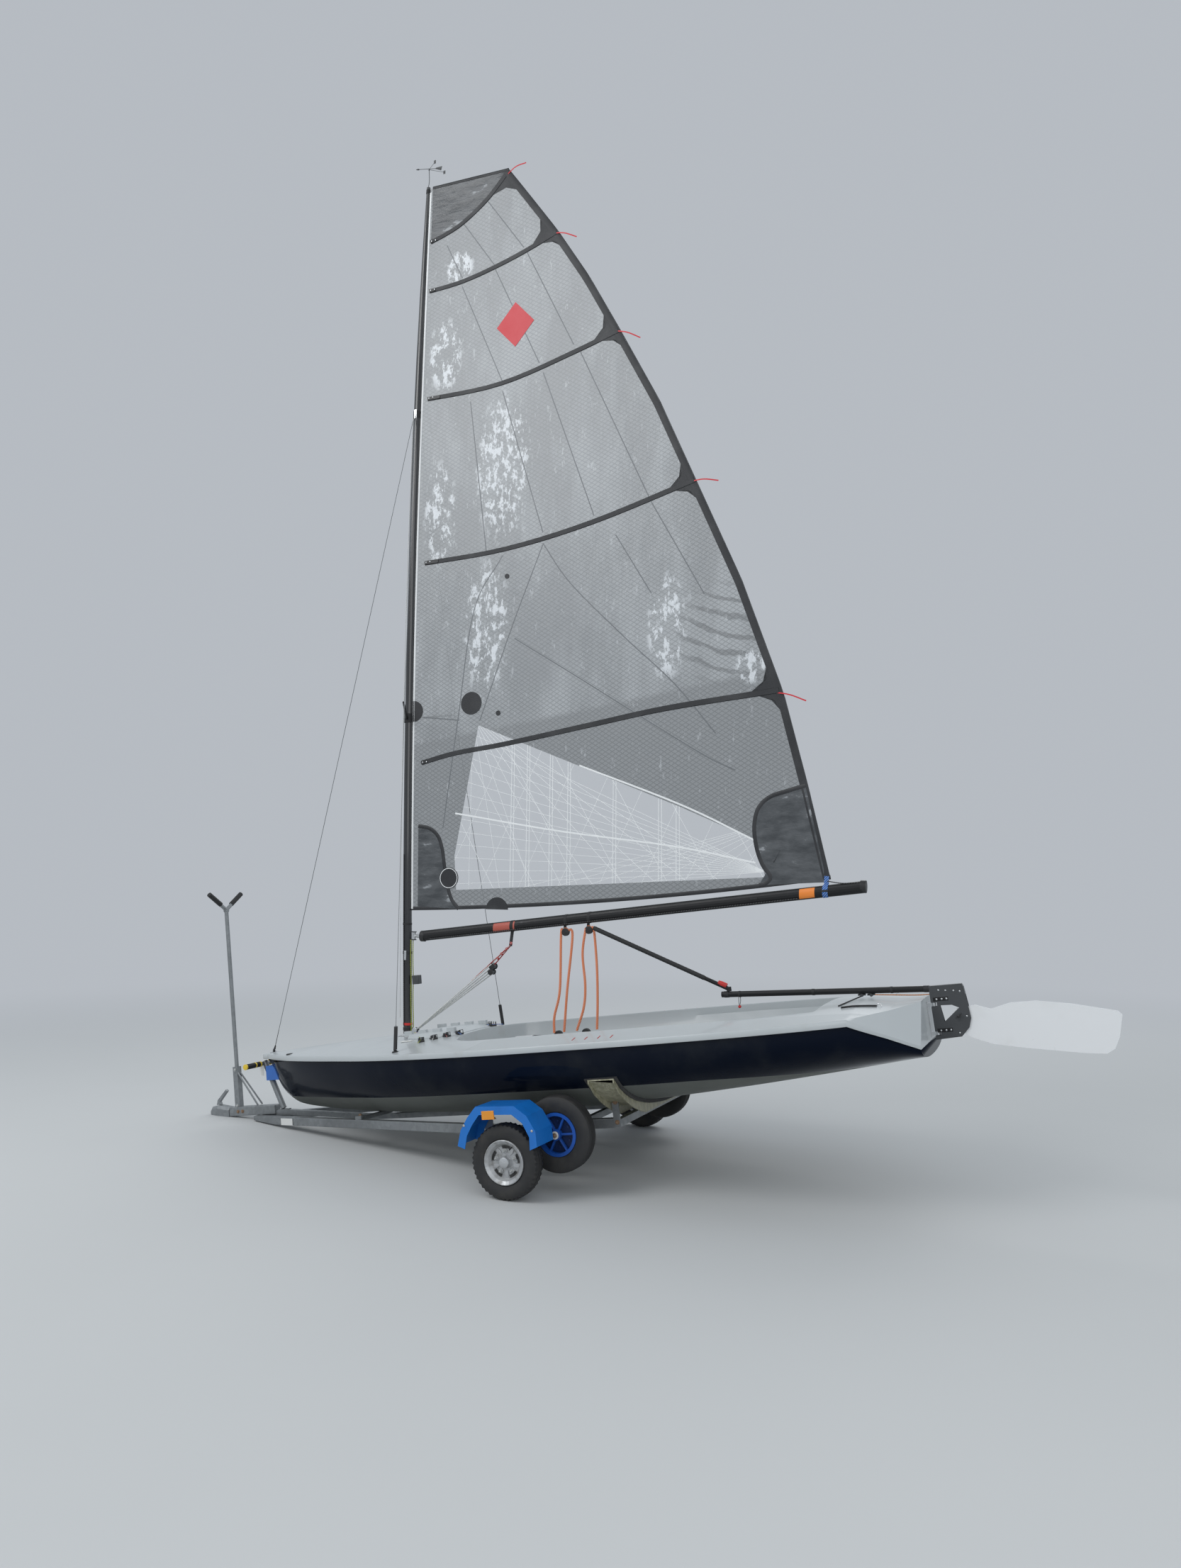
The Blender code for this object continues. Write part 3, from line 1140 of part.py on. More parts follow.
def make_drawbar(level):
    base = RAIL_FRONT_TOP_Z + SEAT_GAP
    top = base + DRAWBAR_SIZE
    bar = add("drawbar", box_mesh("bar", (DRAWBAR_FRONT_X, -DRAWBAR_SIZE / 2, base),
                                  (DRAWBAR_BACK_X, DRAWBAR_SIZE / 2, top)), "galvanised", level)
    round_edges(bar, EDGE_ROUND)

    back = DRAWBAR_FRONT_X - SEAT_GAP
    pitch = park_pitch()
    drop = (back - COUPLING_NOSE_X) * sin(pitch) / cos(pitch)
    half = COUPLING_WIDTH / 2
    rings = []
    for x, wide, low, high in (
            (COUPLING_NOSE_X, 0.55, COUPLING_NOSE_Z, lerp(COUPLING_NOSE_Z, COUPLING_TOP_Z, 0.45)),
            (COUPLING_NOSE_X + half * 0.6, 0.90, COUPLING_NOSE_Z - drop * 0.12,
             lerp(COUPLING_NOSE_Z, COUPLING_TOP_Z, 0.85)),
            (COUPLING_NOSE_X + half * 2, 1.00, COUPLING_NOSE_Z - drop * 0.40, COUPLING_TOP_Z),
            (back, 0.95, COUPLING_NOSE_Z - drop, top)):
        y = half * wide
        rings.append([(x, -y, low), (x, y, low), (x, y, lerp(low, high, 0.7)), (x, y * 0.6, high),
                      (x, -y * 0.6, high), (x, -y, lerp(low, high, 0.7))])
    head = add("coupling_head", loft_mesh("head", rings), "galvanised", level)
    socket_x = COUPLING_NOSE_X + half * 1.3

    def ball(work):
        bmesh.ops.create_uvsphere(work, u_segments=20, v_segments=10, radius=SOCKET_RADIUS,
                                  matrix=Matrix.Translation((socket_x, 0, COUPLING_NOSE_Z + SOCKET_RADIUS * 0.1)))
    join_shapes(head, [mesh_from("ball", ball)], "DIFFERENCE")
    return top


def make_lever(level):
    """Release handle that stands over the coupling head."""
    half = COUPLING_WIDTH / 2
    x = COUPLING_NOSE_X + half * 2
    base = COUPLING_TOP_Z + SEAT_GAP
    outline = [(x - LEVER_WIDTH, base), (x + LEVER_WIDTH * 0.6, base), (x + LEVER_WIDTH * 0.3, base + LEVER_WIDTH),
               (x + LEVER_LENGTH * 0.55, base + LEVER_RISE), (x + LEVER_LENGTH * 0.48, base + LEVER_RISE * 1.12),
               (x - LEVER_WIDTH * 0.5, base + LEVER_WIDTH * 1.5)]
    add("coupling_lever", plate_mesh("lever", outline, -LEVER_WIDTH / 2, LEVER_WIDTH / 2), "galvanised", level)


def make_mast_support(level, drawbar_top):
    base = drawbar_top + SEAT_GAP
    post = add("mast_support", box_mesh("sleeve", (POST_X - SLEEVE_SIZE / 2, -SLEEVE_SIZE / 2, base),
                                        (POST_X + SLEEVE_SIZE / 2, SLEEVE_SIZE / 2, SLEEVE_TOP_Z)),
               "galvanised", level)
    shapes = [rod_mesh("post", (POST_X, 0, base + SLEEVE_SIZE), (POST_X, 0, POST_TOP_Z), POST_RADIUS)]
    for side in (-1, 1):
        shapes.append(rod_mesh("arm", (POST_X, -side * POST_RADIUS, POST_TOP_Z - POST_RADIUS),
                               (POST_X, side * CRUTCH_HALF, POST_TOP_Z + CRUTCH_RISE), CRUTCH_RADIUS))
        shapes.append(rod_mesh("stay", (POST_X, side * POST_STAY_Y / 2, SLEEVE_TOP_Z - SLEEVE_SIZE / 2),
                               (POST_STAY_X, side * POST_STAY_Y, base + POST_STAY_RADIUS),
                               POST_STAY_RADIUS, None, 10))
    join_shapes(post, shapes)


# Launching trolley

def hull_underside(skin, x, y):
    """Height of the hull's skin above a point."""
    hit = skin.ray_cast(Vector((x, y, -HULL_LENGTH)), Vector((0, 0, 1)))
    return hit[0].z


def make_trolley(level, skin):
    spine_back = CROSS_X - SEAT_GAP
    half = SPINE_WIDTH / 2
    axle_half = TROLLEY_AXLE_SIZE / 2
    top_line = [(SPINE_FRONT_X, NOSE_TOP_Z), (SPINE_NOSE_END_X, NOSE_TOP_Z), (SPINE_LEVEL_X, SPINE_TOP_Z),
                (spine_back, SPINE_TOP_Z)]
    outline = top_line + [(x, z - SPINE_DEPTH) for x, z in reversed(top_line)]
    spine = add("trolley_spine", plate_mesh("spine", outline, -half, half), "galvanised", level)
    room = axle_half + SEAT_GAP
    notch = box_mesh("notch", (TROLLEY_AXLE_X - room, -SPINE_WIDTH, SPINE_LOW_Z - CUT_OVERRUN),
                     (TROLLEY_AXLE_X + room, SPINE_WIDTH, TROLLEY_AXLE_Z + room))
    join_shapes(spine, [notch], "DIFFERENCE")
    bar_half = TROLLEY_TRACK / 2 - TROLLEY_TYRE_WIDTH / 2 - RUNNING_GAP
    axle = add("trolley_axle", box_mesh("axle", (TROLLEY_AXLE_X - axle_half, -bar_half,
                                                 TROLLEY_AXLE_Z - axle_half),
                                        (TROLLEY_AXLE_X + axle_half, bar_half, TROLLEY_AXLE_Z + axle_half)),
               "galvanised", level)
    reach = TROLLEY_TRACK / 2 + TROLLEY_TYRE_WIDTH / 2 + TROLLEY_STUB_PROUD
    join_shapes(axle, [rod_mesh("stub", (TROLLEY_AXLE_X, -reach, TROLLEY_AXLE_Z),
                                (TROLLEY_AXLE_X, reach, TROLLEY_AXLE_Z), TROLLEY_STUB_RADIUS)])

    foot = Vector((BOW_POST_FOOT_X, 0, NOSE_TOP_Z + SEAT_GAP))
    top = Vector((BOW_POST_TOP_X, 0, BOW_POST_TOP_Z))
    lean = (top - foot).normalized()
    post = add("bow_post", rod_mesh("post", foot + lean * BOW_POST_RADIUS * 0.6, top, BOW_POST_RADIUS),
               "galvanised", level)
    handle_z = BOW_POST_TOP_Z - HANDLE_RADIUS
    shapes = [box_mesh("foot", (foot.x - SPINE_WIDTH, -half, foot.z), (foot.x + SPINE_WIDTH, half,
                                                                       foot.z + GOOSENECK_LUG)),
              rod_mesh("handle", (BOW_POST_TOP_X, -HANDLE_HALF, handle_z), (BOW_POST_TOP_X, HANDLE_HALF, handle_z),
                       HANDLE_RADIUS)]
    join_shapes(post, shapes)

    low_z, high_z = SNUBBER_Z - SNUBBER_HEIGHT / 2, SNUBBER_Z + SNUBBER_HEIGHT / 2
    snub_half = SNUBBER_WIDTH / 2
    block = add("bow_snubber", box_mesh("block", (SNUBBER_FRONT_X, -snub_half, low_z),
                                        (along_stem(skin, low_z) + SNUBBER_WIDTH / 4, snub_half, high_z)),
                "snubber_blue", level)
    post_room = rod_mesh("room", foot, top + lean * CUT_OVERRUN, BOW_POST_RADIUS + SEAT_GAP)
    join_shapes(block, [post_room], "DIFFERENCE")
    join_shapes(block, [grown_hull(SEAT_GAP * 2)], "DIFFERENCE")

    side_low = SIDE_RAIL_TOP_Z - SIDE_RAIL_DEPTH
    for side, name in ((-1, "port"), (1, "starboard")):
        rail = add(f"trolley_rail_{name}",
                   box_mesh("rail", (TROLLEY_AXLE_X + room, side * SIDE_RAIL_Y - SIDE_RAIL_WIDTH / 2,
                                     side_low),
                            (CROSS_X - SEAT_GAP, side * SIDE_RAIL_Y + SIDE_RAIL_WIDTH / 2,
                             SIDE_RAIL_TOP_Z)), "galvanised", level)
        round_edges(rail, EDGE_ROUND * 0.75)


def along_stem(skin, z):
    """How far forward the stem reaches at a height."""
    hit = skin.ray_cast(Vector((STEM_X - HULL_LENGTH, 0.0, z)), Vector((1, 0, 0)))
    return hit[0].x


def make_cradle(level, skin):
    """Full-width moulded cradle: an inverted channel bent to the hull's section, with a carpet pad."""
    stations = [CRADLE_FRONT_X - CRADLE_PAD_LAP, (CRADLE_FRONT_X + CRADLE_BACK_X) / 2,
                CRADLE_BACK_X + CRADLE_PAD_LAP]
    shell_rings, pad_rings = [], []
    for k in range(CRADLE_STEPS + 1):
        y = lerp(-CRADLE_HALF, CRADLE_HALF, k / CRADLE_STEPS)
        top = min(hull_underside(skin, x, y) for x in stations) - PAD_GAP
        under = top - CRADLE_PAD
        edge = max(0.0, (abs(y) / CRADLE_HALF - 0.45) / 0.55)
        depth = lerp(CRADLE_FLANGE, CRADLE_TIP_FLANGE, edge)
        floor = SPINE_TOP_Z + SEAT_GAP
        bottom = max(under - depth, floor) if under - CRADLE_SKIN > floor else under - CRADLE_SKIN * 1.5
        web = under - SEAT_GAP
        front, back = CRADLE_FRONT_X, CRADLE_BACK_X
        wall = CRADLE_SKIN
        shell_rings.append([(front, y, bottom), (front, y, web), (back, y, web), (back, y, bottom),
                            (back - wall, y, bottom), (back - wall, y, web - wall),
                            (front + wall, y, web - wall), (front + wall, y, bottom)])
        pad_rings.append([(front - CRADLE_PAD_LAP, y, under), (back + CRADLE_PAD_LAP, y, under),
                          (back + CRADLE_PAD_LAP, y, top + CRADLE_PAD * 2),
                          (front - CRADLE_PAD_LAP, y, top + CRADLE_PAD * 2)])
    add("cradle_shell", loft_mesh("shell", shell_rings), "cradle_resin", level)
    pad = add("cradle_pad", loft_mesh("pad", pad_rings), "carpet_black", level)
    join_shapes(pad, [grown_hull(SEAT_GAP * 2)], "DIFFERENCE")
    return min(hull_underside(skin, x, CROSS_HALF - UPRIGHT_THICKNESS) for x in stations)


def make_rear_crossbeam(level, cradle_z):
    low = CROSS_LOW_Z
    cross = add("rear_crossbeam", box_mesh("cross", (CROSS_X, -CROSS_HALF, low),
                                           (CROSS_X + CROSS_SIZE, CROSS_HALF, low + CROSS_SIZE)),
                "galvanised", level)
    top = cradle_z - PAD_GAP - CRADLE_PAD - CRADLE_SKIN - SEAT_GAP * 3
    plates = []
    for side in (-1, 1):
        a, b = sorted((side * (CROSS_HALF - UPRIGHT_THICKNESS), side * CROSS_HALF))
        plates.append(box_mesh("upright", (CROSS_X, a, low), (CROSS_X + CROSS_SIZE, b, top)))
    join_shapes(cross, plates)


def park_pitch():
    """How far the trailer noses down until its coupling meets the ground under its round tyres."""
    reach = hypot(COUPLING_NOSE_X, COUPLING_NOSE_Z)
    return asin(ROAD_TYRE_RADIUS / reach) + atan2(COUPLING_NOSE_Z, -COUPLING_NOSE_X)


def centre_on_floor(stand):
    """Move the whole so that the middle of its box stands over the origin."""
    bpy.context.view_layer.update()
    reach = [(item.matrix_world @ vertex.co).x for item in PARTS.objects if item.type == "MESH"
             for vertex in item.data.vertices]
    stand.location.x -= (min(reach) + max(reach)) / 2


def main():
    clear_scene()
    stand = empty("stand", (0, 0, ROAD_TYRE_RADIUS))
    level = empty("level", (0, 0, 0), -park_pitch(), stand)
    rig = empty("rig", (MAST_X, 0, MAST_FOOT_Z), MAST_RAKE, level)
    skin, deck = make_hull(level)
    make_centreboard(level)
    make_fairing(level, deck)
    make_mast(level, rig, deck)
    make_stays(level, deck)
    turning = make_boom(rig) + [make_sail(rig)]
    hang_on_axis("boom_axis", (LUFF_AXIS_X, 0, BOOM_START_Z), turning)
    make_rudder(level)
    for side, name in ((-1, "port"), (1, "starboard")):
        make_road_wheel(side, name, level)
        make_trolley_wheel(side, name, level)
    make_road_base(level)
    drawbar_top = make_drawbar(level)
    make_lever(level)
    make_mast_support(level, drawbar_top)
    make_trolley(level, skin)
    cradle_z = make_cradle(level, skin)
    make_rear_crossbeam(level, cradle_z)
    centre_on_floor(stand)


main()
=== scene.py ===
import json
from math import atan2, ceil, cos, hypot, pi, radians, sin, tan

import bmesh
import bpy
from bpy.props import FloatProperty, FloatVectorProperty, IntProperty, PointerProperty
from mathutils import Matrix, Vector


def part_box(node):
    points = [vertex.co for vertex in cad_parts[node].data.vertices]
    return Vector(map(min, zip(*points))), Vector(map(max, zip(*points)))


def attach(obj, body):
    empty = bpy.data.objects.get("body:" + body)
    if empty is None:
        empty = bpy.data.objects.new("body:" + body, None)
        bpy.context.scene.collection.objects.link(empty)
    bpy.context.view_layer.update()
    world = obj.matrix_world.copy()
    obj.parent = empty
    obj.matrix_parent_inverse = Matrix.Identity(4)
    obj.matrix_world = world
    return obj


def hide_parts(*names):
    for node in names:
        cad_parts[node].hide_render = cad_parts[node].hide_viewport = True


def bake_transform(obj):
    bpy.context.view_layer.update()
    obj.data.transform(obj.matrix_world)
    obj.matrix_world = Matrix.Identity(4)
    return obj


bl_info = {
    "name": "Sailing dinghy on its trailer",
    "version": (1, 0, 0),
    "blender": (4, 5, 0),
    "location": "View3D > Sidebar > Dinghy",
    "description": "Dresses the packed dinghy, its rig and its trailer",
    "category": "Object",
}

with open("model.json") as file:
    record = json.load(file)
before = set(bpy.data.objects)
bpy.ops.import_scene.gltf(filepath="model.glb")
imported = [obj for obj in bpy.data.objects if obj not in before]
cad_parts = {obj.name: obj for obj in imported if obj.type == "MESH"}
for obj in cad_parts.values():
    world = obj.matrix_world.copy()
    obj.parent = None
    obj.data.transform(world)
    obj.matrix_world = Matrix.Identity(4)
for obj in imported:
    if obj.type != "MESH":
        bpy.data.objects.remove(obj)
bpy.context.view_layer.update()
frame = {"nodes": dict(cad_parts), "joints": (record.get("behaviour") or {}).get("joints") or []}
JOINTS = {joint["name"]: joint for joint in frame["joints"]}

BOAT = "boat_on_trailer"
SPARS = "boom_and_sail"

# Frames. The level frame stands at the road axle and shares the trailer's pitch; the rig frame stands
# at the mast foot with z up the mast.
PITCH_AXIS = Vector(JOINTS["rudder_turn"]["axis"]).normalized()
PITCH = atan2(-PITCH_AXIS.x, PITCH_AXIS.z)
MAST_X = -1.18
MAST_FOOT_Z = 0.612
MAST_RAKE = radians(7.85)
MAST_LENGTH = 5.71
MAST_BEND = 0.055
MAST_RADII = ((0.0, 0.029), (0.25, 0.028), (0.55, 0.0265), (0.75, 0.0255), (0.88, 0.02),
              (1.0, 0.013))


def road_axle():
    low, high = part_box("road_tyre_port")
    return Vector(((low[0] + high[0]) / 2, 0.0, (low[2] + high[2]) / 2))


LEVEL = Matrix.Translation(road_axle()) @ Matrix.Rotation(-PITCH, 4, "Y")
RIG = LEVEL @ Matrix.Translation((MAST_X, 0.0, MAST_FOOT_Z)) @ Matrix.Rotation(MAST_RAKE, 4, "Y")


# Curves and tables

def lerp(a, b, t):
    return a + (b - a) * t


def along_table(rows, t):
    """A row of a table whose first column rises, interpolated at t."""
    if t <= rows[0][0]:
        return rows[0]
    for low, high in zip(rows, rows[1:]):
        if t <= high[0]:
            share = (t - low[0]) / (high[0] - low[0])
            return tuple(lerp(a, b, share) for a, b in zip(low, high))
    return rows[-1]


def curve_through(points, steps=6):
    """A smooth open path through points, as many steps to each stretch."""
    points = [Vector(p) for p in points]
    if len(points) < 3:
        return points
    ends = [points[0] * 2 - points[1], *points, points[-1] * 2 - points[-2]]
    path = []
    for a, b, c, d in zip(ends, ends[1:], ends[2:], ends[3:]):
        for k in range(steps):
            t = k / steps
            path.append(0.5 * (2 * b + (c - a) * t + (2 * a - 5 * b + 4 * c - d) * t ** 2
                               + (3 * b - a - 3 * c + d) * t ** 3))
    path.append(points[-1])
    return path


def straight(a, b, steps):
    a, b = Vector(a), Vector(b)
    return [a.lerp(b, k / steps) for k in range(steps + 1)]


def disc(radius, sides):
    """A round section."""
    return [(radius * cos(2 * pi * k / sides), radius * sin(2 * pi * k / sides))
            for k in range(sides)]


def plank(width, depth, corner=0.0):
    """A rectangular section with its corners cut by that length."""
    w, d, c = width / 2, depth / 2, corner
    if not c:
        return [(w, -d), (w, d), (-w, d), (-w, -d)]
    return [(w, -d + c), (w, d - c), (w - c, d), (-w + c, d), (-w, d - c), (-w, -d + c),
            (-w + c, -d), (w - c, -d)]


# Shapes

SIDES = (-1, 1)
UP = (0, 0, 1)
ACROSS = (0, 1, 0)
# a block's cheek: how far out, share of its radius; its wheel: share of its width, share of its radius
BLOCK_CHEEK = ((-0.003, 0.8), (-0.0024, 1.0), (0.0006, 1.0), (0.0016, 0.86), (0.0016, 0.45),
               (0.0034, 0.36), (0.0034, 0.05))
BLOCK_WHEEL = ((-0.32, 0.86), (-0.2, 0.74), (0.0, 0.7), (0.2, 0.74), (0.32, 0.86))
CLEAT_JAW = ((0.0, 0.0066), (0.002, 0.007), (0.009, 0.007), (0.011, 0.0055), (0.0115, 0.001))


class Shape:
    """One mesh being drawn: tubes, blocks and turned pieces are added to the same surface."""

    def __init__(self):
        self.work = bmesh.new()

    def sweep(self, path, section, up=UP, scales=None):
        """A section carried along a path; up is the direction that the section's second side keeps to."""
        path = [Vector(p) for p in path]
        rings = []
        up = Vector(up)
        side = None
        for k, point in enumerate(path):
            forward = (path[min(k + 1, len(path) - 1)] - path[max(k - 1, 0)]).normalized()
            if side is None or abs(up.dot(forward)) < 0.95:
                fresh = up.cross(forward)
                side = fresh.normalized() if fresh.length > 1e-6 else side
            if side is None:
                side = forward.orthogonal().normalized()
            side = (side - forward * side.dot(forward)).normalized()
            top = forward.cross(side)
            scale = scales[k] if scales else 1.0
            rings.append(self.ring(point + side * a * scale + top * b * scale for a, b in section))
        self.skin(rings)

    def ring(self, points):
        """The vertices of one ring or row."""
        return [self.work.verts.new(point) for point in points]

    def line(self, path, radius, sides=8, up=ACROSS):
        """A round line along a path."""
        self.sweep(path, disc(radius, sides), up)

    def bar(self, path, width, depth, corner=0.0, up=UP, scales=None):
        """A flat bar along a path, its width across the direction of up."""
        self.sweep(path, plank(width, depth, corner), up, scales=scales)

    def bands(self, places, around, sides, low=0.0001):
        """Straps round a tube: place, width and thickness of each; around gives the tube's points."""
        for at, width, proud in places:
            edge = width / 2
            self.skin([self.ring(around(at + along, grow, 2 * pi * k / sides) for k in range(sides))
                       for along, grow in ((-edge, low), (-edge + 0.001, proud),
                                           (edge - 0.001, proud), (edge, low))])

    def studs(self, places, profile, steps=12):
        """The same turned piece at each place, standing out along y on its own side."""
        for x, y, z in places:
            self.turned((x, y, z), (0, -1 if y < 0 else 1, 0), profile, steps)

    def skin(self, rings, capped=True):
        """Faces between rings of as many points each."""
        self.skin_open([[*ring, ring[0]] for ring in rings])
        if capped:
            self.work.faces.new(rings[0][::-1])
            self.work.faces.new(rings[-1])

    def skin_open(self, rows):
        """Faces between rows of as many points each, left open at the edges."""
        for low, high in zip(rows, rows[1:]):
            for k in range(len(low) - 1):
                self.work.faces.new((low[k], low[k + 1], high[k + 1], high[k]))

    def turned(self, centre, axis, profile, steps=16):
        """A profile of (along, radius) spun about an axis."""
        axis = Vector(axis).normalized()
        side = axis.orthogonal().normalized()
        top = axis.cross(side)
        centre = Vector(centre)
        rings = []
        for along, radius in profile:
            middle = centre + axis * along
            rings.append(self.ring(middle + side * radius * cos(2 * pi * k / steps)
                                   + top * radius * sin(2 * pi * k / steps) for k in range(steps)))
        self.skin(rings)

    def ball(self, centre, radius):
        self.turned(Vector(centre), UP, [(-radius * cos(pi * k / 8),
                                          max(radius * sin(pi * k / 8), 0.0002))
                                         for k in range(9)], 12)

    def bolt(self, centre, axis, head=0.007, height=0.005):
        """A hexagon head with its washer, standing on centre."""
        self.turned(centre, axis, [(0.0, head * 1.5), (height * 0.25, head * 1.5),
                                   (height * 0.26, head)], 12)
        self.turned(Vector(centre) + Vector(axis).normalized() * height * 0.2, axis,
                    [(0.0, head), (height * 0.8, head), (height, head * 0.8)], 6)

    def piece(self, name, finish, body=BOAT, place=LEVEL, angle=35, bevel=0.0, smooth=True):
        """Ends the drawing: one object with its finish that rides on a body of the frame."""
        bmesh.ops.remove_doubles(self.work, verts=self.work.verts, dist=0.00001)
        bmesh.ops.recalc_face_normals(self.work, faces=self.work.faces)
        mesh = bpy.data.meshes.new(name)
        self.work.to_mesh(mesh)
        self.work.free()
        made = bpy.data.objects.new(name, mesh)
        bpy.context.scene.collection.objects.link(made)
        if place is not None:
            made.data.transform(place)
        if bevel:
            round_over = made.modifiers.new("edges", "BEVEL")
            round_over.width = bevel
            round_over.segments = 2
            round_over.limit_method = "ANGLE"
            round_over.angle_limit = radians(40)
        if smooth:
            made.data.shade_smooth()
            made.data.set_sharp_from_angle(angle=radians(angle))
        made.data.materials.append(finish_named(finish) if isinstance(finish, str) else finish)
        if body:
            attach(made, body)
        return made


def shapes(count):
    return [Shape() for _ in range(count)]


def to_rig(x, z):
    """A point of the level frame's middle plane, in the rig frame."""
    return RIG.inverted() @ (LEVEL @ Vector((x, 0.0, z)))


def boom_around(x, grow, angle):
    """A point of the boom's surface, or that much outside it."""
    return (x, (BOOM_WIDTH + grow) * cos(angle), boom_z(x) + (BOOM_DEPTH + grow) * sin(angle))


def mast_around(z, grow, angle):
    size = mast_radius(z) + grow
    return (mast_x(z) + size * cos(angle), size * sin(angle), z)


def tiller_around(x, grow, angle):
    return (x, (0.0165 + grow) * cos(angle), tiller_z(x) + (0.0165 + grow) * sin(angle))


def spoke(angle):
    """The direction at that angle in the plane of the wheels."""
    return Vector((cos(angle), 0.0, sin(angle)))


def ribbed(low, high, steps, radius, ridge, end):
    """A grip's profile: ridges between two plain ends."""
    return [(lerp(low, high, k / steps), radius + ridge * (k % 2) if 0 < k < steps else end)
            for k in range(steps + 1)]


def hub_points(wheel, side):
    """A function that gives the point of a wheel's axis that far outside its middle."""
    x, out, z = wheel
    return lambda proud: Vector((x, side * (out + proud), z))


def on_deck(x, y, rise=0.0):
    """A point on the deck, or that much above it."""
    return Vector((x, y, deck_height(x, y) + rise))


# Finishes

class Wire:
    """A socket of a finish, used in plain arithmetic."""

    def __init__(self, finish, socket):
        self.finish = finish
        self.socket = socket

    def maths(self, operation, first, second=None):
        sockets = {0: first} if second is None else {0: first, 1: second}
        return self.finish.node("ShaderNodeMath", {"operation": operation}, sockets)

    def __add__(self, other):
        return self.maths("ADD", self, other)

    __radd__ = __add__

    def __sub__(self, other):
        return self.maths("SUBTRACT", self, other)

    def __rsub__(self, other):
        return self.maths("SUBTRACT", other, self)

    def __mul__(self, other):
        return self.maths("MULTIPLY", self, other)

    __rmul__ = __mul__

    def __truediv__(self, other):
        return self.maths("DIVIDE", self, other)

    def __pow__(self, other):
        return self.maths("POWER", self, other)

    def __abs__(self):
        return self.maths("ABSOLUTE", self)

    def wave(self):
        return self.maths("SINE", self)

    def part(self):
        return self.maths("FRACT", self)

    def least(self, other):
        return self.maths("MINIMUM", self, other)

    def most(self, other):
        return self.maths("MAXIMUM", self, other)

    def span(self, low, high):
        """0 below low and 1 above high, eased between."""
        return self.finish.node("ShaderNodeMapRange", {"interpolation_type": "SMOOTHSTEP"},
                                {"Value": self, "From Min": low, "From Max": high})


class Finish:
    """One material: its shader's fixed values, and the nodes that vary over the surface."""

    def __init__(self, name, color, roughness, metallic=0.0, fixed=()):
        self.material = bpy.data.materials.new(name)
        self.material.use_nodes = True
        self.nodes = self.material.node_tree.nodes
        self.links = self.material.node_tree.links
        self.shader = next(n for n in self.nodes if n.type == "BSDF_PRINCIPLED")
        self.color = tuple(color)[:3]
        self.put(self.shader.inputs["Base Color"], (*self.color, 1.0))
        self.put(self.shader.inputs["Roughness"], roughness)
        self.put(self.shader.inputs["Metallic"], metallic)
        for socket, value in dict(fixed).items():
            self.put(self.shader.inputs[socket], value)

    def put(self, socket, value):
        if isinstance(value, Wire):
            self.links.new(value.socket, socket)
        elif isinstance(value, bpy.types.NodeSocket):
            self.links.new(value, socket)
        else:
            socket.default_value = value

    def node(self, kind, settings=None, sockets=None, output=0):
        made = self.nodes.new(kind)
        for key, value in (settings or {}).items():
            setattr(made, key, value)
        for key, value in (sockets or {}).items():
            self.put(made.inputs[key], value)
        return Wire(self, made.outputs[output])

    def place(self):
        """The point of the surface in the frame at rest, in metres."""
        return self.node("ShaderNodeTexCoord", output=3)

    def axes(self, turn=None):
        """x, y and z of the surface point; turn is the matrix of the frame that they are read in."""
        point = self.place()
        if turn is not None:
            back = turn.inverted()
            point = self.node("ShaderNodeMapping", {}, {
                "Vector": point, "Location": back.to_translation(), "Rotation": back.to_euler()})
        made = self.node("ShaderNodeSeparateXYZ", {}, {0: point})
        outs = made.socket.node.outputs
        return Wire(self, outs[0]), Wire(self, outs[1]), Wire(self, outs[2])

    def noise(self, scale, detail=3.0, roughness=0.55, stretch=None):
        point = self.place()
        if stretch:
            point = self.node("ShaderNodeVectorMath", {"operation": "MULTIPLY"},
                              {0: point, 1: stretch})
        return self.node("ShaderNodeTexNoise", {}, {"Vector": point, "Scale": scale,
                                                    "Detail": detail, "Roughness": roughness})

    def cells(self, scale, output=0):
        return self.node("ShaderNodeTexVoronoi", {}, {"Vector": self.place(), "Scale": scale},
                         output)

    def mix(self, share, first, second):
        """A colour between two colours."""
        def shade(value):
            return value if isinstance(value, Wire) or len(value) == 4 else (*value, 1.0)
        return self.node("ShaderNodeMix", {"data_type": "RGBA"},
                         {0: share, 6: shade(first), 7: shade(second)}, 2)

    def paint(self, color):
        self.put(self.shader.inputs["Base Color"], color)
        return self

    def polish(self, roughness):
        self.put(self.shader.inputs["Roughness"], roughness)
        return self

    def relief(self, height, distance, strength=1.0):
        bump = self.node("ShaderNodeBump", {}, {"Height": height, "Distance": distance,
                                                "Strength": strength})
        self.put(self.shader.inputs["Normal"], bump)
        return self


def shaded(color, share):
    """A colour made darker, or paler where share is above 1."""
    return tuple(min(1.0, c * share) for c in tuple(color)[:3])


def soiled(finish, base, dirt, scale=2.2, low=0.52, high=0.72, strength=0.5):
    """Base colour with soft patches of another."""
    patches = finish.noise(scale, 5.0).span(low, high) * strength
    return finish.mix(patches, base, dirt)


FINISHES = {}


def finish_named(name):
    """Each finish is made once, from the colours of the properties."""
    if name not in FINISHES:
        FINISHES[name] = FINISH_MAKERS[name]().material
    return FINISHES[name]


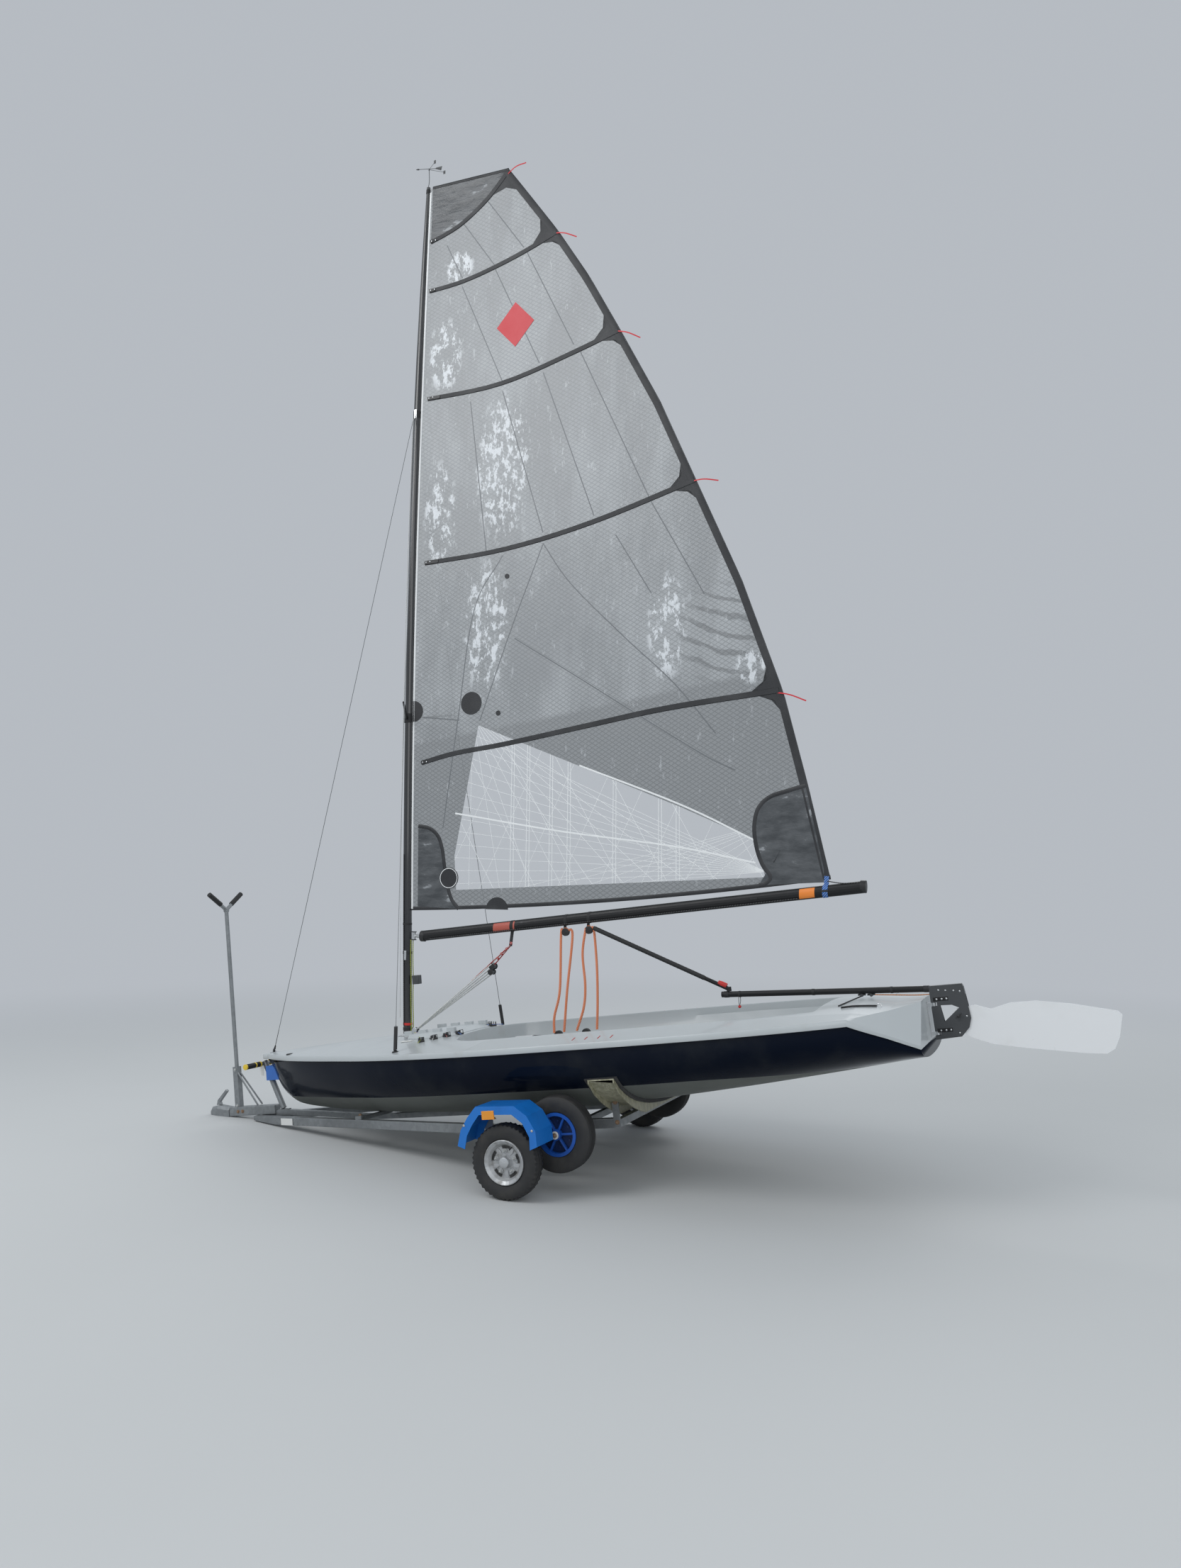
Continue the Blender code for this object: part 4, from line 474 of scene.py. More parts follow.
def topsides():
    """Dark gelcoat above the painted line and painted shade below it: the pale bottom is given the dull
    olive grey that it shows in shade, with hazy patches of dust over both.
    """
    colors = bpy.context.scene.dinghy_hull
    dark = colors.topside_color[:]
    grey = colors.shaded_bottom_color[:]
    made = Finish("hull_gelcoat", dark, 0.12, fixed={"Coat Roughness": 0.04, "Specular IOR Level": 0.04})
    x, blank, z = made.axes(LEVEL)
    line = 0.27 + 0.04 * ((x + 2.32) / 2.4).span(0.0, 1.0) - 0.03 * (x - 0.9).span(0.0, 1.1)
    below = (line - z).span(-0.0015, 0.0015)
    haze = made.noise(3.0, 5.0)
    # painted shade: the grey below the line is the shaded look of the pale bottom, with hazy patches
    bottom = made.mix(haze.span(0.4, 0.75) * 0.5, grey, shaded(grey, 0.72))
    upper = made.mix(haze.span(0.45, 0.8) * 0.25, dark, shaded(grey, 0.35))
    made.paint(made.mix(below, upper, bottom))
    made.polish(0.09 + below * 0.3 + haze * 0.08)
    high = (z - line - (x - 0.3).span(0.0, 1.9) * 0.16).span(0.02, 0.16)
    made.put(made.shader.inputs["Coat Weight"], 0.02 + high * 0.12)
    made.relief(made.noise(1.3, 2.0), 0.004, 0.1)
    return made


def deck_gelcoat():
    """Pale deck moulding with fine non-slip grain on its flats and soft patches of dirt."""
    color = bpy.context.scene.dinghy_hull.deck_color[:]
    made = Finish("deck_gelcoat", color, 0.32, fixed={"Coat Weight": 0.25, "Coat Roughness": 0.08})
    made.paint(soiled(made, soiled(made, color, shaded(color, 0.8), 1.4), (0.33, 0.31, 0.27),
                      6.0, 0.6, 0.8, 0.28))
    x, y, z = made.axes(LEVEL)
    flats = (z - 0.548).span(0.0, 0.004) * (abs(y) - 0.5).span(0.0, 0.01) * (x + 0.3).span(0, 0.01)
    grain = made.cells(420.0)
    made.polish(0.26 + flats * 0.22 + made.noise(14.0) * 0.1)
    made.relief(grain * flats + made.noise(30.0) * 0.05, 0.0006, 0.5)
    return made


# where highlights are painted on the film: centre x, z and half spans, rig frame
HIGHLIGHT_SPOTS = ((0.152, 4.5, 0.15, 0.3), (0.24, 5.1, 0.14, 0.14), (0.6, 3.68, 0.24, 0.58),
           (0.14, 3.4, 0.14, 0.42), (0.5, 2.62, 0.2, 0.52), (1.75, 2.52, 0.15, 0.38),
           (2.28, 2.24, 0.12, 0.12))
# where shade is painted in the film's folds: centre x, z and half spans, rig frame
SHADED_FOLDS = (2.12, 2.45, 0.36, 0.34)


def bulge(x, z, spot):
    """1 at the middle of an oval spot, falling to 0 at its rim."""
    return 1 - ((x - spot[0]) / spot[2]) * ((x - spot[0]) / spot[2]) \
        - ((z - spot[1]) / spot[3]) * ((z - spot[1]) / spot[3])


def film():
    """Clear laminated cloth with a diamond scrim and a clear window; its colour carries painted light: a
    painted sheen, painted highlights on the creases along the luff, painted shade in folds near the leech,
    and lower cloth painted darker for dark surroundings seen through it.
    """
    sizes = bpy.context.scene.dinghy_rig
    color = sizes.film_color[:]
    made = Finish("sail_film", color, 0.3, fixed={"Coat Weight": 0.0, "IOR": 1.5})
    x, blank, z = made.axes(RIG)
    window = None
    for (ax, az), (bx, bz) in zip(WINDOW, WINDOW[1:] + WINDOW[:1]):
        length = hypot(bx - ax, bz - az)
        inward = ((az - bz) * x + (bx - ax) * z + ((bz - az) * ax - (bx - ax) * az)) / length
        window = inward if window is None else window.least(inward)
    clear = window.span(-0.001, 0.001)
    pitch = sizes.scrim_pitch
    one = abs(((x * 0.62 + z) / pitch).part() - 0.5)
    two = abs(((x * 0.62 - z) / pitch).part() - 0.5)
    scrim = (0.13 - one.least(two)).span(0.0, 0.05)
    crease = made.noise(2.4, 6.0, 0.62, (1.0, 1.0, 0.35))
    # painted sheen: lighter and darker copies of the film's colour follow the crease noise
    sheen = crease.span(0.4, 0.66)
    plain = made.mix(sheen, shaded(color, 0.84), shaded(color, 1.16))
    # painted highlights: bright flecks in oval spots along the luff, and stray glints over the whole cloth
    highlight_area = None
    for spot in HIGHLIGHT_SPOTS:
        near = bulge(x, z, spot)
        highlight_area = near if highlight_area is None else highlight_area.most(near)
    crackle = made.noise(24.0, 7.0, 0.72, (1.0, 1.0, 0.55))
    painted_glints = highlight_area.span(0.0, 0.7) * (crackle - 0.06 * (1 - highlight_area.span(0.0, 0.8))).span(0.49, 0.56)
    stray_glints = made.noise(20.0, 6.0, 0.7, (1.5, 1.0, 0.6)).span(0.6, 0.68) * 0.3
    bright = painted_glints.most(stray_glints)
    # painted shade: dark stripes in the folds near the leech
    fold_shade_area = bulge(x, z, SHADED_FOLDS).span(0.0, 0.7)
    ripple = ((z * 1.0 + x * 0.3 + made.noise(3.0, 3.0) * 0.16) * 62.0).wave()
    dark = fold_shade_area * ripple.span(0.45, 0.85)
    # painted shade: the film below a line near the lowest batten is darker, standing in for dark
    # surroundings seen through it
    lower_darkened = made.mix((1.9 + x * 0.14 - z).span(0.0, 0.05), plain, shaded(color, 0.72))
    woven = made.mix(scrim * 0.42, lower_darkened, shaded(color, 0.42))
    with_fold_shade = made.mix(dark * 0.62, woven, shaded(color, 0.36))
    # the painted highlight mixed over the cloth's colour
    lit = made.mix(bright * 0.85, with_fold_shade, (0.8, 0.83, 0.86))
    made.paint(made.mix(clear, lit, shaded(color, 1.5)))
    made.polish(0.22 + crease * 0.22)
    alpha = 0.86 + scrim * 0.1
    made.put(made.shader.inputs["Alpha"], alpha * (1 - clear) + clear * 0.13)
    made.relief(crease + crackle * 0.12, 0.02, 0.5)
    return made


def patch_film():
    """Darker film of the head and the corner patches, creased, with painted shade and painted glints along
    the creases.
    """
    made = Finish("patch_film", (0.085, 0.09, 0.097), 0.28)
    crease = made.noise(9.0, 5.0, 0.6, (0.6, 1.0, 1.5))
    glint = crease.span(0.6, 0.66)
    # painted shade and painted glints: the film's colour goes darker, lighter and bright along the crease
    # noise
    made.paint(made.mix(glint * 0.7, made.mix(crease.span(0.3, 0.7), (0.055, 0.06, 0.066),
                                              (0.13, 0.137, 0.145)), (0.42, 0.44, 0.46)))
    made.polish(0.22 + crease * 0.2)
    made.put(made.shader.inputs["Alpha"], 0.9)
    made.relief(crease, 0.012, 0.7)
    return made


def cloth_tape(name, color, roughness=0.55):
    made = Finish(name, color, roughness)
    ribs = made.noise(160.0, 2.0)
    made.paint(made.mix(made.noise(5.0, 4.0).span(0.4, 0.75) * 0.5, color,
                        tuple(c + 0.045 for c in color[:3])))
    made.polish(roughness - 0.1 + ribs * 0.2)
    made.relief(ribs, 0.0006, 0.6)
    return made


def carbon():
    color = bpy.context.scene.dinghy_rig.spar_color[:]
    made = Finish("carbon_tube", color, 0.24, fixed={"Coat Weight": 0.6, "Coat Roughness": 0.08})
    x, y, z = made.axes(RIG)
    weave = ((x * 900.0 + z * 700.0).wave() * (y * 900.0 - z * 700.0).wave()).span(-0.3, 0.3)
    scuffs = made.noise(3.5, 6.0, 0.6, (1.0, 1.0, 0.2)).span(0.55, 0.72)
    made.paint(made.mix(scuffs * 0.5, made.mix(weave, color, shaded(color, 1.7)), (0.12, 0.12, 0.12)))
    made.polish(0.2 + scuffs * 0.25)
    return made


def anodised():
    color = bpy.context.scene.dinghy_rig.spar_color[:]
    made = Finish("black_anodised", color, 0.38, metallic=0.35)
    wear = made.noise(7.0, 6.0, 0.65, (0.25, 1.0, 1.0)).span(0.6, 0.74)
    made.paint(made.mix(wear * 0.55, color, (0.2, 0.2, 0.2)))
    made.polish(0.34 + made.noise(26.0) * 0.16)
    return made


def plastic(name, color, roughness=0.42):
    made = Finish(name, color, roughness)
    made.paint(soiled(made, color, shaded(color, 0.65), 7.0, 0.5, 0.8, 0.5))
    made.polish(roughness - 0.06 + made.noise(40.0) * 0.16)
    made.relief(made.noise(220.0, 2.0), 0.0003, 0.35)
    return made


def steel(name="bright_steel", color=(0.62, 0.63, 0.64), roughness=0.26):
    made = Finish(name, color, roughness, metallic=0.92)
    brushed = made.noise(90.0, 2.0, 0.5, (0.15, 1.0, 1.0))
    made.paint(soiled(made, color, shaded(color, 0.62), 12.0, 0.5, 0.75, 0.45))
    made.polish(roughness - 0.05 + brushed * 0.18)
    return made


def stay_wire():
    """Wire rope with painted shade between its strands; the shrouds' covers near the deck are black."""
    made = Finish("stay_wire", (0.3, 0.31, 0.32), 0.36, metallic=0.85)
    x, y, z = made.axes(LEVEL)
    low = (0.705 - z).span(-0.002, 0.002)
    lay = ((z * 1.0 + x * 0.6 + y * 0.6) * 900.0).wave().span(-0.4, 0.6)
    # painted shade: the wire's colour goes darker between its strands along the lay
    made.paint(made.mix(low, made.mix(lay, (0.16, 0.165, 0.17), (0.38, 0.39, 0.4)), (0.02, 0.02, 0.021)))
    made.put(made.shader.inputs["Metallic"], 0.85 - low * 0.85)
    made.polish(0.34 + low * 0.22)
    return made


def galvanised():
    """Hot dipped zinc: spangles, dull patches, and rust beginning in places."""
    color = bpy.context.scene.dinghy_trailer.zinc_color[:]
    made = Finish("galvanised_steel", color, 0.5, metallic=0.55)
    spangle = made.cells(38.0, 1)
    grey = made.node("ShaderNodeSeparateXYZ", {}, {0: spangle})
    flakes = made.mix(grey * 0.6, color, shaded(color, 0.74))
    dull = made.mix(made.noise(3.0, 5.0).span(0.45, 0.68) * 0.55, flakes, shaded(color, 0.6))
    rust = made.noise(7.0, 7.0, 0.7).span(0.66, 0.76)
    made.paint(made.mix(rust * 0.75, dull, (0.23, 0.11, 0.05)))
    made.polish(0.4 + grey * 0.12 + rust * 0.3)
    made.put(made.shader.inputs["Metallic"], 0.6 - rust * 0.55)
    made.relief(made.noise(60.0, 3.0), 0.0006, 0.35)
    return made


def rubber():
    """Tyre rubber greyed with patches of dust."""
    made = Finish("tyre_rubber", (0.022, 0.022, 0.023), 0.72)
    dust = made.noise(11.0, 6.0, 0.6).span(0.42, 0.78)
    made.paint(made.mix(dust * 0.2, (0.022, 0.022, 0.023), (0.15, 0.14, 0.12)))
    made.polish(0.62 + dust * 0.25)
    made.relief(made.noise(240.0, 3.0), 0.0005, 0.5)
    return made


def rim_paint():
    """Silver paint with grime, and painted shade in the slots between the wheel's five bosses."""
    silver = (0.46, 0.47, 0.48)
    made = Finish("silver_rim", silver, 0.42, metallic=0.45)
    x, y, z = made.axes(LEVEL)
    out = (x * x + z * z) ** 0.5
    around = z.maths("ARCTAN2", z, x) * 5.0
    painted_slot_shade = (around + 0.6).wave().span(-0.35, 0.15)
    ring = (out - 0.0655).span(0.0, 0.003) * (0.0845 - out).span(0.0, 0.003)
    flat = (0.962 - abs(y)).span(0.0, 0.004)
    grime = made.noise(16.0, 6.0).span(0.42, 0.7)
    base = made.mix(grime * 0.7, silver, (0.17, 0.155, 0.13))
    # painted shade: near black in the slots between the bosses, standing in for the shade seen through them
    made.paint(made.mix(ring * painted_slot_shade * flat * 0.92, base, (0.02, 0.019, 0.018)))
    made.polish(0.36 + grime * 0.3)
    return made


def hub_plastic():
    """Blue plastic with painted shade in the hollows between the hub's vanes."""
    color = trailer_color("hub_color")
    made = Finish("blue_hub", color, 0.4)
    # painted shade: near black on the hub's recessed disc between its vanes
    painted_hollow_shade = (0.763 - abs(made.axes(LEVEL)[1])).span(0.0, 0.006)
    made.paint(made.mix(painted_hollow_shade * 0.85, soiled(made, color, shaded(color, 0.65), 7.0), (0.006, 0.01, 0.03)))
    made.polish(0.34 + made.noise(40.0) * 0.16)
    return made


def white_blade():
    made = Finish("white_laminate", (0.8, 0.81, 0.82), 0.28, fixed={"Coat Weight": 0.3})
    made.paint(soiled(made, (0.8, 0.81, 0.82), (0.58, 0.58, 0.55), 3.0, 0.5, 0.8, 0.4))
    made.polish(0.24 + made.noise(20.0) * 0.12)
    return made


def rope(name, color, fleck, lay=1500.0):
    """Braided line: crossing strands in relief with painted shade between them, and a fleck of another
    colour.
    """
    made = Finish(name, color, 0.78)
    x, y, z = made.axes()
    strands = ((x + y + z) * lay).wave() * ((x + y - z) * lay).wave()
    # painted shade: the rope's colour darkens between the crossing strands
    base = made.mix(strands.span(-0.6, 0.9), shaded(color, 0.78), color)
    made.paint(made.mix(((z - x) * lay * 0.31).wave().span(0.75, 0.85), base, fleck))
    made.relief(strands, 0.0006, 0.7)
    return made


def carpet():
    made = Finish("black_carpet", (0.02, 0.02, 0.021), 0.95, fixed={"Sheen Weight": 0.15})
    tuft = made.noise(260.0, 4.0)
    made.paint(made.mix(tuft.span(0.4, 0.7) * 0.6, (0.016, 0.016, 0.017), (0.055, 0.053, 0.048)))
    made.relief(tuft, 0.002, 0.9)
    return made


def resin_shell():
    made = Finish("cradle_laminate", (0.17, 0.165, 0.095), 0.38)
    strands = made.noise(55.0, 5.0, 0.7, (1.0, 1.0, 0.4)).span(0.4, 0.65)
    made.paint(made.mix(strands * 0.8, (0.25, 0.24, 0.16), (0.46, 0.44, 0.32)))
    made.polish(0.3 + strands * 0.25)
    made.relief(strands, 0.0008, 0.6)
    return made


def lens(name, color):
    made = Finish(name, color, 0.12, fixed={"Coat Weight": 0.5})
    x, blank, z = made.axes()
    prisms = (x * 700.0).wave() * (z * 700.0).wave()
    made.paint(made.mix(prisms.span(-0.2, 0.6), shaded(color, 0.75), shaded(color, 1.15)))
    made.relief(prisms, 0.0005, 0.5)
    return made


def plain(name, color, roughness=0.4, metallic=0.0):
    made = Finish(name, color, roughness, metallic)
    made.paint(soiled(made, color, shaded(color, 0.7), 9.0, 0.5, 0.8, 0.35))
    made.polish(roughness - 0.05 + made.noise(45.0) * 0.14)
    return made


def trailer_color(name):
    return getattr(bpy.context.scene.dinghy_trailer, name)[:]


def rig_color(name):
    return getattr(bpy.context.scene.dinghy_rig, name)[:]


FINISH_MAKERS = {
    "topsides": topsides,
    "deck": deck_gelcoat,
    "film": film,
    "tape": lambda: cloth_tape("black_sail_tape", rig_color("tape_color")),
    "patch_film": patch_film,
    "seam": lambda: cloth_tape("sail_seam", (0.16, 0.17, 0.18), 0.4),
    "thread": lambda: cloth_tape("white_cloth", (0.84, 0.85, 0.85), 0.5),
    "red_cloth": lambda: cloth_tape("red_sail_patch", (0.6, 0.018, 0.03), 0.45),
    "carbon": carbon,
    "anodised": anodised,
    "steel": steel,
    "wire": stay_wire,
    "galvanised": galvanised,
    "rubber": rubber,
    "rim": rim_paint,
    "hub": hub_plastic,
    "guard": lambda: plastic("blue_mudguard", trailer_color("guard_color"), 0.3),
    "snubber": lambda: plastic("blue_snubber", (0.045, 0.16, 0.52), 0.5),
    "grip": lambda: plastic("black_grip", (0.018, 0.018, 0.019), 0.62),
    "yellow": lambda: plastic("yellow_band", (0.78, 0.55, 0.05), 0.45),
    "black": lambda: plastic("black_plastic", (0.02, 0.02, 0.021), 0.4),
    "white": lambda: plastic("white_plastic", (0.74, 0.74, 0.72), 0.4),
    "charcoal": lambda: plastic("charcoal_plate", (0.055, 0.058, 0.062), 0.38),
    "red": lambda: plastic("red_plastic", (0.55, 0.03, 0.025), 0.4),
    "orange_patch": lambda: cloth_tape("orange_patch", (0.88, 0.25, 0.03), 0.45),
    "red_patch": lambda: cloth_tape("red_patch", (0.45, 0.1, 0.07), 0.5),
    "amber": lambda: lens("amber_reflector", (0.9, 0.33, 0.02)),
    "blade": white_blade,
    "resin": resin_shell,
    "carpet": carpet,
    "salmon_rope": lambda: rope("mainsheet_rope", rig_color("sheet_color"), (0.85, 0.5, 0.36)),
    "white_rope": lambda: rope("white_line", (0.82, 0.82, 0.78), (0.55, 0.57, 0.6)),
    "lime_rope": lambda: rope("lime_line", (0.52, 0.58, 0.08), (0.12, 0.14, 0.1)),
    "red_rope": lambda: rope("red_line", (0.52, 0.04, 0.04), (0.75, 0.7, 0.66)),
    "blue_rope": lambda: rope("blue_line", (0.03, 0.16, 0.55), (0.45, 0.52, 0.62)),
    "black_rope": lambda: rope("black_line", (0.03, 0.03, 0.032), (0.18, 0.18, 0.18)),
    "orange_rope": lambda: rope("orange_line", (0.7, 0.22, 0.03), (0.2, 0.1, 0.05)),
    "zinc_bolt": lambda: plain("rusty_bolt", (0.3, 0.2, 0.13), 0.6, 0.5),
    "nut": lambda: plain("zinc_nut", (0.52, 0.53, 0.52), 0.38, 0.8),
}


# Properties

def shade_property(name, description, default):
    return FloatVectorProperty(name=name, description=description, default=default, subtype="COLOR",
                               size=3, min=0.0, max=1.0)


def size_property(name, description, default):
    return FloatProperty(name=name, description=description, default=default, min=0.0,
                         unit="LENGTH", precision=4)


class DinghyHullProperties(bpy.types.PropertyGroup):
    topside_color: shade_property("Topsides", "Gelcoat above the painted line", (0.0035, 0.0065, 0.015))
    # painted shade: the pale bottom is given the dull olive grey that it shows in shade
    shaded_bottom_color: shade_property("Bottom", "Gelcoat below the painted line", (0.15, 0.16, 0.148))
    deck_color: shade_property("Deck", "Deck and cockpit moulding", (0.5, 0.53, 0.54))
    line_radius: size_property("Line radius", "Half the thickness of the control lines", 0.0022)


class DinghyRigProperties(bpy.types.PropertyGroup):
    film_color: shade_property("Film", "Laminated sail cloth", (0.34, 0.355, 0.365))
    tape_color: shade_property("Tape", "Leech tape and batten pockets", (0.02, 0.021, 0.024))
    spar_color: shade_property("Spars", "Mast and boom", (0.014, 0.014, 0.015))
    sheet_color: shade_property("Mainsheet", "Rope of the mainsheet", (0.92, 0.25, 0.1))
    scrim_pitch: size_property("Scrim pitch", "Spacing of the cloth's diamond scrim", 0.028)
    tape_width: size_property("Tape width", "Width of the tape along the leech", 0.046)
    pocket_width: size_property("Pocket width", "Width of the batten pockets", 0.034)
    sheet_radius: size_property("Mainsheet radius", "Half the thickness of the mainsheet", 0.0075)


class DinghyTrailerProperties(bpy.types.PropertyGroup):
    zinc_color: shade_property("Zinc", "Galvanised frames", (0.29, 0.305, 0.315))
    guard_color: shade_property("Mudguards", "Moulded mudguards", (0.01, 0.165, 0.56))
    hub_color: shade_property("Hubs", "Hubs of the trolley wheels", (0.01, 0.085, 0.4))
    tread_depth: size_property("Tread depth", "Depth of the tyres' grooves", 0.01)
    tread_count: IntProperty(name="Tread blocks", description="Blocks round each road tyre",
                             default=44, min=12, max=80)


class DinghyStageProperties(bpy.types.PropertyGroup):
    lens: FloatProperty(name="Lens", description="Focal length of the camera", default=25.32,
                        min=5.0, unit="CAMERA")
    floor_color: shade_property("Floor", "Pale floor and backdrop", (0.6, 0.61, 0.61))
    lamp_power: FloatProperty(name="Lamp power", description="Power of the main lamp",
                              default=330.0, min=0.0, unit="POWER")
    sky_strength: FloatProperty(name="Sky strength", description="Strength of the even light",
                                default=0.6, min=0.0)


class DinghyStep(bpy.types.Operator):
    """One group of the dinghy's pieces"""
    bl_idname = "dinghy.step"
    bl_label = "Step"

    def execute(self, context):
        self.make(context)
        return {"FINISHED"}

    def make(self, context):
        raise NotImplementedError(self.bl_idname)


# Finishes of the frame's own nodes, port and starboard alike; all others are galvanised
NODE_FINISHES = (
    ("topsides", "hull"), ("deck", "deck centreboard_case cleat_fairing"),
    ("blade", "centreboard rudder_blade"), ("steel", "mast_step transom_gudgeons gooseneck"),
    ("carbon", "mast"), ("anodised", "spreaders boom tiller tiller_extension"),
    ("wire", "forestay shroud"), ("film", "sail"), ("charcoal", "rudder_head"),
    ("rubber", "road_tyre trolley_tyre"), ("rim", "road_rim"), ("hub", "trolley_hub"),
    ("guard", "mudguard"), ("snubber", "bow_snubber"), ("resin", "cradle_shell"), ("carpet", "cradle_pad"),
)


class DINGHY_OT_finishes(DinghyStep):
    """Gives each node of the frame its own finish"""
    bl_idname = "dinghy.finishes"
    bl_label = "Finishes"

    def make(self, context):
        known = {node: finish for finish, nodes in NODE_FINISHES for node in nodes.split()}
        for name, node in frame["nodes"].items():
            plain_name = name.removesuffix("_port").removesuffix("_starboard")
            node.data.materials.clear()
            node.data.materials.append(finish_named(known.get(plain_name, "galvanised")))
            for face in node.data.polygons:
                face.material_index = 0


# Sail, rig frame: the drawn lines run from luff to leech
# luff z, leech x, leech z
SAIL_LINES = (
    (0.788, 2.727, 1.022), (1.25, 2.605, 1.54), (1.754, 2.47, 2.062), (2.42, 2.225, 2.74),
    (3.085, 1.947, 3.365), (3.64, 1.71, 3.9), (4.19, 1.434, 4.419), (4.58, 1.225, 4.8),
    (4.96, 0.997, 5.159), (5.3, 0.76, 5.49), (5.7, 0.624, 5.677),
)
SAIL_FOOT = SAIL_LINES[0][0]
SAIL_HEAD = SAIL_LINES[-1][0]
SAIL_CAMBER = 0.04
LUFF_GAP = 0.0007
# steps in which on_sail closes in on a height
HALVINGS = 28
FOOT_ROUND = 0.038
# a tape's section: share of half its width, share of its thickness out
STRIP_SECTION = ((1, 0), (0.8, 1), (-0.8, 1), (-1, 0), (-0.8, -1), (0.8, -1))
# clear window, x and z
WINDOW = ((0.465, 1.995), (0.311, 1.142), (0.33, 0.925), (2.357, 1.03), (2.301, 1.253),
          (1.851, 1.431), (1.398, 1.627))


def mast_x(z):
    share = z / MAST_LENGTH
    return -4 * MAST_BEND * share * (1 - share)


def mast_radius(z):
    return along_table(MAST_RADII, z / MAST_LENGTH)[1]


def luff_x(z):
    return mast_x(z) + mast_radius(z) + LUFF_GAP


def belly(share, luff_z):
    """How far the cloth stands off the middle plane."""
    rise = (luff_z - SAIL_FOOT) / (SAIL_HEAD - SAIL_FOOT)
    return SAIL_CAMBER * sin(pi * share ** 0.8) * sin(pi * (0.12 + 0.88 * rise)) ** 0.5


def sail_point(luff_z, share):
    """A point of the cloth by the luff height of its line and its share of the way to the leech."""
    leech_x, leech_z = along_table(SAIL_LINES, luff_z)[1:]
    low_share = max(0.0, 1 - (luff_z - SAIL_FOOT) / (SAIL_HEAD - SAIL_FOOT) / 0.04)
    return Vector((lerp(luff_x(luff_z), leech_x, share), belly(share, luff_z),
                   lerp(luff_z, leech_z, share) - FOOT_ROUND * 4 * share * (1 - share) * low_share))


def line_share(luff_z, x):
    """Where x falls on the sail's line from that luff height: its share of the way, and its height."""
    leech_x, leech_z = along_table(SAIL_LINES, luff_z)[1:]
    start = luff_x(luff_z)
    share = (x - start) / max(leech_x - start, 0.01)
    return share, lerp(luff_z, leech_z, share)


def on_sail(x, z, out=0.0):
    """The point of the cloth at x and z of the rig frame."""
    low, high = SAIL_FOOT, SAIL_HEAD
    for halving in range(HALVINGS):
        middle = (low + high) / 2
        low, high = (middle, high) if line_share(middle, x)[1] < z else (low, middle)
    middle = (low + high) / 2
    return Vector((x, belly(min(1.0, max(0.0, line_share(middle, x)[0])), middle) + out, z))


def leech_point(z):
    return along_table([(row[2], row[1]) for row in SAIL_LINES], z)[1]


def add_strip(drawing, path, width, half, steps=8, taper=None):
    """A tape along a path of (x, z) points, wrapped round both faces of the cloth."""
    points = [(lerp(ax, bx, k / steps), lerp(az, bz, k / steps))
              for (ax, az), (bx, bz) in zip(path, path[1:]) for k in range(steps)] + [path[-1]]
    rings = []
    for k, (x, z) in enumerate(points):
        before, after = points[max(k - 1, 0)], points[min(k + 1, len(points) - 1)]
        run = Vector((after[0] - before[0], after[1] - before[1])).normalized()
        reach = width / 2 * (taper(k / (len(points) - 1)) if taper else 1.0)
        y = on_sail(x, z).y
        rings.append(drawing.ring((x - run.y * reach * across, y + out * half, z + run.x * reach * across)
                                  for across, out in STRIP_SECTION))
    drawing.skin(rings)


def add_patch(drawing, outline, half):
    """A flat patch with that outline of (x, z) points, laid on both faces of the cloth."""
    middle_x, middle_z = (sum(column) / len(outline) for column in zip(*outline))
    drawing.skin([drawing.ring(on_sail(lerp(middle_x, x, share), lerp(middle_z, z, share), out)
                               for x, z in outline)
                  for out, shares in ((half, (0.02, 0.5, 1.0)), (-half, (1.0, 0.5, 0.02)))
                  for share in shares])


def round_outline(x, z, radius, sides=28, start=0.0, end=2 * pi):
    angles = [lerp(start, end, k / sides) for k in range(sides + (1 if end - start < 6 else 0))]
    return [(x + radius * cos(angle), z + radius * sin(angle)) for angle in angles]


def dense(outline, gap=0.06):
    """An outline with more points along its long sides."""
    made = []
    for a, b in zip(outline, outline[1:] + outline[:1]):
        count = max(1, ceil(hypot(b[0] - a[0], b[1] - a[1]) / gap))
        made += [(lerp(a[0], b[0], k / count), lerp(a[1], b[1], k / count)) for k in range(count)]
    return made


def corner_fillet(corner, one, two, radius):
    """The dark cloth that rounds off a panel's corner, between two edges that leave it."""
    half_angle = one.angle(two) / 2
    reach = radius / tan(half_angle)
    centre = corner + (one + two).normalized() * radius / sin(half_angle)
    start, end = corner + one * reach - centre, corner + two * reach - centre
    arc = [centre + start.lerp(end, k / 8).normalized() * radius for k in range(9)]
    return [tuple(point) for point in (corner, *arc)]


class DINGHY_OT_sail(DinghyStep):
    """The cloth of the sail, with its camber and its creases"""
    bl_idname = "dinghy.sail"
    bl_label = "Sail cloth"

    def make(self, context):
        drawing = Shape()
        drawing.skin_open([drawing.ring(sail_point(lerp(SAIL_FOOT, SAIL_HEAD, row / 60), k / 28)
                                        for k in range(29)) for row in range(61)])
        cloth = drawing.piece("sail_cloth", "film", None, RIG, 60)
        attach(cloth, SPARS)
        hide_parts("sail")


# Hull and deck, level frame
HULL_LENGTH = 4.39
HULL_BEAM = 1.62
HULL_DEPTH = 0.398
STEM_X = -2.32
KEEL_Z = 0.1245
SHEER_Z = KEEL_Z + HULL_DEPTH
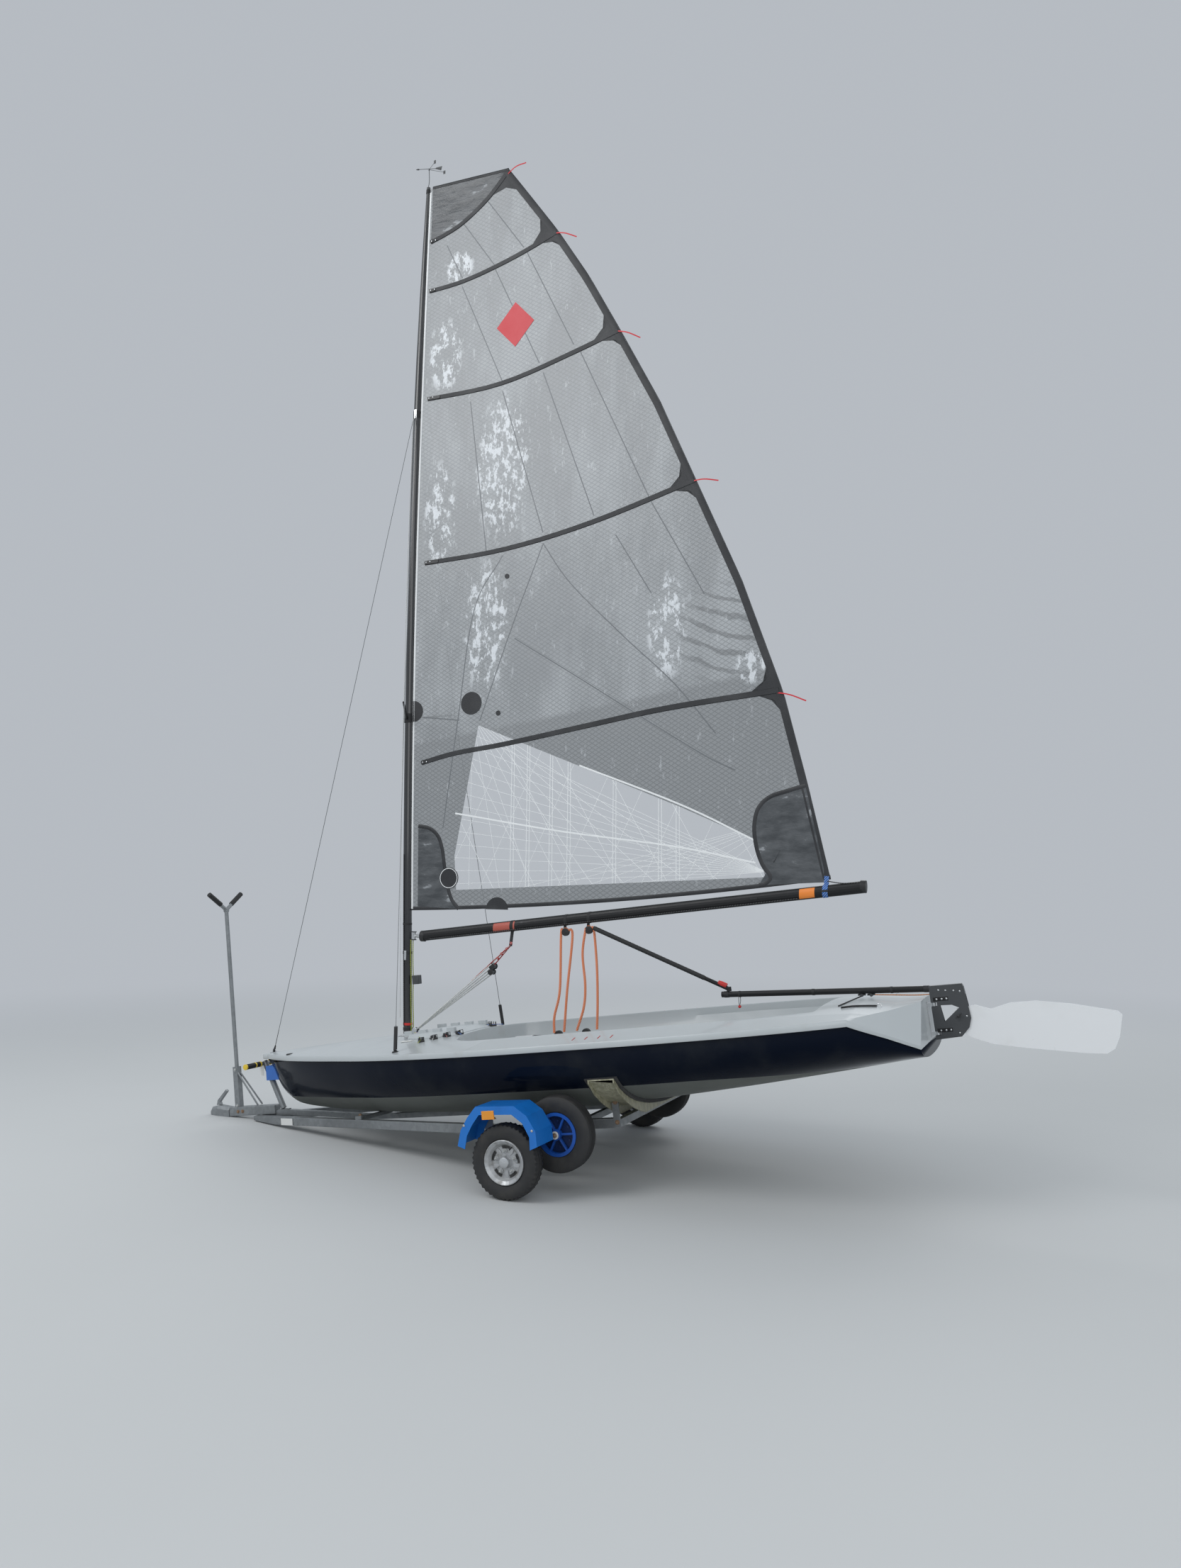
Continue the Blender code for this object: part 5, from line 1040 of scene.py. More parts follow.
# station, half beam, keel, sheer, then the powers that shape the section
HULL_SECTIONS = (
    (0.0, 0.016, 0.955, 1.0, 1.4, 1.4), (0.018, 0.085, 0.7, 1.0, 1.4, 1.4),
    (0.026, 0.12, 0.48, 1.0, 1.4, 1.35), (0.037, 0.165, 0.36, 1.0, 1.4, 1.3),
    (0.059, 0.24, 0.225, 1.0, 1.38, 1.25), (0.098, 0.36, 0.148, 1.0, 1.34, 1.18),
    (0.15, 0.49, 0.087, 1.0, 1.28, 1.1), (0.21, 0.62, 0.034, 1.0, 1.2, 1.02),
    (0.3, 0.8, 0.004, 1.0, 1.1, 0.95), (0.4, 0.925, 0.0, 1.0, 1.02, 0.9),
    (0.53, 0.995, 0.002, 1.0, 0.98, 0.88), (0.66, 1.0, 0.075, 1.0, 0.96, 0.86),
    (0.78, 0.965, 0.18, 1.0, 0.95, 0.84), (0.87, 0.885, 0.275, 1.0, 0.94, 0.82),
    (0.933, 0.78, 0.345, 1.0, 0.93, 0.82), (0.97, 0.63, 0.39, 0.79, 0.93, 0.82),
    (1.0, 0.485, 0.429, 0.6, 0.93, 0.82),
)
LIP_OVERHANG = 0.018
LIP_DEPTH = 0.033
BOW_OVERHANG = 0.034
DECK_CROWN = 0.045
# station, width of the top edge, its rise above the lip, crown
QUARTERS = ((0.933, 0.975, 0.0, 1.0), (0.97, 0.74, 0.225, 0.4), (1.0, 0.45, 0.45, 0.15))
WELL_FRONT = -0.62
WELL_BACK = 1.56
WELL_TOP_HALF = 0.5
WELL_FLOOR_HALF = 0.36
WELL_FLOOR_FRONT = 0.235
WELL_FLOOR_BACK = 0.39
# station along the well, floor half width, top half width
WELL = ((0.0, 0.45, 0.55), (0.035, 0.8, 0.86), (0.11, 1.0, 1.0), (0.7, 1.0, 1.0),
        (0.93, 0.8, 0.88), (1.0, 0.66, 0.8))


def eased_table(rows, t):
    """A row of a table at t, with no corner at its rows and no overshoot between them."""
    t = min(max(t, rows[0][0]), rows[-1][0])
    k = next(n for n in range(len(rows) - 1) if t <= rows[n + 1][0])

    def lean(n, column):
        if n == 0 or n == len(rows) - 1:
            a, b = (0, 1) if n == 0 else (n - 1, n)
            return (rows[b][column] - rows[a][column]) / (rows[b][0] - rows[a][0])
        before = (rows[n][column] - rows[n - 1][column]) / (rows[n][0] - rows[n - 1][0])
        after = (rows[n + 1][column] - rows[n][column]) / (rows[n + 1][0] - rows[n][0])
        return 0.0 if before * after <= 0 else 2 * before * after / (before + after)

    span = rows[k + 1][0] - rows[k][0]
    s = (t - rows[k][0]) / span
    made = [t]
    for column in range(1, len(rows[0])):
        a, b = rows[k][column], rows[k + 1][column]
        made.append(a * (1 + 2 * s) * (1 - s) ** 2 + b * s * s * (3 - 2 * s)
                    + span * s * (1 - s) * (lean(k, column) * (1 - s) - lean(k + 1, column) * s))
    return made


def hull_x(station):
    return STEM_X + HULL_LENGTH * station


def sheer_at(station):
    return KEEL_Z + HULL_DEPTH * along_table(HULL_SECTIONS, station)[3]


def hull_section(station, steps=26):
    """Half a section of the hull from the keel to the sheer, as (y, z)."""
    beam, keel, blank, across, turn = eased_table(HULL_SECTIONS, station)[1:]
    half = HULL_BEAM / 2 * beam
    low, high = KEEL_Z + HULL_DEPTH * keel, sheer_at(station)
    side = [(half * sin(pi / 2 * k / steps) ** across,
             high - (high - low) * max(cos(pi / 2 * k / steps), 0.0) ** turn) for k in range(steps)]
    return side + [(half, high)]


def deck_edge(station):
    """Lip's half width, its height, the top edge's half width and height, and the crown."""
    beam = eased_table(HULL_SECTIONS, station)[1]
    half = HULL_BEAM / 2 * beam + LIP_OVERHANG * (1.6 if station <= 0 else 1.0)
    base = sheer_at(station) + 0.0003
    crown = DECK_CROWN * min(1.0, beam * 1.6)
    if station < QUARTERS[0][0]:
        return half, base, half - LIP_OVERHANG * 1.1, base + LIP_DEPTH, crown
    top_share, rise, crown_share = along_table(QUARTERS, station)[1:]
    return half, base, half * top_share, base + LIP_DEPTH + HULL_DEPTH * rise, crown * crown_share


def well_at(x):
    """Floor's half width, rim's half width and floor's height of the cockpit at x."""
    share = (x - WELL_FRONT) / (WELL_BACK - WELL_FRONT)
    low, high = eased_table(WELL, share)[1:]
    return (WELL_FLOOR_HALF * low, WELL_TOP_HALF * high,
            lerp(WELL_FLOOR_FRONT, WELL_FLOOR_BACK, min(max(share, 0.0), 1.0)))


def deck_height(x, y):
    top_half, top_z, crown = deck_edge((x - STEM_X) / HULL_LENGTH)[2:]
    return top_z + crown * (1 - (y / top_half) ** 2)


def deck_section(station, well=False, shrink=1.0):
    """Half a section of the deck from under its lip to the middle, as (y, z)."""
    half, base, top_half, top_z, crown = deck_edge(station)
    half, top_half = half * shrink, top_half * shrink
    x = hull_x(station)
    lip_top = base + LIP_DEPTH
    outer = lerp(top_half, half, 0.75)
    knee = max(lip_top, lerp(lip_top, top_z, 0.1))
    side = [(half - 0.006, base), (half - 0.0015, base + 0.0015), (half, base + 0.006),
            (half, base + LIP_DEPTH * 0.55), (lerp(half, outer, 0.35), base + LIP_DEPTH * 0.86),
            (outer, knee)]
    floor_half, rim, floor_z = well_at(x)
    if not well:
        end = max(WELL_FRONT, min(WELL_BACK, x))
        edge_half = deck_edge((end - STEM_X) / HULL_LENGTH)[2]
        rim = top_half * min(0.9, well_at(end)[1] / edge_half)

    def top(y):
        return top_z + crown * (1 - (y / top_half) ** 2)
    side += [(lerp(top_half, rim, t), top(lerp(top_half, rim, t)))
             for t in (0.0, 0.02, 0.2, 0.4, 0.6, 0.8, 0.95)]
    if well:
        lip = top(rim)
        rim_z = SHEER_Z + LIP_DEPTH / 2
        shoulder = (lerp(floor_half, rim, 0.25), floor_z + 0.05 * HULL_DEPTH)
        side += [(rim + 0.004, lip - 0.001), (rim + 0.001, lip - 0.004), (rim, lip - 0.01), (rim, rim_z)]
        side += [(lerp(rim, shoulder[0], t), lerp(rim_z, shoulder[1], t)) for t in (0.33, 0.66, 0.93)]
        side += [(lerp(shoulder[0], floor_half * 0.92, 0.3), lerp(shoulder[1], floor_z, 0.6)),
                 (floor_half * 0.92, floor_z), (floor_half * 0.45, floor_z), (0.0, floor_z)]
    else:
        side += [(rim * (1 - t), top(rim * (1 - t)))
                 for t in (0.03, 0.06, 0.1, 0.2, 0.35, 0.5, 0.65, 0.75, 0.85, 0.93, 1.0)]
    return side


class DINGHY_OT_hull(DinghyStep):
    """The hull's fair skin, drawn through the same stations as the solid hull"""
    bl_idname = "dinghy.hull"
    bl_label = "Hull skin"

    def make(self, context):
        drawing = Shape()
        rows = []
        for station in sorted({round((k / 110) ** 1.35, 5) for k in range(111)} | {0.933, 0.97}):
            x, half = hull_x(station), hull_section(station)
            rows.append(drawing.ring([(x, -y, z) for y, z in half[::-1]]
                                     + [(x, y, z) for y, z in half[1:]]))
        drawing.skin_open(rows)
        drawing.work.faces.new(rows[0])
        drawing.work.faces.new(rows[-1][::-1])
        made = drawing.piece("hull_skin", "topsides", None, angle=50)
        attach(made, BOAT)
        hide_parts("hull")


class DINGHY_OT_deck(DinghyStep):
    """The deck moulding with its rolled lip, its rising quarters and the cockpit tub"""
    bl_idname = "dinghy.deck"
    bl_label = "Deck moulding"

    def make(self, context):
        drawing = Shape()
        rows = []

        def row(station, well=False, shrink=1.0, ahead=0.0):
            x, half = hull_x(station) - ahead, deck_section(station, well, shrink)
            rows.append(drawing.ring([(x, -y, z) for y, z in half]
                                     + [(x, y, z) for y, z in half[-2::-1]]))
        front, back = ((x - STEM_X) / HULL_LENGTH for x in (WELL_FRONT, WELL_BACK))
        for reach, shrink in ((1.0, 0.55), (0.75, 0.8), (0.4, 0.95)):
            row(0.0, False, shrink, BOW_OVERHANG * reach)
        for k in range(50):
            row((front - 0.002) * (k / 49) ** 1.2)
        for k in range(81):
            row(lerp(front, back, 0.5 - 0.5 * cos(pi * k / 80)), True)
        for station in sorted({*(lerp(back + 0.002, 1.0, k / 24) for k in range(25)), 0.933, 0.97}):
            row(station)
        drawing.skin_open(rows)
        for end in (rows[0], rows[-1]):
            drawing.work.faces.new(end)
        made = drawing.piece("deck_moulding", "deck", None, angle=28)
        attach(made, BOAT)
        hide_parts("deck")


# batten pockets as points of the rig frame from the luff to the leech; the uppermost bows up to the peak
BATTENS = (
    ((0.026, 5.317), (0.12, 5.346), (0.233, 5.387), (0.34, 5.444), (0.451, 5.515), (0.53, 5.58),
     (0.6, 5.645)),
    ((0.027, 4.969), (0.28, 4.995), (0.566, 5.05), (0.78, 5.1), (0.985, 5.157)),
    ((0.032, 4.213), (0.578, 4.236), (1.091, 4.335), (1.424, 4.41)),
    ((0.04, 3.084), (0.636, 3.123), (1.247, 3.221), (1.928, 3.383)),
    ((0.052, 1.749), (0.3, 1.806), (0.654, 1.853), (1.255, 1.949), (1.762, 2.025), (2.44, 2.088)),
)
PEAK = (0.624, 5.677)
HEAD = (0.035, 5.7)
CORNER_ABOVE = 0.105
CORNER_BELOW = 0.125
# seams of the panels, thin darker lines
SEAMS = (
    ((0.46, 5.51), (0.74, 5.12)), ((0.28, 5.39), (0.52, 5.05)), ((0.15, 5.27), (0.27, 5.02)),
    ((0.76, 5.09), (1.11, 4.39)), ((0.52, 5.03), (0.86, 4.32)), ((0.27, 4.96), (0.59, 4.24)),
    ((1.16, 4.33), (1.65, 3.29)), ((0.89, 4.25), (1.26, 3.26)), ((0.59, 4.18), (0.81, 3.48), (0.9, 3.2)),
    ((0.35, 4.15), (0.49, 3.12)), ((1.65, 3.29), (1.99, 2.69)), ((1.41, 3.12), (1.65, 2.73)),
    ((0.9, 3.13), (1.1, 2.85), (1.47, 2.48), (1.8, 2.17), (2.06, 1.86)),
    ((0.71, 2.53), (1.13, 2.27), (1.59, 1.98), (1.98, 1.74), (2.18, 1.64)),
    ((0.61, 3.08), (0.41, 2.74), (0.31, 2.02), (0.22, 1.32)), ((0.9, 3.12), (0.69, 2.61), (0.47, 2.01)),
    ((0.05, 2.05), (0.32, 2.02)),
)
WHITE_LINES = (((0.309, 1.415), (1.058, 1.296), (1.806, 1.203), (2.3, 1.11)),
               ((1.18, 1.7), (1.852, 1.445), (2.3, 1.235)))
# the window's threads: x, its step and z of one end; x, its step, z and its step of the other; count
WINDOW_THREADS = (
    ((2.36, 0, 1.06), (0.1, 0, 0.86, 0.093), (14,)), ((2.45, 0, 1.35), (0.2, 0.26, 0.8, 0), (8,)),
    ((0.42, 0, 2.04), (0.42, 0.24, 0.85, 0), (9,)), ((0.2, 0.27, 0.88), (0.72, 0.27, 1.95, 0), (-1, 7)),
    ((0.3, 0.3, 1.95), (0.95, 0.3, 0.85, 0), (-1, 6)),
)
WINDOW_UPRIGHTS = (0.715, 0.825, 0.985, 1.108, 1.414, 1.709, 1.821)
CLEW_TAPE = ((2.59, 1.542), (2.489, 1.514), (2.386, 1.482), (2.318, 1.419), (2.294, 1.318),
             (2.306, 1.203), (2.341, 1.102), (2.388, 1.031), (2.352, 0.99), (2.32, 0.985))
TACK_TAPE = ((0.04, 1.335), (0.123, 1.318), (0.186, 1.268), (0.219, 1.186), (0.237, 1.088),
             (0.263, 0.958), (0.297, 0.865), (0.351, 0.805))
# centre and radius of the plain round patches
ROUND_PATCHES = ((0.406, 2.127, 0.074), (0.647, 2.941, 0.016), (0.603, 2.054, 0.016), (0.274, 1.0, 0.068))
# start and end of the streamers at the leech
STREAMERS = (((0.635, 5.646), (0.76, 5.683)), ((0.98, 5.157), (1.134, 5.086)),
             ((1.424, 4.413), (1.578, 4.33)), ((1.923, 3.379), (2.082, 3.357)),
             ((2.437, 2.078), (2.598, 2.017)))
LOZENGE = (0.68, 4.615, 0.14, 0.15)


def across_window(ax, az, bx, bz):
    """The part of a straight line that lies in the clear window, as its two ends."""
    low, high = 0.0, 1.0
    for (px, pz), (qx, qz) in zip(WINDOW, WINDOW[1:] + WINDOW[:1]):
        start = (pz - qz) * (ax - px) + (qx - px) * (az - pz)
        end = (pz - qz) * (bx - px) + (qx - px) * (bz - pz)
        if start < 0 and end < 0:
            return None
        if start < 0:
            low = max(low, start / (start - end))
        if end < 0:
            high = min(high, start / (start - end))
    if high - low < 0.02:
        return None
    return [(lerp(ax, bx, t), lerp(az, bz, t)) for t in (low, high)]


def flat_curve(points, steps=6):
    """A smooth path through points of the cloth."""
    return [(p.x, p.z) for p in curve_through([(x, 0.0, z) for x, z in points], steps)]


class DINGHY_OT_sail_tapes(DinghyStep):
    """Leech tape, foot band, batten pockets, the tapes round the corner patches and panel corners"""
    bl_idname = "dinghy.sail_tapes"
    bl_label = "Sail tapes"

    def make(self, context):
        sizes = context.scene.dinghy_rig
        tapes, ends, screws, dark = shapes(4)
        heights = [lerp(SAIL_LINES[0][2] + 0.004, SAIL_LINES[-1][2], k / 60) for k in range(61)]
        add_strip(tapes, [(leech_point(z) - sizes.tape_width * 0.49, z) for z in heights],
                  sizes.tape_width, 0.0016, 1)
        foot = [sail_point(SAIL_FOOT, k / 30) for k in range(31)]
        add_strip(tapes, [(p.x, p.z + 0.012) for p in foot], 0.024, 0.0016, 1)
        for number, points in enumerate(BATTENS):
            line = flat_curve(points, 5)
            add_strip(tapes, line, sizes.pocket_width, 0.0045, 1, lambda t: 0.9 + 0.14 * t)
            add_strip(ends, flat_curve(points, 30)[:6], 0.026, 0.0085, 1)
            for ahead in (0.012, 0.04):
                for side in SIDES:
                    at = on_sail(points[0][0] + ahead, points[0][1] + ahead * 0.12, side * 0.0085)
                    screws.turned(at, (0, side, 0), [(0.0, 0.005), (0.002, 0.0044), (0.003, 0.002)], 10)
            end = Vector(line[-1])
            back = (Vector(line[-4]) - end).normalized()
            across = Vector((-back.y, back.x))
            across = across if across.y > 0 else -across
            for sign in (1, -1) if number else (-1,):
                corner = end + across * sign * sizes.pocket_width * 0.45
                rise = 0.15 * sign
                along = Vector((leech_point(corner.y + rise) - leech_point(corner.y), rise)).normalized()
                for nearing in range(12):
                    corner += back * (corner.x - leech_point(corner.y) + sizes.tape_width * 0.92)
                radius = CORNER_ABOVE if sign > 0 else CORNER_BELOW
                add_patch(tapes, corner_fillet(corner, back, along, radius), 0.0014)
        for path in (CLEW_TAPE, TACK_TAPE):
            add_strip(tapes, flat_curve(path, 5), 0.026, 0.0026, 1)
        add_strip(tapes, [HEAD, PEAK], 0.022, 0.0026)
        tapes.piece("sail_tapes", "tape", SPARS, RIG, 50)
        ends.piece("batten_ends", "black", SPARS, RIG, 40)
        screws.piece("batten_screws", "steel", SPARS, RIG)
        for outline, gap in (([HEAD, (0.028, 5.325), *flat_curve(BATTENS[0], 3)[1:], PEAK], 0.04),
                             ([*flat_curve(CLEW_TAPE, 3), (2.69, 1.005), (2.69, 1.08)], 0.05),
                             ([*flat_curve(TACK_TAPE, 3), (0.05, 0.815)], 0.05)):
            add_patch(dark, dense(outline, gap), 0.0018)
        dark.piece("sail_corner_cloth", "patch_film", SPARS, RIG, 50)


class DINGHY_OT_sail_marks(DinghyStep):
    """Seams, the window's threads, plain patches and the streamers at the leech"""
    bl_idname = "dinghy.sail_marks"
    bl_label = "Sail seams and marks"

    def make(self, context):
        seams, pale, red, rounds, ring, flags = shapes(6)
        for points in SEAMS:
            add_strip(seams, flat_curve(points) if len(points) > 2 else points, 0.0065, 0.001, 6)
        seams.piece("sail_seams", "seam", SPARS, RIG, 50)
        for points in WHITE_LINES:
            add_strip(pale, flat_curve(points, 5), 0.011, 0.0016, 1)
        threads = [(x + shift, 2.1, x + shift * 1.4 + 0.012, 0.8, 0.0042, 0.0012)
                   for x in WINDOW_UPRIGHTS for shift in (-0.008, 0.008)]
        for (ax, a_step, az), (bx, b_step, bz, rise), counts in WINDOW_THREADS:
            threads += [(ax + a_step * k, az, bx + b_step * k, bz + rise * k, 0.0026, 0.0009)
                        for k in range(*counts)]
        for *ends, width, half in threads:
            part = across_window(*ends)
            if part:
                add_strip(pale, part, width, half)
        heights = [lerp(SAIL_FOOT + 0.01, SAIL_HEAD - 0.03, k / 50) for k in range(51)]
        add_strip(pale, [(luff_x(z) + 0.007, z) for z in heights], 0.014, 0.003, 1)
        pale.piece("sail_pale_lines", "thread", SPARS, RIG, 50)
        x, z, across, up = LOZENGE
        add_patch(red, dense([(x, z - up), (x + across, z), (x, z + up), (x - across, z)], 0.03), 0.002)
        red.piece("sail_red_patch", "red_cloth", SPARS, RIG, 50)
        for x, z, radius in ROUND_PATCHES:
            add_patch(rounds, round_outline(x, z, radius), 0.0032)
        add_patch(rounds, round_outline(0.627, 0.806, 0.078, 14, 0.02, pi - 0.02), 0.0024)
        add_patch(rounds, round_outline(luff_x(2.091) + 0.004, 2.091, 0.07, 14, -pi / 2, pi / 2), 0.0034)
        rounds.piece("sail_round_patches", "tape", SPARS, RIG, 50)
        x, z, radius = ROUND_PATCHES[-1]
        radius -= 0.006
        add_strip(ring, round_outline(x, z, radius, 36) + [(x + radius, z)], 0.005, 0.004, 1)
        ring.piece("sail_disc_ring", "thread", SPARS, RIG, 50)
        for start, end in STREAMERS:
            a = on_sail(start[0] - 0.02, start[1])
            b = Vector((end[0], a.y - 0.01, end[1]))
            flags.bar(curve_through([a, a.lerp(b, 0.5) + Vector((0, -0.01, 0.008)), b], 5), 0.0012, 0.0075)
        flags.piece("leech_streamers", "red_cloth", SPARS, RIG, 50)


# Boom, rig frame
BOOM_START = (0.085, 0.625)
BOOM_END = (2.92, 0.985)
BOOM_DEPTH = 0.0335
BOOM_WIDTH = 0.0268
# level frame, y = 0
SHEET_BLOCKS = ((0.021, 1.137), (0.177, 1.133))
SHEET_FALLS = (
    ((-0.01, 1.127), (-0.057, 0.799), (-0.112, 0.642), (-0.124, 0.545)),
    ((0.061, 1.111), (-0.014, 0.795), (-0.067, 0.545)),
    ((0.154, 1.131), (0.119, 0.994), (0.115, 0.813), (0.09, 0.681), (0.028, 0.548)),
    ((0.207, 1.125), (0.199, 0.914), (0.177, 0.707), (0.152, 0.545)),
)
KICKER_LOW = (-1.118, 0.625)
KICKER_HIGH = (-0.367, 1.095)
KICKER_TOPS = ((-0.502, 0.994), (-0.507, 0.974), (-0.514, 0.955), (-0.522, 0.936))


def boom_z(x):
    """Height of the boom's centre line in the rig frame."""
    return lerp(BOOM_START[1], BOOM_END[1], (x - BOOM_START[0]) / (BOOM_END[0] - BOOM_START[0]))


def pulley(cheeks, wheels, centre, radius, width=0.016):
    """A block: two cheek plates with their rim, and the wheel between them, turning about y."""
    centre = Vector(centre)
    for side in SIDES:
        cheeks.turned(centre + Vector((0, side * width / 2, 0)), (0, side, 0),
                      [(out, radius * share) for out, share in BLOCK_CHEEK], 22)
    wheels.turned(centre, ACROSS, [(width * out, radius * share) for out, share in BLOCK_WHEEL], 22)


def cam_cleat(body, jaws, place, turn, size=1.0):
    """A cleat with its two toothed jaws on a small base, turned about the upright axis."""
    place = Vector(place)
    ahead = Vector((cos(turn), sin(turn), 0.0))
    side = Vector((-sin(turn), cos(turn), 0.0)) * size
    up = Vector((0, 0, size))
    half = ahead * 0.029 * size
    body.bar([place - half, place + half], 0.026 * size, 0.008 * size, 0.002)
    front = place + half * 0.9
    body.line([front - side * 0.011, front - side * 0.011 + up * 0.018, front + side * 0.011 + up * 0.018,
               front + side * 0.011], 0.0018 * size, 6, ahead)
    for sign in SIDES:
        jaws.turned(place + side * sign * 0.0078 + up * 0.004, UP,
                    [(along * size, radius * size) for along, radius in CLEAT_JAW], 10)


class DINGHY_OT_mainsheet(DinghyStep):
    """The mainsheet's falls between the boom and the cockpit, with their blocks and straps"""
    bl_idname = "dinghy.mainsheet"
    bl_label = "Mainsheet"

    def make(self, context):
        falls = Shape()
        for (x, z), up, down in zip(SHEET_BLOCKS, SHEET_FALLS[::2], SHEET_FALLS[1::2]):
            loop = [*up[::-1], (x - 0.015, z + 0.01), (x, z + 0.021), (x + 0.015, z + 0.01), *down]
            points = [(px, lerp(-0.01, 0.01, k / (len(loop) - 1)), pz) for k, (px, pz) in enumerate(loop)]
            falls.line(curve_through(points, 7), context.scene.dinghy_rig.sheet_radius, 10)
        made = falls.piece("mainsheet_falls", "salmon_rope", None, angle=50)
        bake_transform(made)
        cheeks, wheels, straps, low_cheeks, low_wheels = shapes(5)
        for x, z in SHEET_BLOCKS:
            top = to_rig(x, z)
            pulley(cheeks, wheels, top, 0.024)
            straps.bands([(top.x + 0.005, 0.02, 0.0012)], boom_around, 28, 0.0002)
            straps.bar([(top.x - 0.006, 0.0, top.z + 0.018), (top.x - 0.003, 0.0, boom_z(top.x) - 0.024)],
                       0.018, 0.003, up=ACROSS)
        for x in (-0.1, 0.085):
            pulley(low_cheeks, low_wheels, (x, 0.0, 0.53), 0.027)
            low_cheeks.turned((x, 0.0, 0.4995), UP, [(0.0, 0.022), (0.003, 0.022), (0.005, 0.016),
                                                     (0.01, 0.01)], 16)
        cheeks.piece("boom_block_cheeks", "black", SPARS, RIG)
        wheels.piece("boom_block_wheels", "charcoal", SPARS, RIG)
        straps.piece("boom_block_straps", "grip", SPARS, RIG)
        low_cheeks.piece("case_block_cheeks", "black")
        low_wheels.piece("case_block_wheels", "charcoal")


class DINGHY_OT_kicker(DinghyStep):
    """The kicker: white falls from the mast foot, a block, and its red tackle to the boom"""
    bl_idname = "dinghy.kicker"
    bl_label = "Kicker"

    def make(self, context):
        low_x, low_z = KICKER_LOW
        high_x, high_z = KICKER_HIGH
        falls, tackle, cheeks, wheels, foot_cheeks, foot_wheels, strap = shapes(7)
        for k, (x, z) in enumerate(KICKER_TOPS):
            y = -0.021 + 0.014 * k
            falls.line(straight((low_x + 0.018, y * 0.6, low_z + 0.012), (x, y, z), 12), 0.004)
        for x, y, z in ((-0.66, -0.01, 0.905), (-0.7, 0.0, 0.88), (-0.54, 0.01, 0.954)):
            tackle.line(straight((x, y, z), (high_x, y * 0.5, high_z), 8), 0.0036)
        for x, z in ((-0.355, 1.108), (-0.39, 1.076), (-0.459, 1.026), (-0.43, 1.05)):
            tackle.ball((x, -0.012, z), 0.0095)
        pulley(cheeks, wheels, (-0.504, 0.0, 0.979), 0.02, 0.042)
        pulley(cheeks, wheels, (-0.518, 0.0, 0.945), 0.018, 0.042)
        for shape, name, finish, angle in ((falls, "kicker_falls", "white_rope", 50),
                                           (tackle, "kicker_tackle", "red_rope", 50),
                                           (cheeks, "kicker_block_cheeks", "black", 35),
                                           (wheels, "kicker_block_wheel", "charcoal", 35)):
            made = shape.piece(name, finish, None, angle=angle)
            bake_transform(made)
        pulley(foot_cheeks, foot_wheels, (low_x, 0.0, low_z + 0.004), 0.018, 0.034)
        foot_cheeks.bar([(MAST_X + 0.03, 0.0, low_z + 0.001), (low_x - 0.006, 0.0, low_z + 0.003)],
                        0.012, 0.008)
        foot_cheeks.piece("mast_foot_block", "steel")
        foot_wheels.piece("mast_foot_wheel", "black")
        high = to_rig(high_x, high_z)
        strap.bands([(high.x + 0.015, 0.024, 0.0012)], boom_around, 28, 0.0002)
        strap.bar([(high.x, 0.0, high.z - 0.004), (high.x + 0.012, 0.0, boom_z(high.x) - 0.026)],
                  0.02, 0.004, up=ACROSS)
        strap.piece("kicker_strap", "grip", SPARS, RIG)


class DINGHY_OT_boom_fittings(DinghyStep):
    """Outhaul, clew strap, patches and end caps on the boom"""
    bl_idname = "dinghy.boom_fittings"
    bl_label = "Boom fittings"

    def make(self, context):
        caps, strap, outhaul = shapes(3)
        for x, way in ((BOOM_START[0], -1), (BOOM_END[0], 1)):
            caps.skin([caps.ring((x + way * along, BOOM_WIDTH * share * cos(2 * pi * k / 28),
                                  boom_z(x) + BOOM_DEPTH * share * sin(2 * pi * k / 28)) for k in range(28))
                       for along, share in ((-0.03, 1.03), (-0.002, 1.04), (0.001, 1.0), (0.002, 0.6))])
        for x in (2.7, 2.3):
            caps.bar([(x - 0.02, -BOOM_WIDTH - 0.0008, boom_z(x)),
                      (x + 0.02, -BOOM_WIDTH - 0.0008, boom_z(x) + 0.004)], 0.006, 0.012, 0.002)
        caps.piece("boom_end_caps", "black", SPARS, RIG, 40)
        strap.bands([(2.7, 0.03, 0.002)], boom_around, 28, 0.0002)
        strap.bar([(2.704, -0.004, boom_z(2.7) + BOOM_DEPTH * 0.9), (2.706, -0.002, 1.04)], 0.026, 0.003,
                  up=ACROSS)
        strap.piece("clew_strap", "blue_rope", SPARS, RIG)
        outhaul.line(curve_through([(2.712, -0.01, 1.012), (2.79, -0.014, boom_z(2.79) + BOOM_DEPTH),
                                    (2.88, -0.018, boom_z(2.88) + BOOM_DEPTH * 0.8)]), 0.0028)
        outhaul.line(curve_through([(x, -BOOM_WIDTH * 0.8 - 0.003, boom_z(x) - BOOM_DEPTH * 0.7)
                                    for x in (0.16, 0.6, 1.1, 1.6, 2.1, 2.55)], 4), 0.0026)
        outhaul.piece("outhaul_line", "black_rope", SPARS, RIG, 50)
        for name, x, width, finish in (("boom_red_patch", 0.702, 0.15, "red_patch"),
                                       ("boom_orange_patch", 2.6, 0.085, "orange_patch")):
            patch = Shape()
            patch.skin_open([patch.ring(boom_around(x + width * (t / 8 - 0.5), 0.0007, pi - radians(a))
                                        for a in range(-52, 53, 8)) for t in range(9)])
            patch.piece(name, finish, SPARS, RIG, 60)


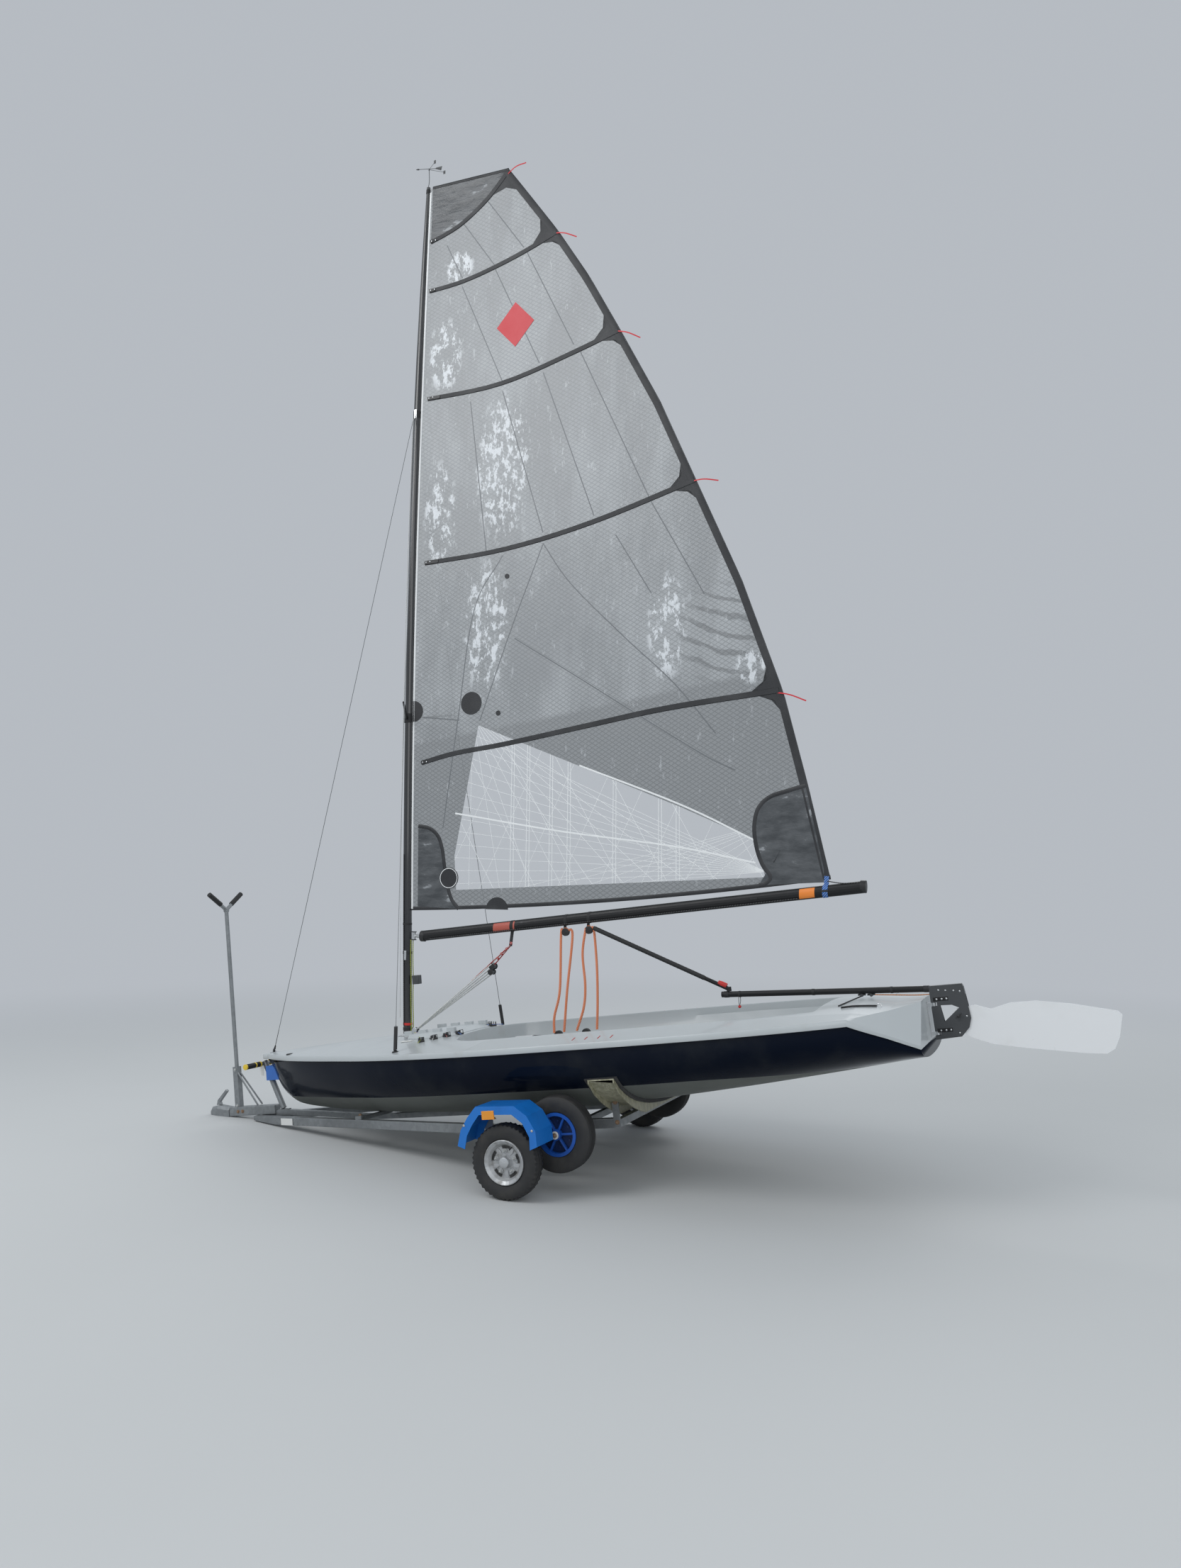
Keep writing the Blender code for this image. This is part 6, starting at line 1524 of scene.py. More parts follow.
class DINGHY_OT_mast_fittings(DinghyStep):
    """Lines along the mast, bands at its fittings and the wind indicator above it"""
    bl_idname = "dinghy.mast_fittings"
    bl_label = "Mast fittings"

    def make(self, context):
        lines, thin, pad, halyard, bands, red, plates, vane = shapes(8)
        for ahead, y in ((0.034, -0.012), (0.036, 0.01)):
            heights = [lerp(0.02, 0.6, k / 8) for k in range(9)]
            lines.line(curve_through([(mast_x(z) + ahead, y + 0.002 * sin(k * 1.7), z)
                                      for k, z in enumerate(heights)], 4), 0.0028)
        lines.piece("mast_control_lines", "lime_rope", BOAT, RIG, 50)
        for ahead, y in ((-0.05, -0.02), (-0.034, 0.012)):
            thin.line(curve_through([(ahead, y, 0.1), (ahead - 0.012, y, 0.62), (ahead - 0.03, y, 1.6),
                                     (mast_x(3.0) - mast_radius(3.0) - 0.006, y * 0.5, 3.0),
                                     (mast_x(4.1) - mast_radius(4.1) - 0.002, y * 0.4, 4.1)]), 0.002, 6)
        thin.piece("halyard_lines", "white_rope", BOAT, RIG, 50)
        pad.bar([(0.062, 0.0, 0.318), (0.056, 0.0, 0.374)], 0.046, 0.05, 0.006, up=(1, 0, 0))
        pad.piece("mast_pad", "charcoal", BOAT, RIG, bevel=0.003)
        halyard.line(curve_through([(mast_x(z) - 0.01, -mast_radius(z) - 0.0026, z)
                                    for z in (0.05, 0.3, 0.6, 0.9, 1.15)], 5), 0.0024)
        halyard.piece("mast_side_line", "black_rope", BOAT, RIG, 50)
        bands.bands(((0.03, 0.02, 0.0014), (0.515, 0.018, 0.0012), (0.7, 0.014, 0.0012),
                     (4.11, 0.05, 0.0016), (5.68, 0.03, 0.0016)), mast_around, 32)
        bands.piece("mast_bands", "grip", BOAT, RIG, 40)
        red.bands([(0.062, 0.016, 0.0012)], mast_around, 32)
        red.piece("mast_red_band", "red", BOAT, RIG, 40)
        for z in (0.5, 4.11):
            for side in SIDES:
                x, y = mast_x(z), side * (mast_radius(z) + 0.0006)
                plates.bar([(x, y, z - 0.03), (x, y, z + 0.03)], 0.018, 0.0022, 0.0008, up=ACROSS)
                plates.studs([(x, y, z - 0.02), (x, y, z + 0.02)],
                             [(0.0, 0.004), (0.0022, 0.0036), (0.003, 0.0018)], 10)
        plates.piece("mast_plates", "steel", BOAT, RIG)
        top = mast_x(MAST_LENGTH)
        vane.line(curve_through([(top - 0.004, 0.0, MAST_LENGTH - 0.006), (top + 0.004, 0.0, 5.76),
                                 (top, 0.0, 5.84)], 5), 0.0022)
        vane.line([(-0.095, 0.0, 5.868), (0.101, 0.0, 5.826)], 0.0018)
        vane.turned((top, 0.0, 5.842), UP, [(-0.006, 0.004), (0.006, 0.004)], 10)
        vane.bar([(0.101, 0.0, 5.826), (0.052, 0.0, 5.838)], 0.03, 0.001, up=ACROSS, scales=[1.0, 0.3])
        for side in SIDES:
            y = side * 0.06
            vane.line([(top, 0.0, 5.842), (0.085, y, 5.838)], 0.0012, 6, UP)
            vane.bar([(0.085, y, 5.826), (0.085, y, 5.85)], 0.016, 0.001, up=ACROSS)
        vane.turned((-0.095, 0.0, 5.868), (1, 0, -0.2), [(-0.012, 0.001), (0.0, 0.0045), (0.012, 0.0045),
                                                         (0.016, 0.0018)], 10)
        vane.piece("wind_indicator", "charcoal", BOAT, RIG)


# Rudder, level frame
PINTLE_X = 2.104
# bolts of the rudder head, x and z
HEAD_BOLTS = ((2.14, 0.612), (2.175, 0.608), (2.215, 0.604), (2.245, 0.598), (2.262, 0.47),
              (2.215, 0.388))
BLADE_BOLT = (2.222, 0.4725)
TILLER_FRONT = (0.957, 0.685)
TILLER_BACK = (2.262, 0.612)
EXTENSION_JOINT = Vector((1.002, 0.0, 0.712))
EXTENSION_DIRECTION = Vector((-cos(radians(29.0)) * cos(radians(3.3)),
                              -cos(radians(29.0)) * sin(radians(3.3)), sin(radians(29.0))))
EXTENSION_LENGTH = 0.885


def tiller_z(x):
    return lerp(TILLER_FRONT[1], TILLER_BACK[1], (x - TILLER_FRONT[0]) / (TILLER_BACK[0] - TILLER_FRONT[0]))


class DINGHY_OT_rudder_fittings(DinghyStep):
    """Pintle straps, bolts and wing nut on the rudder head"""
    bl_idname = "dinghy.rudder_fittings"
    bl_label = "Rudder fittings"

    def make(self, context):
        straps, heads, dark = shapes(3)
        for z in (0.406, 0.566):
            for side in SIDES:
                y = side * 0.0172
                straps.bar([(PINTLE_X + 0.002, y, z), (PINTLE_X + 0.078, y, z)], 0.0016, 0.02, 0.0004)
                heads.studs([(PINTLE_X + ahead, y + side * 0.0006, z) for ahead in (0.02, 0.046, 0.07)],
                            [(0.0, 0.0046), (0.0018, 0.0044), (0.003, 0.0024)])
        heads.studs([(x, side * 0.017, z) for x, z in HEAD_BOLTS for side in SIDES],
                    [(0.0, 0.0042), (0.0016, 0.004), (0.0028, 0.002)])
        straps.piece("pintle_straps", "anodised", "rudder")
        heads.piece("rudder_bolts", "steel", "rudder")
        x, z = BLADE_BOLT
        dark.studs([(x, side * 0.024, z) for side in SIDES],
                   [(0.0, 0.0085), (0.004, 0.0085), (0.006, 0.005), (0.007, 0.0015)], 14)
        for angle in (35, 215):
            way = spoke(radians(angle))
            dark.bar([Vector((x, -0.0275, z)) + way * 0.004, Vector((x, -0.029, z)) + way * 0.02],
                     0.0035, 0.011, 0.001, up=ACROSS, scales=[1.0, 0.8])
        dark.piece("blade_wing_nut", "black", "rudder")


class DINGHY_OT_tiller_fittings(DinghyStep):
    """Downhaul line along the tiller, its cleats, and the extension's joint and grip"""
    bl_idname = "dinghy.tiller_fittings"
    bl_label = "Tiller fittings"

    def make(self, context):
        line, cleats, jaws, bands, string, bead, boot, grip = shapes(8)
        line.line(curve_through([(x, -0.006, tiller_z(x) - drop) for x, drop in
                                 ((1.79, 0.0215), (1.9, 0.026), (2.02, 0.03), (2.1, 0.028))], 5), 0.0026)
        line.piece("rudder_downhaul", "orange_rope", "rudder", angle=50)
        for x in (1.74, 1.79):
            z = tiller_z(x) - 0.0168
            cleats.bar([(x - 0.02, 0.0, z - 0.004), (x + 0.02, 0.0, z - 0.005)], 0.018, 0.009, 0.002)
            jaws.turned((x, 0.0, z - 0.008), ACROSS, [(-0.01, 0.006), (-0.008, 0.008), (0.008, 0.008),
                                                      (0.01, 0.006)], 12)
        cleats.piece("tiller_cleats", "black", "rudder")
        jaws.piece("tiller_cleat_wheels", "charcoal", "rudder")
        bands.bands(((0.985, 0.03, 0.0014), (1.062, 0.012, 0.0014), (1.48, 0.016, 0.0014),
                     (1.9, 0.014, 0.0014), (2.08, 0.03, 0.0014)), tiller_around, 24)
        bands.piece("tiller_bands", "grip", "rudder", angle=40)
        for side in SIDES:
            string.line(curve_through([(1.058, side * 0.014, tiller_z(1.058) - 0.008),
                                       (1.056, side * 0.018, 0.642), (1.052, side * 0.004, 0.616)], 5),
                        0.0016, 6)
        string.piece("tiller_string", "black_rope", "rudder", angle=50)
        bead.ball((1.052, 0.0, 0.61), 0.009)
        bead.piece("tiller_bead", "red", "rudder")
        boot.turned(EXTENSION_JOINT + Vector((0, 0, 0.012)), EXTENSION_DIRECTION,
                    [(0.012, 0.0135), (0.016, 0.0155), (0.048, 0.015), (0.056, 0.0132),
                     (0.064, 0.0126)], 20)
        boot.piece("extension_boot", "red", "extension")
        grip.turned(EXTENSION_JOINT, EXTENSION_DIRECTION,
                    ribbed(0.15, EXTENSION_LENGTH - 0.003, 64, 0.0132, 0.0007, 0.0121), 18)
        grip.piece("extension_grip", "grip", "extension", angle=60)


# Wheels, level frame: x, distance out and z of the wheel's middle
ROAD_WHEEL = (0.0, 0.934, 0.0)
TROLLEY_WHEEL = (0.218, 0.745, 0.093)
WHEEL_SIDES = ((-1, "port"), (1, "starboard"))
# radius, width and radius of the seat
ROAD_TYRE = (0.192, 0.098, 0.114)
TROLLEY_TYRE = (0.197, 0.095, 0.113)
# share of half the width, share of the seat's radius
TYRE_BEAD = ((0.62, 0.92), (0.66, 1.0), (0.8, 1.05))
# share of half the width, share of the way from the seat to the crown
TYRE_WALL = ((0.93, 0.3), (0.99, 0.5), (0.97, 0.68), (0.9, 0.84), (0.8, 0.945), (0.66, 0.99))


def add_tyre(drawing, centre, size, grooves, groove_depth, sipes=0):
    """A tyre about the y axis: side walls, and a crown cut by round grooves and by sipes across it."""
    radius, width, seat = size
    half = width / 2
    side = [(half * out, seat * up) for out, up in TYRE_BEAD]
    side += [(half * out, lerp(seat, radius, up)) for out, up in TYRE_WALL]
    marks = [(-half * 0.45, radius)]
    for y, w in grooves:
        marks += [(y - w / 2, radius), (y - w / 2 + 0.0006, radius - groove_depth),
                  (y + w / 2 - 0.0006, radius - groove_depth), (y + w / 2, radius)]
    marks.append((half * 0.45, radius))
    steps = sipes * 2 if sipes else 56
    rings = []
    for a, r in [(-a, r) for a, r in side] + marks + side[::-1]:
        cut = sipes and r > radius * 0.83 and abs(a) > half * 0.3
        ring = []
        for k in range(steps):
            angle = 2 * pi * (k + 0.2 * a / half) / steps
            reach = r - (groove_depth * 0.9 if cut and k % 2 else 0.0)
            ring.append((centre[0] + reach * cos(angle), centre[1] + a, centre[2] + reach * sin(angle)))
        rings.append(drawing.ring(ring))
    drawing.skin([*rings, rings[0]], capped=False)


class DINGHY_OT_tyres(DinghyStep):
    """Tyres with their treads, in place of the plain ones"""
    bl_idname = "dinghy.tyres"
    bl_label = "Tyres"

    def make(self, context):
        sizes = context.scene.dinghy_trailer
        ribs = [(-0.0176 + 0.0088 * k, 0.0044) for k in range(5)]
        for kind, wheel, size, grooves, depth, sipes in (
                ("road", ROAD_WHEEL, ROAD_TYRE, ((-0.012, 0.004), (0.012, 0.004)),
                 sizes.tread_depth * 0.8, sizes.tread_count),
                ("trolley", TROLLEY_WHEEL, TROLLEY_TYRE, ribs, 0.005, 0)):
            for side, name in WHEEL_SIDES:
                x, out, z = wheel
                drawing = Shape()
                add_tyre(drawing, (x, side * out, z), size, grooves, depth, sipes)
                made = drawing.piece(f"{kind}_tread_{name}", "rubber", None, angle=30)
                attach(made, f"{kind}_wheel_{name}")
                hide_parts(f"{kind}_tyre_{name}")


class DINGHY_OT_rims(DinghyStep):
    """Nuts, domed caps, valves and raised webs on the wheels"""
    bl_idname = "dinghy.rims"
    bl_label = "Rim fittings"

    def make(self, context):
        for side, name in WHEEL_SIDES:
            axis = (0, side, 0)
            face = hub_points(ROAD_WHEEL, side)
            webs, nuts, cap, valve = shapes(4)
            for k in range(5):
                way = spoke(2 * pi * k / 5 + 0.3) * 0.056
                webs.turned(face(0.015) + way, axis,
                            [(-0.002, 0.015), (0.003, 0.0142), (0.0055, 0.012), (0.006, 0.0075)], 20)
                nuts.turned(face(0.0203) + way, axis, [(0.0, 0.0082), (0.008, 0.008), (0.0105, 0.0058)], 6)
                nuts.turned(face(0.0303) + way, axis, [(0.0, 0.0042), (0.006, 0.0042), (0.0072, 0.003)], 12)
                lie = spoke(2 * pi * (k + 0.5) / 5 + 0.3)
                webs.bar([face(0.0153) + lie * 0.04, face(0.0193) + lie * 0.06, face(0.0153) + lie * 0.08],
                         0.024, 0.005, 0.0018, up=ACROSS, scales=[0.55, 1.0, 0.7])
            cap.turned(face(0.0305), axis, [(-0.006, 0.03), (0.0005, 0.0305), (0.004, 0.029),
                                            (0.01, 0.0262), (0.0135, 0.018), (0.0145, 0.003)], 28)
            way = spoke(0.95)
            valve.line([face(0.033) + way * 0.0915, face(0.043) + way * 0.0835, face(0.051) + way * 0.0795],
                       0.0034, 10, UP)
            body = f"road_wheel_{name}"
            webs.piece(f"rim_webs_{name}", "rim", body, angle=40)
            nuts.piece(f"wheel_nuts_{name}", "nut", body, angle=30)
            cap.piece(f"hub_cap_{name}", "steel", body, angle=40)
            valve.piece(f"rim_valve_{name}", "grip", body)
            face = hub_points(TROLLEY_WHEEL, side)
            ribs, washer, nut = shapes(3)
            for k in range(6):
                way, lie = spoke(2 * pi * k / 6), spoke(2 * pi * k / 6 + pi / 6)
                ribs.bar([face(0.029) + way * 0.024, face(0.029) + way * 0.096], 0.0035, 0.003, 0.0008,
                         up=ACROSS)
                ribs.turned(face(0.0066) + lie * 0.066, axis,
                            [(0.0, 0.009), (0.004, 0.0084), (0.0046, 0.004)], 16)
            ribs.turned(face(0.0445), axis, [(0.0, 0.0285), (0.0024, 0.028), (0.003, 0.02)], 24)
            washer.turned(face(0.05), axis, [(0.0, 0.0205), (0.0026, 0.0205), (0.0028, 0.0135)], 24)
            nut.turned(face(0.0526), axis, [(0.0, 0.0125), (0.005, 0.0125), (0.0068, 0.0105)], 6)
            nut.turned(face(0.059), axis, [(0.0, 0.007), (0.004, 0.007), (0.0052, 0.005)], 14)
            ribs.piece(f"trolley_hub_ribs_{name}", "hub", f"trolley_wheel_{name}", angle=40)
            washer.piece(f"hub_washer_{name}", "white", angle=40)
            nut.piece(f"hub_nut_{name}", "zinc_bolt", angle=30)


# outer face of the mudguards
GUARD_FACE_Y = 1.0164


class DINGHY_OT_trailer_bolts(DinghyStep):
    """Bolts on the trailer's frames and bolts at its front"""
    bl_idname = "dinghy.trailer_bolts"
    bl_label = "Trailer bolts"

    def make(self, context):
        bolts, shiny = shapes(2)
        for side in SIDES:
            bolts.bolt((0.461, side * 0.5305, 0.207), (0, side, 0), 0.01, 0.008)
            bolts.bolt((0.461, side * 0.5305, 0.1), (0, side, 0), 0.0085, 0.008)
            for x in (-2.6, -2.56):
                bolts.bolt((x, side * 0.0302, 0.183), (0, side, 0), 0.008, 0.0075)
            for x in (-0.03, 0.03):
                bolts.bolt((x, side * 0.8259, 0.235), (0, -side, 0), 0.007, 0.006)
        bolts.piece("frame_bolts", "zinc_bolt", angle=30)
        for x in (-2.196, -2.248):
            shiny.bolt((x, 0.0, 0.1765), UP, 0.0065, 0.006)
        shiny.piece("post_bolts", "nut", angle=30)


class DINGHY_OT_handle_grips(DinghyStep):
    """Black grips with yellow bands on the trolley's handle, and its blank tag"""
    bl_idname = "dinghy.handle_grips"
    bl_label = "Handle grips"

    def make(self, context):
        grips, bands, tag = shapes(3)
        x, z = -2.364, 0.4925
        for side in SIDES:
            grips.turned((x, 0.0, z), (0, side, 0), ribbed(0.052, 0.193, 24, 0.0172, 0.0009, 0.0142), 20)
            for low in (0.044, 0.092, 0.182):
                bands.turned((x, 0.0, z), (0, side, 0), [(low, 0.0142), (low + 0.001, 0.0188),
                                                         (low + 0.011, 0.0188), (low + 0.012, 0.0142)], 20)
        grips.piece("handle_grips", "grip", angle=60)
        bands.piece("handle_bands", "yellow", angle=40)
        tag.bar([(x, -0.03, z - 0.014), (x - 0.002, -0.03, z - 0.08)], 0.034, 0.0012, 0.0004, up=ACROSS)
        tag.piece("blank_tag", "white")


class DINGHY_OT_crutch_pads(DinghyStep):
    """Rubber sleeves on the mast support's crutch and clips on its post"""
    bl_idname = "dinghy.crutch_pads"
    bl_label = "Crutch pads"

    def make(self, context):
        pads, clips = shapes(2)
        for side in SIDES:
            run = Vector((0.0, side * 0.156, 0.107))
            end = run.length
            pads.turned((-2.612, 0.0, 1.573), run, [(0.06, 0.0135), (0.062, 0.0166), (end + 0.001, 0.0166),
                                                    (end + 0.004, 0.012)], 18)
        pads.piece("crutch_sleeves", "grip", angle=40)
        for z in (0.463, 0.22):
            clips.bolt((-2.612, -0.0205, z), (0, -1, 0), 0.0075, 0.006)
        clips.piece("post_clips", "nut", angle=30)


class DINGHY_OT_guard_fittings(DinghyStep):
    """Amber reflectors and bolts of the mudguards"""
    bl_idname = "dinghy.guard_fittings"
    bl_label = "Mudguard fittings"

    def make(self, context):
        reflectors, bolts = shapes(2)
        for side in SIDES:
            outer = side * GUARD_FACE_Y
            reflectors.bar([(-0.077, outer, 0.247), (-0.005, outer, 0.247)], 0.007, 0.044, 0.001)
            bolts.studs([(-0.19, outer, 0.2), (0.205, outer, 0.16)],
                        [(0.0, 0.0065), (0.002, 0.0062), (0.0035, 0.0035)], 14)
        reflectors.piece("amber_reflectors", "amber", bevel=0.0015)
        bolts.piece("guard_bolts", "nut")


class DINGHY_OT_trailer_details(DinghyStep):
    """Cross bar to the spine, its bolts, and the blank plate"""
    bl_idname = "dinghy.trailer_details"
    bl_label = "Trailer details"

    def make(self, context):
        zinc, nuts, plate = shapes(3)
        for side in SIDES:
            x, y = -1.344, side * 0.345
            zinc.bar([(x, y, 0.15), (-1.341, side * 0.03, 0.141)], 0.03, 0.022, 0.002)
            zinc.bar([(x, y, 0.112), (x, y, 0.17)], 0.052, 0.046, 0.003, up=(1, 0, 0))
            nuts.bolt((x, y, 0.17), UP, 0.0085, 0.008)
            for x in (-0.275, 0.275):
                nuts.bolt((x, side * 0.56, 0.15), UP, 0.008, 0.008)
        zinc.piece("cross_bar", "galvanised")
        nuts.piece("bar_bolts", "zinc_bolt", angle=30)
        rows = []
        for x in (-2.128, -2.003):
            out = lerp(0.04, 0.7, (x + 2.44) / 2.315) + 0.0241
            rows.append(plate.ring((x, -out - grow, z) for grow, z in
                                   ((0.0, 0.1), (0.0016, 0.101), (0.0016, 0.143), (0.0, 0.144))))
        plate.skin_open(rows)
        plate.piece("blank_plate", "white", smooth=False)


# cleats on either side of the deck, x and distance out
CLEAT_PLACES = ((-0.83, 0.38), (-0.78, 0.32), (-0.73, 0.26), (-0.68, 0.2))


class DINGHY_OT_deck_fittings(DinghyStep):
    """Fitting at the bow, the shrouds' pins and the side decks' grommets"""
    bl_idname = "dinghy.deck_fittings"
    bl_label = "Deck fittings"

    def make(self, context):
        bright, dark = shapes(2)
        for side in SIDES:
            x, y, z = on_deck(-0.84, side * 0.64)
            dark.turned((x, y, z - 0.001), UP,
                        [(0.0, 0.02), (0.004, 0.019), (0.008, 0.012), (0.01, 0.006)], 20)
            bright.line([(x - 0.012, y, z + 0.013), (x + 0.012, y, z + 0.013)], 0.003, 10, UP)
            dark.turned(on_deck(-1.95, side * 0.23, -0.002), UP,
                        [(0.0, 0.024), (0.004, 0.023), (0.006, 0.018), (0.007, 0.004)], 24)
        x, y, z = on_deck(-2.277, 0.0)
        bright.bar([(x - 0.028, y, z + 0.0015), (x + 0.034, y, z + 0.0015)], 0.02, 0.003, 0.001)
        for shift in (-0.016, 0.022):
            bright.turned((x + shift, y, z + 0.003), UP,
                          [(0.0, 0.0044), (0.0015, 0.0042), (0.0026, 0.002)], 12)
        eye = ((-0.012, 0), (-0.006, 0.02), (0.004, 0.028), (0.012, 0.016), (0.016, 0))
        bright.line(curve_through([(x + ahead, y, z + up) for ahead, up in eye], 5), 0.0028)
        bright.piece("deck_eyes", "steel")
        dark.piece("deck_grommets", "black")


class DINGHY_OT_cleats(DinghyStep):
    """Cam cleats on the deck, the control lines that lead to them, vents and marks"""
    bl_idname = "dinghy.cleats"
    bl_label = "Cleats"

    def make(self, context):
        bodies, jaws, vents, marks = shapes(4)
        lines = {name: Shape() for name in ("lime_rope", "white_rope", "red_rope", "blue_rope")}
        for side in SIDES:
            for drawing, (x, out) in zip(lines.values(), CLEAT_PLACES):
                y = side * out
                foot = on_deck(x, y, 0.004)
                turn = atan2(y, x + 1.15)
                cam_cleat(bodies, jaws, foot, turn, 1.25)
                start = Vector((-1.105, side * 0.03, deck_height(-1.1, 0.0) + 0.016))
                lead = foot + Vector((0, 0, 0.009)) - Vector((cos(turn), sin(turn), 0)) * 0.02
                middle = start.lerp(lead, 0.55)
                middle.z = max(deck_height(middle.x, middle.y) + 0.006, middle.z)
                tail = lead + Vector((cos(turn + side * 0.3), sin(turn + side * 0.3), 0)) * 0.1
                drawing.line(curve_through([start, middle, lead, on_deck(tail.x, tail.y, 0.006)]),
                             context.scene.dinghy_hull.line_radius, 8, UP)
            x, y, z = on_deck(-0.962, side * 0.33, 0.002)
            vents.bar([(x - 0.036, y, z), (x + 0.036, y, z)], 0.04, 0.006, 0.0028)
            for k in range(4):
                at = 0.333 + 0.074 * k
                marks.bar([on_deck(at, side * 0.67, 0.0008), on_deck(at + 0.012, side * 0.734, 0.0008)],
                          0.005, 0.0012)
        bodies.piece("cam_cleat_bodies", "black")
        jaws.piece("cam_cleat_jaws", "charcoal")
        vents.piece("deck_vents", "white")
        marks.piece("sheet_marks", "red")
        for name, drawing in lines.items():
            drawing.piece(f"control_{name}", name, angle=50)


class DINGHY_OT_stern_fittings(DinghyStep):
    """Strap and rope at the quarter, and pad eyes"""
    bl_idname = "dinghy.stern_fittings"
    bl_label = "Stern fittings"

    def make(self, context):
        strap, eyes = shapes(2)
        strap.line(curve_through([on_deck(x, y, 0.006) for x, y in
                                  ((1.7, -0.37), (1.76, -0.35), (1.82, -0.33), (1.87, -0.315))]),
                   0.005, 8, UP)
        strap.line([(1.736, 0.0, 0.612), on_deck(1.673, -0.3, 0.004)], 0.0036)
        strap.piece("quarter_strap", "grip", angle=50)
        for side in SIDES:
            x, y, z = on_deck(1.88, side * 0.3)
            eye = ((-0.012, 0), (-0.006, 0.014), (0.006, 0.014), (0.012, 0))
            eyes.line(curve_through([(x + ahead, y, z + up) for ahead, up in eye], 4), 0.0024)
        eyes.piece("quarter_eyes", "steel")


class DINGHY_OT_cockpit(DinghyStep):
    """Toe straps along the cockpit and the line that holds them"""
    bl_idname = "dinghy.cockpit"
    bl_label = "Cockpit straps"

    def make(self, context):
        straps, line = shapes(2)
        for side in SIDES:
            straps.bar(curve_through([(x, side * out, z) for x, out, z in
                                      ((-0.43, 0.13, 0.395), (0.05, 0.15, 0.405), (0.7, 0.15, 0.43),
                                       (1.25, 0.13, 0.47), (1.5, 0.09, 0.5))], 8), 0.05, 0.004, 0.001)
        straps.piece("toe_straps", "grip")
        line.line(curve_through([(1.5, -0.09, 0.5), (1.58, -0.05, 0.535), (1.64, 0.0, 0.578),
                                 (1.58, 0.05, 0.535), (1.5, 0.09, 0.5)]), 0.0028, 8, UP)
        line.piece("toe_strap_line", "black_rope", angle=50)


# Stage
BACKDROP = (0.47, 0.5, 0.54)
SKY = (0.86, 0.93, 1.0)
FLOOR_HALF = 60.0
# place, aim, width, share of the main power
LAMPS = (
    ("key_lamp", (-4.5, -6.5, 8.0), (0.0, 0.0, 1.5), 5.0, 1.0),
    ("fill_lamp", (6.0, -7.0, 5.0), (0.3, 0.0, 1.2), 6.0, 0.45),
    ("back_lamp", (1.0, 8.0, 7.5), (0.0, 0.0, 2.0), 6.0, 0.55),
)
CAMERA_PLACE = (2.786, -6.07, 1.647)
# the camera's turn about the upright, its rise and its roll
CAMERA_ANGLES = (24.55, 4.89, -0.16)


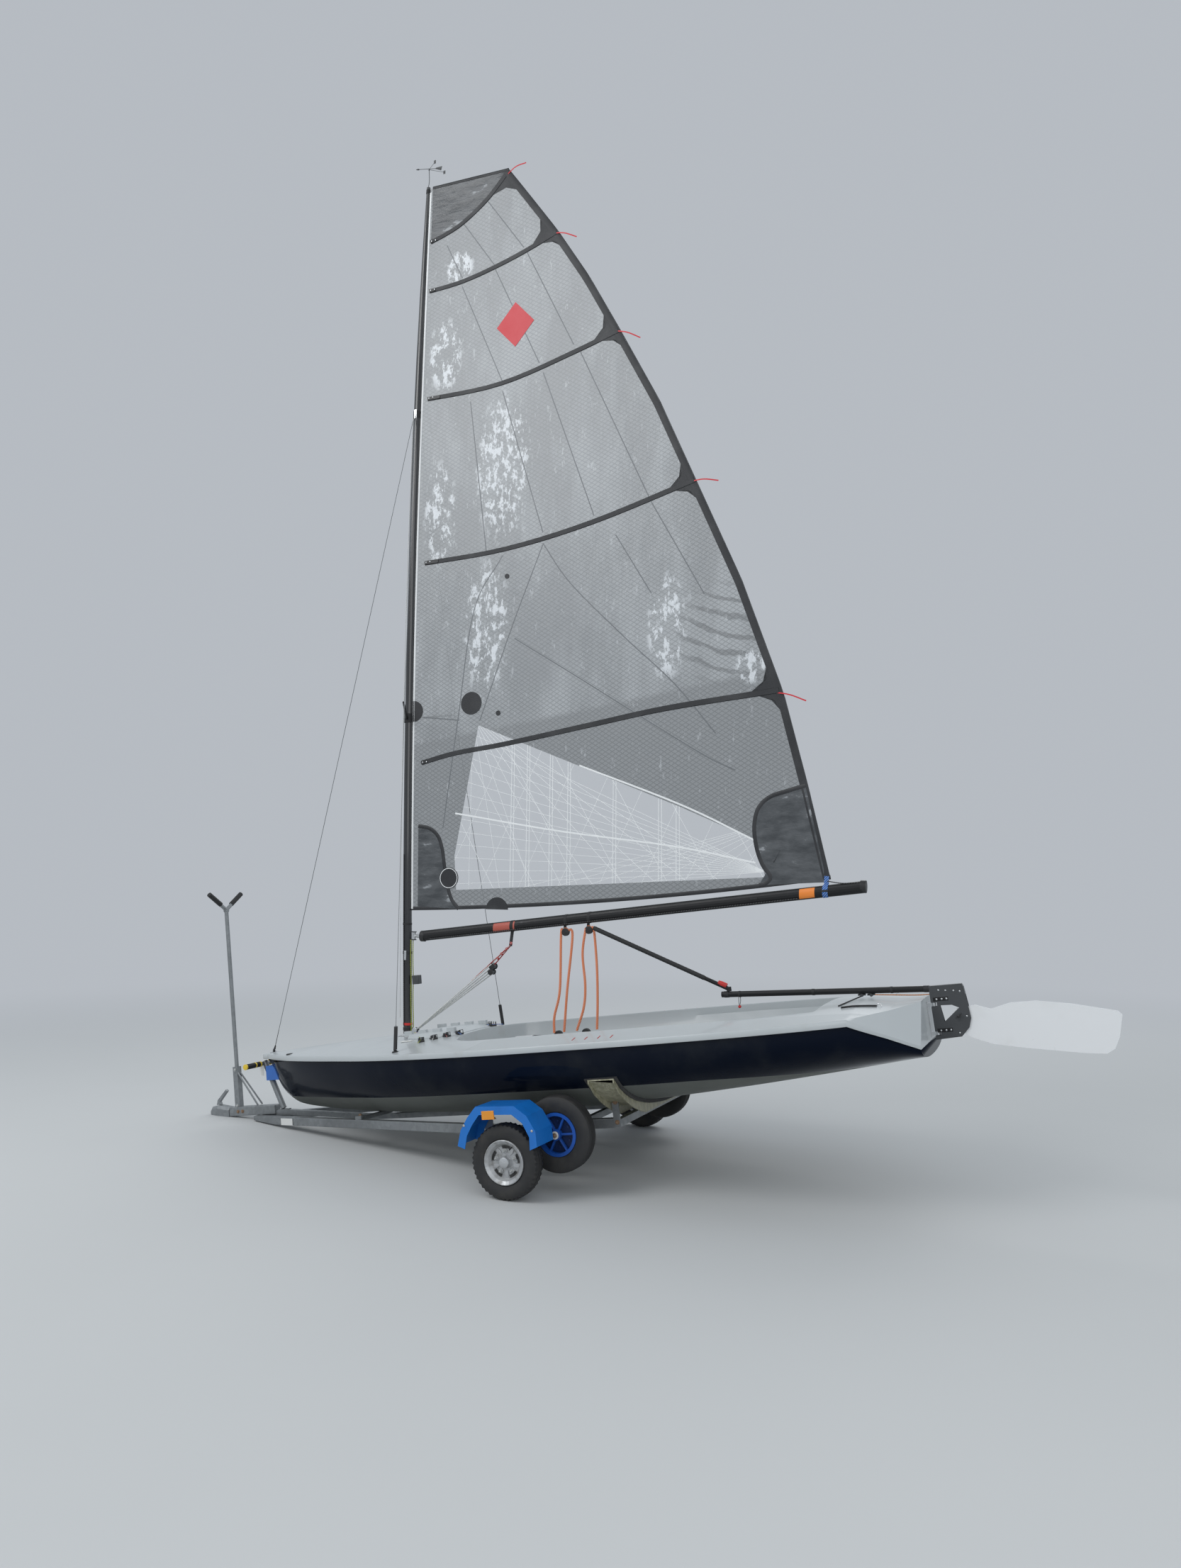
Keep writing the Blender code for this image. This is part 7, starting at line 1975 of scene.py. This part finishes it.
class DINGHY_OT_stage(DinghyStep):
    """Floor, lamps, sky and the camera at the photograph's place"""
    bl_idname = "dinghy.stage"
    bl_label = "Stage"

    def make(self, context):
        settings = context.scene.dinghy_stage
        scene = context.scene
        scene.view_settings.view_transform = "Standard"
        drawing = Shape()
        drawing.work.faces.new(drawing.ring((x * FLOOR_HALF, y * FLOOR_HALF, 0) for x, y in
                                            ((-1, -1), (1, -1), (1, 1), (-1, 1))))
        ground = Finish("pale_floor", settings.floor_color, 0.9)
        ground.paint(ground.mix(ground.noise(0.8, 3.0).span(0.3, 0.7) * 0.15, settings.floor_color[:],
                                shaded(settings.floor_color, 0.94)))
        x, y, blank = ground.axes()
        far = ((x * x + y * y) ** 0.5).span(4.5, 13.0)
        seen = ground.node("ShaderNodeLightPath")
        glow = ground.node("ShaderNodeEmission", {}, {"Color": (*BACKDROP, 1.0), "Strength": 1.0})
        blend = ground.node("ShaderNodeMixShader", {},
                            {0: far * seen, 1: ground.shader.outputs[0], 2: glow})
        out = next(n for n in ground.nodes if n.type == "OUTPUT_MATERIAL")
        ground.links.new(blend.socket, out.inputs["Surface"])
        floor = drawing.piece("studio_floor", ground.material, None, None, smooth=False)
        world = bpy.data.worlds.new("even_sky")
        world.use_nodes = True
        scene.world = world
        nodes = world.node_tree.nodes
        out, light = (next(n for n in nodes if n.type == kind) for kind in ("OUTPUT_WORLD", "BACKGROUND"))
        pale, path, seen, pick = (nodes.new("ShaderNode" + kind)
                                  for kind in ("Background", "LightPath", "Math", "MixShader"))
        for node, color, strength in ((light, SKY, settings.sky_strength), (pale, BACKDROP, 1.0)):
            node.inputs["Color"].default_value = (*color, 1.0)
            node.inputs["Strength"].default_value = strength
        seen.operation = "MAXIMUM"
        for source, target in ((path.outputs["Is Camera Ray"], seen.inputs[0]),
                               (path.outputs["Is Transmission Ray"], seen.inputs[1]),
                               (seen.outputs[0], pick.inputs[0]), (light.outputs[0], pick.inputs[1]),
                               (pale.outputs[0], pick.inputs[2]), (pick.outputs[0], out.inputs["Surface"])):
            world.node_tree.links.new(source, target)
        for name, place, aim, width, share in LAMPS:
            lamp = bpy.data.lights.new(name, "AREA")
            lamp.shape = "SQUARE"
            lamp.size = width
            lamp.energy = settings.lamp_power * share
            holder = bpy.data.objects.new(name, lamp)
            scene.collection.objects.link(holder)
            holder.location = place
            holder.rotation_euler = (Vector(aim) - Vector(place)).to_track_quat("-Z", "Y").to_euler()
        lens = bpy.data.cameras.new("photo_camera")
        lens.sensor_width = 36.0
        lens.sensor_fit = "AUTO"
        lens.lens = settings.lens
        lens.clip_end = 200.0
        camera = bpy.data.objects.new("photo_camera", lens)
        scene.collection.objects.link(camera)
        turn, rise, roll = (radians(angle) for angle in CAMERA_ANGLES)
        forward = Vector((-sin(turn) * cos(rise), cos(turn) * cos(rise), sin(rise)))
        right = Vector((cos(turn), sin(turn), 0.0))
        right.rotate(Matrix.Rotation(roll, 3, forward))
        up = right.cross(forward)
        camera.matrix_world = Matrix(((right.x, up.x, -forward.x, CAMERA_PLACE[0]),
                                      (right.y, up.y, -forward.y, CAMERA_PLACE[1]),
                                      (right.z, up.z, -forward.z, CAMERA_PLACE[2]), (0, 0, 0, 1)))
        scene.camera = camera


STEPS = (
    DINGHY_OT_finishes, DINGHY_OT_sail, DINGHY_OT_hull, DINGHY_OT_deck,
    DINGHY_OT_sail_tapes, DINGHY_OT_sail_marks, DINGHY_OT_mainsheet, DINGHY_OT_kicker,
    DINGHY_OT_boom_fittings, DINGHY_OT_mast_fittings, DINGHY_OT_rudder_fittings, DINGHY_OT_tiller_fittings,
    DINGHY_OT_tyres, DINGHY_OT_rims, DINGHY_OT_trailer_bolts, DINGHY_OT_handle_grips,
    DINGHY_OT_crutch_pads, DINGHY_OT_guard_fittings, DINGHY_OT_trailer_details, DINGHY_OT_deck_fittings,
    DINGHY_OT_cleats, DINGHY_OT_stern_fittings, DINGHY_OT_cockpit, DINGHY_OT_stage,
)


class DINGHY_PT_sidebar(bpy.types.Panel):
    """Lists the dinghy's sizes, colours and steps"""
    bl_idname = "DINGHY_PT_sidebar"
    bl_label = "Dinghy"
    bl_space_type = "VIEW_3D"
    bl_region_type = "UI"
    bl_category = "Dinghy"

    def draw(self, context):
        for group in ("dinghy_hull", "dinghy_rig", "dinghy_trailer", "dinghy_stage"):
            owner = getattr(context.scene, group)
            box = self.layout.box()
            for prop in owner.bl_rna.properties:
                if not prop.is_readonly and prop.identifier != "name":
                    box.prop(owner, prop.identifier)
        for step in STEPS:
            self.layout.operator(step.bl_idname)


GROUPS = (
    ("dinghy_hull", DinghyHullProperties),
    ("dinghy_rig", DinghyRigProperties),
    ("dinghy_trailer", DinghyTrailerProperties),
    ("dinghy_stage", DinghyStageProperties),
)


def register():
    for name, group in GROUPS:
        bpy.utils.register_class(group)
        setattr(bpy.types.Scene, name, PointerProperty(type=group))
    for step in (*STEPS, DINGHY_PT_sidebar):
        bpy.utils.register_class(step)


def unregister():
    for step in (*STEPS, DINGHY_PT_sidebar):
        bpy.utils.unregister_class(step)
    for name, group in GROUPS:
        delattr(bpy.types.Scene, name)
        bpy.utils.unregister_class(group)


def main():
    register()
    for step in STEPS:
        kind, name = step.bl_idname.split(".")
        getattr(getattr(bpy.ops, kind), name)()


if __name__ == "__main__":
    main()
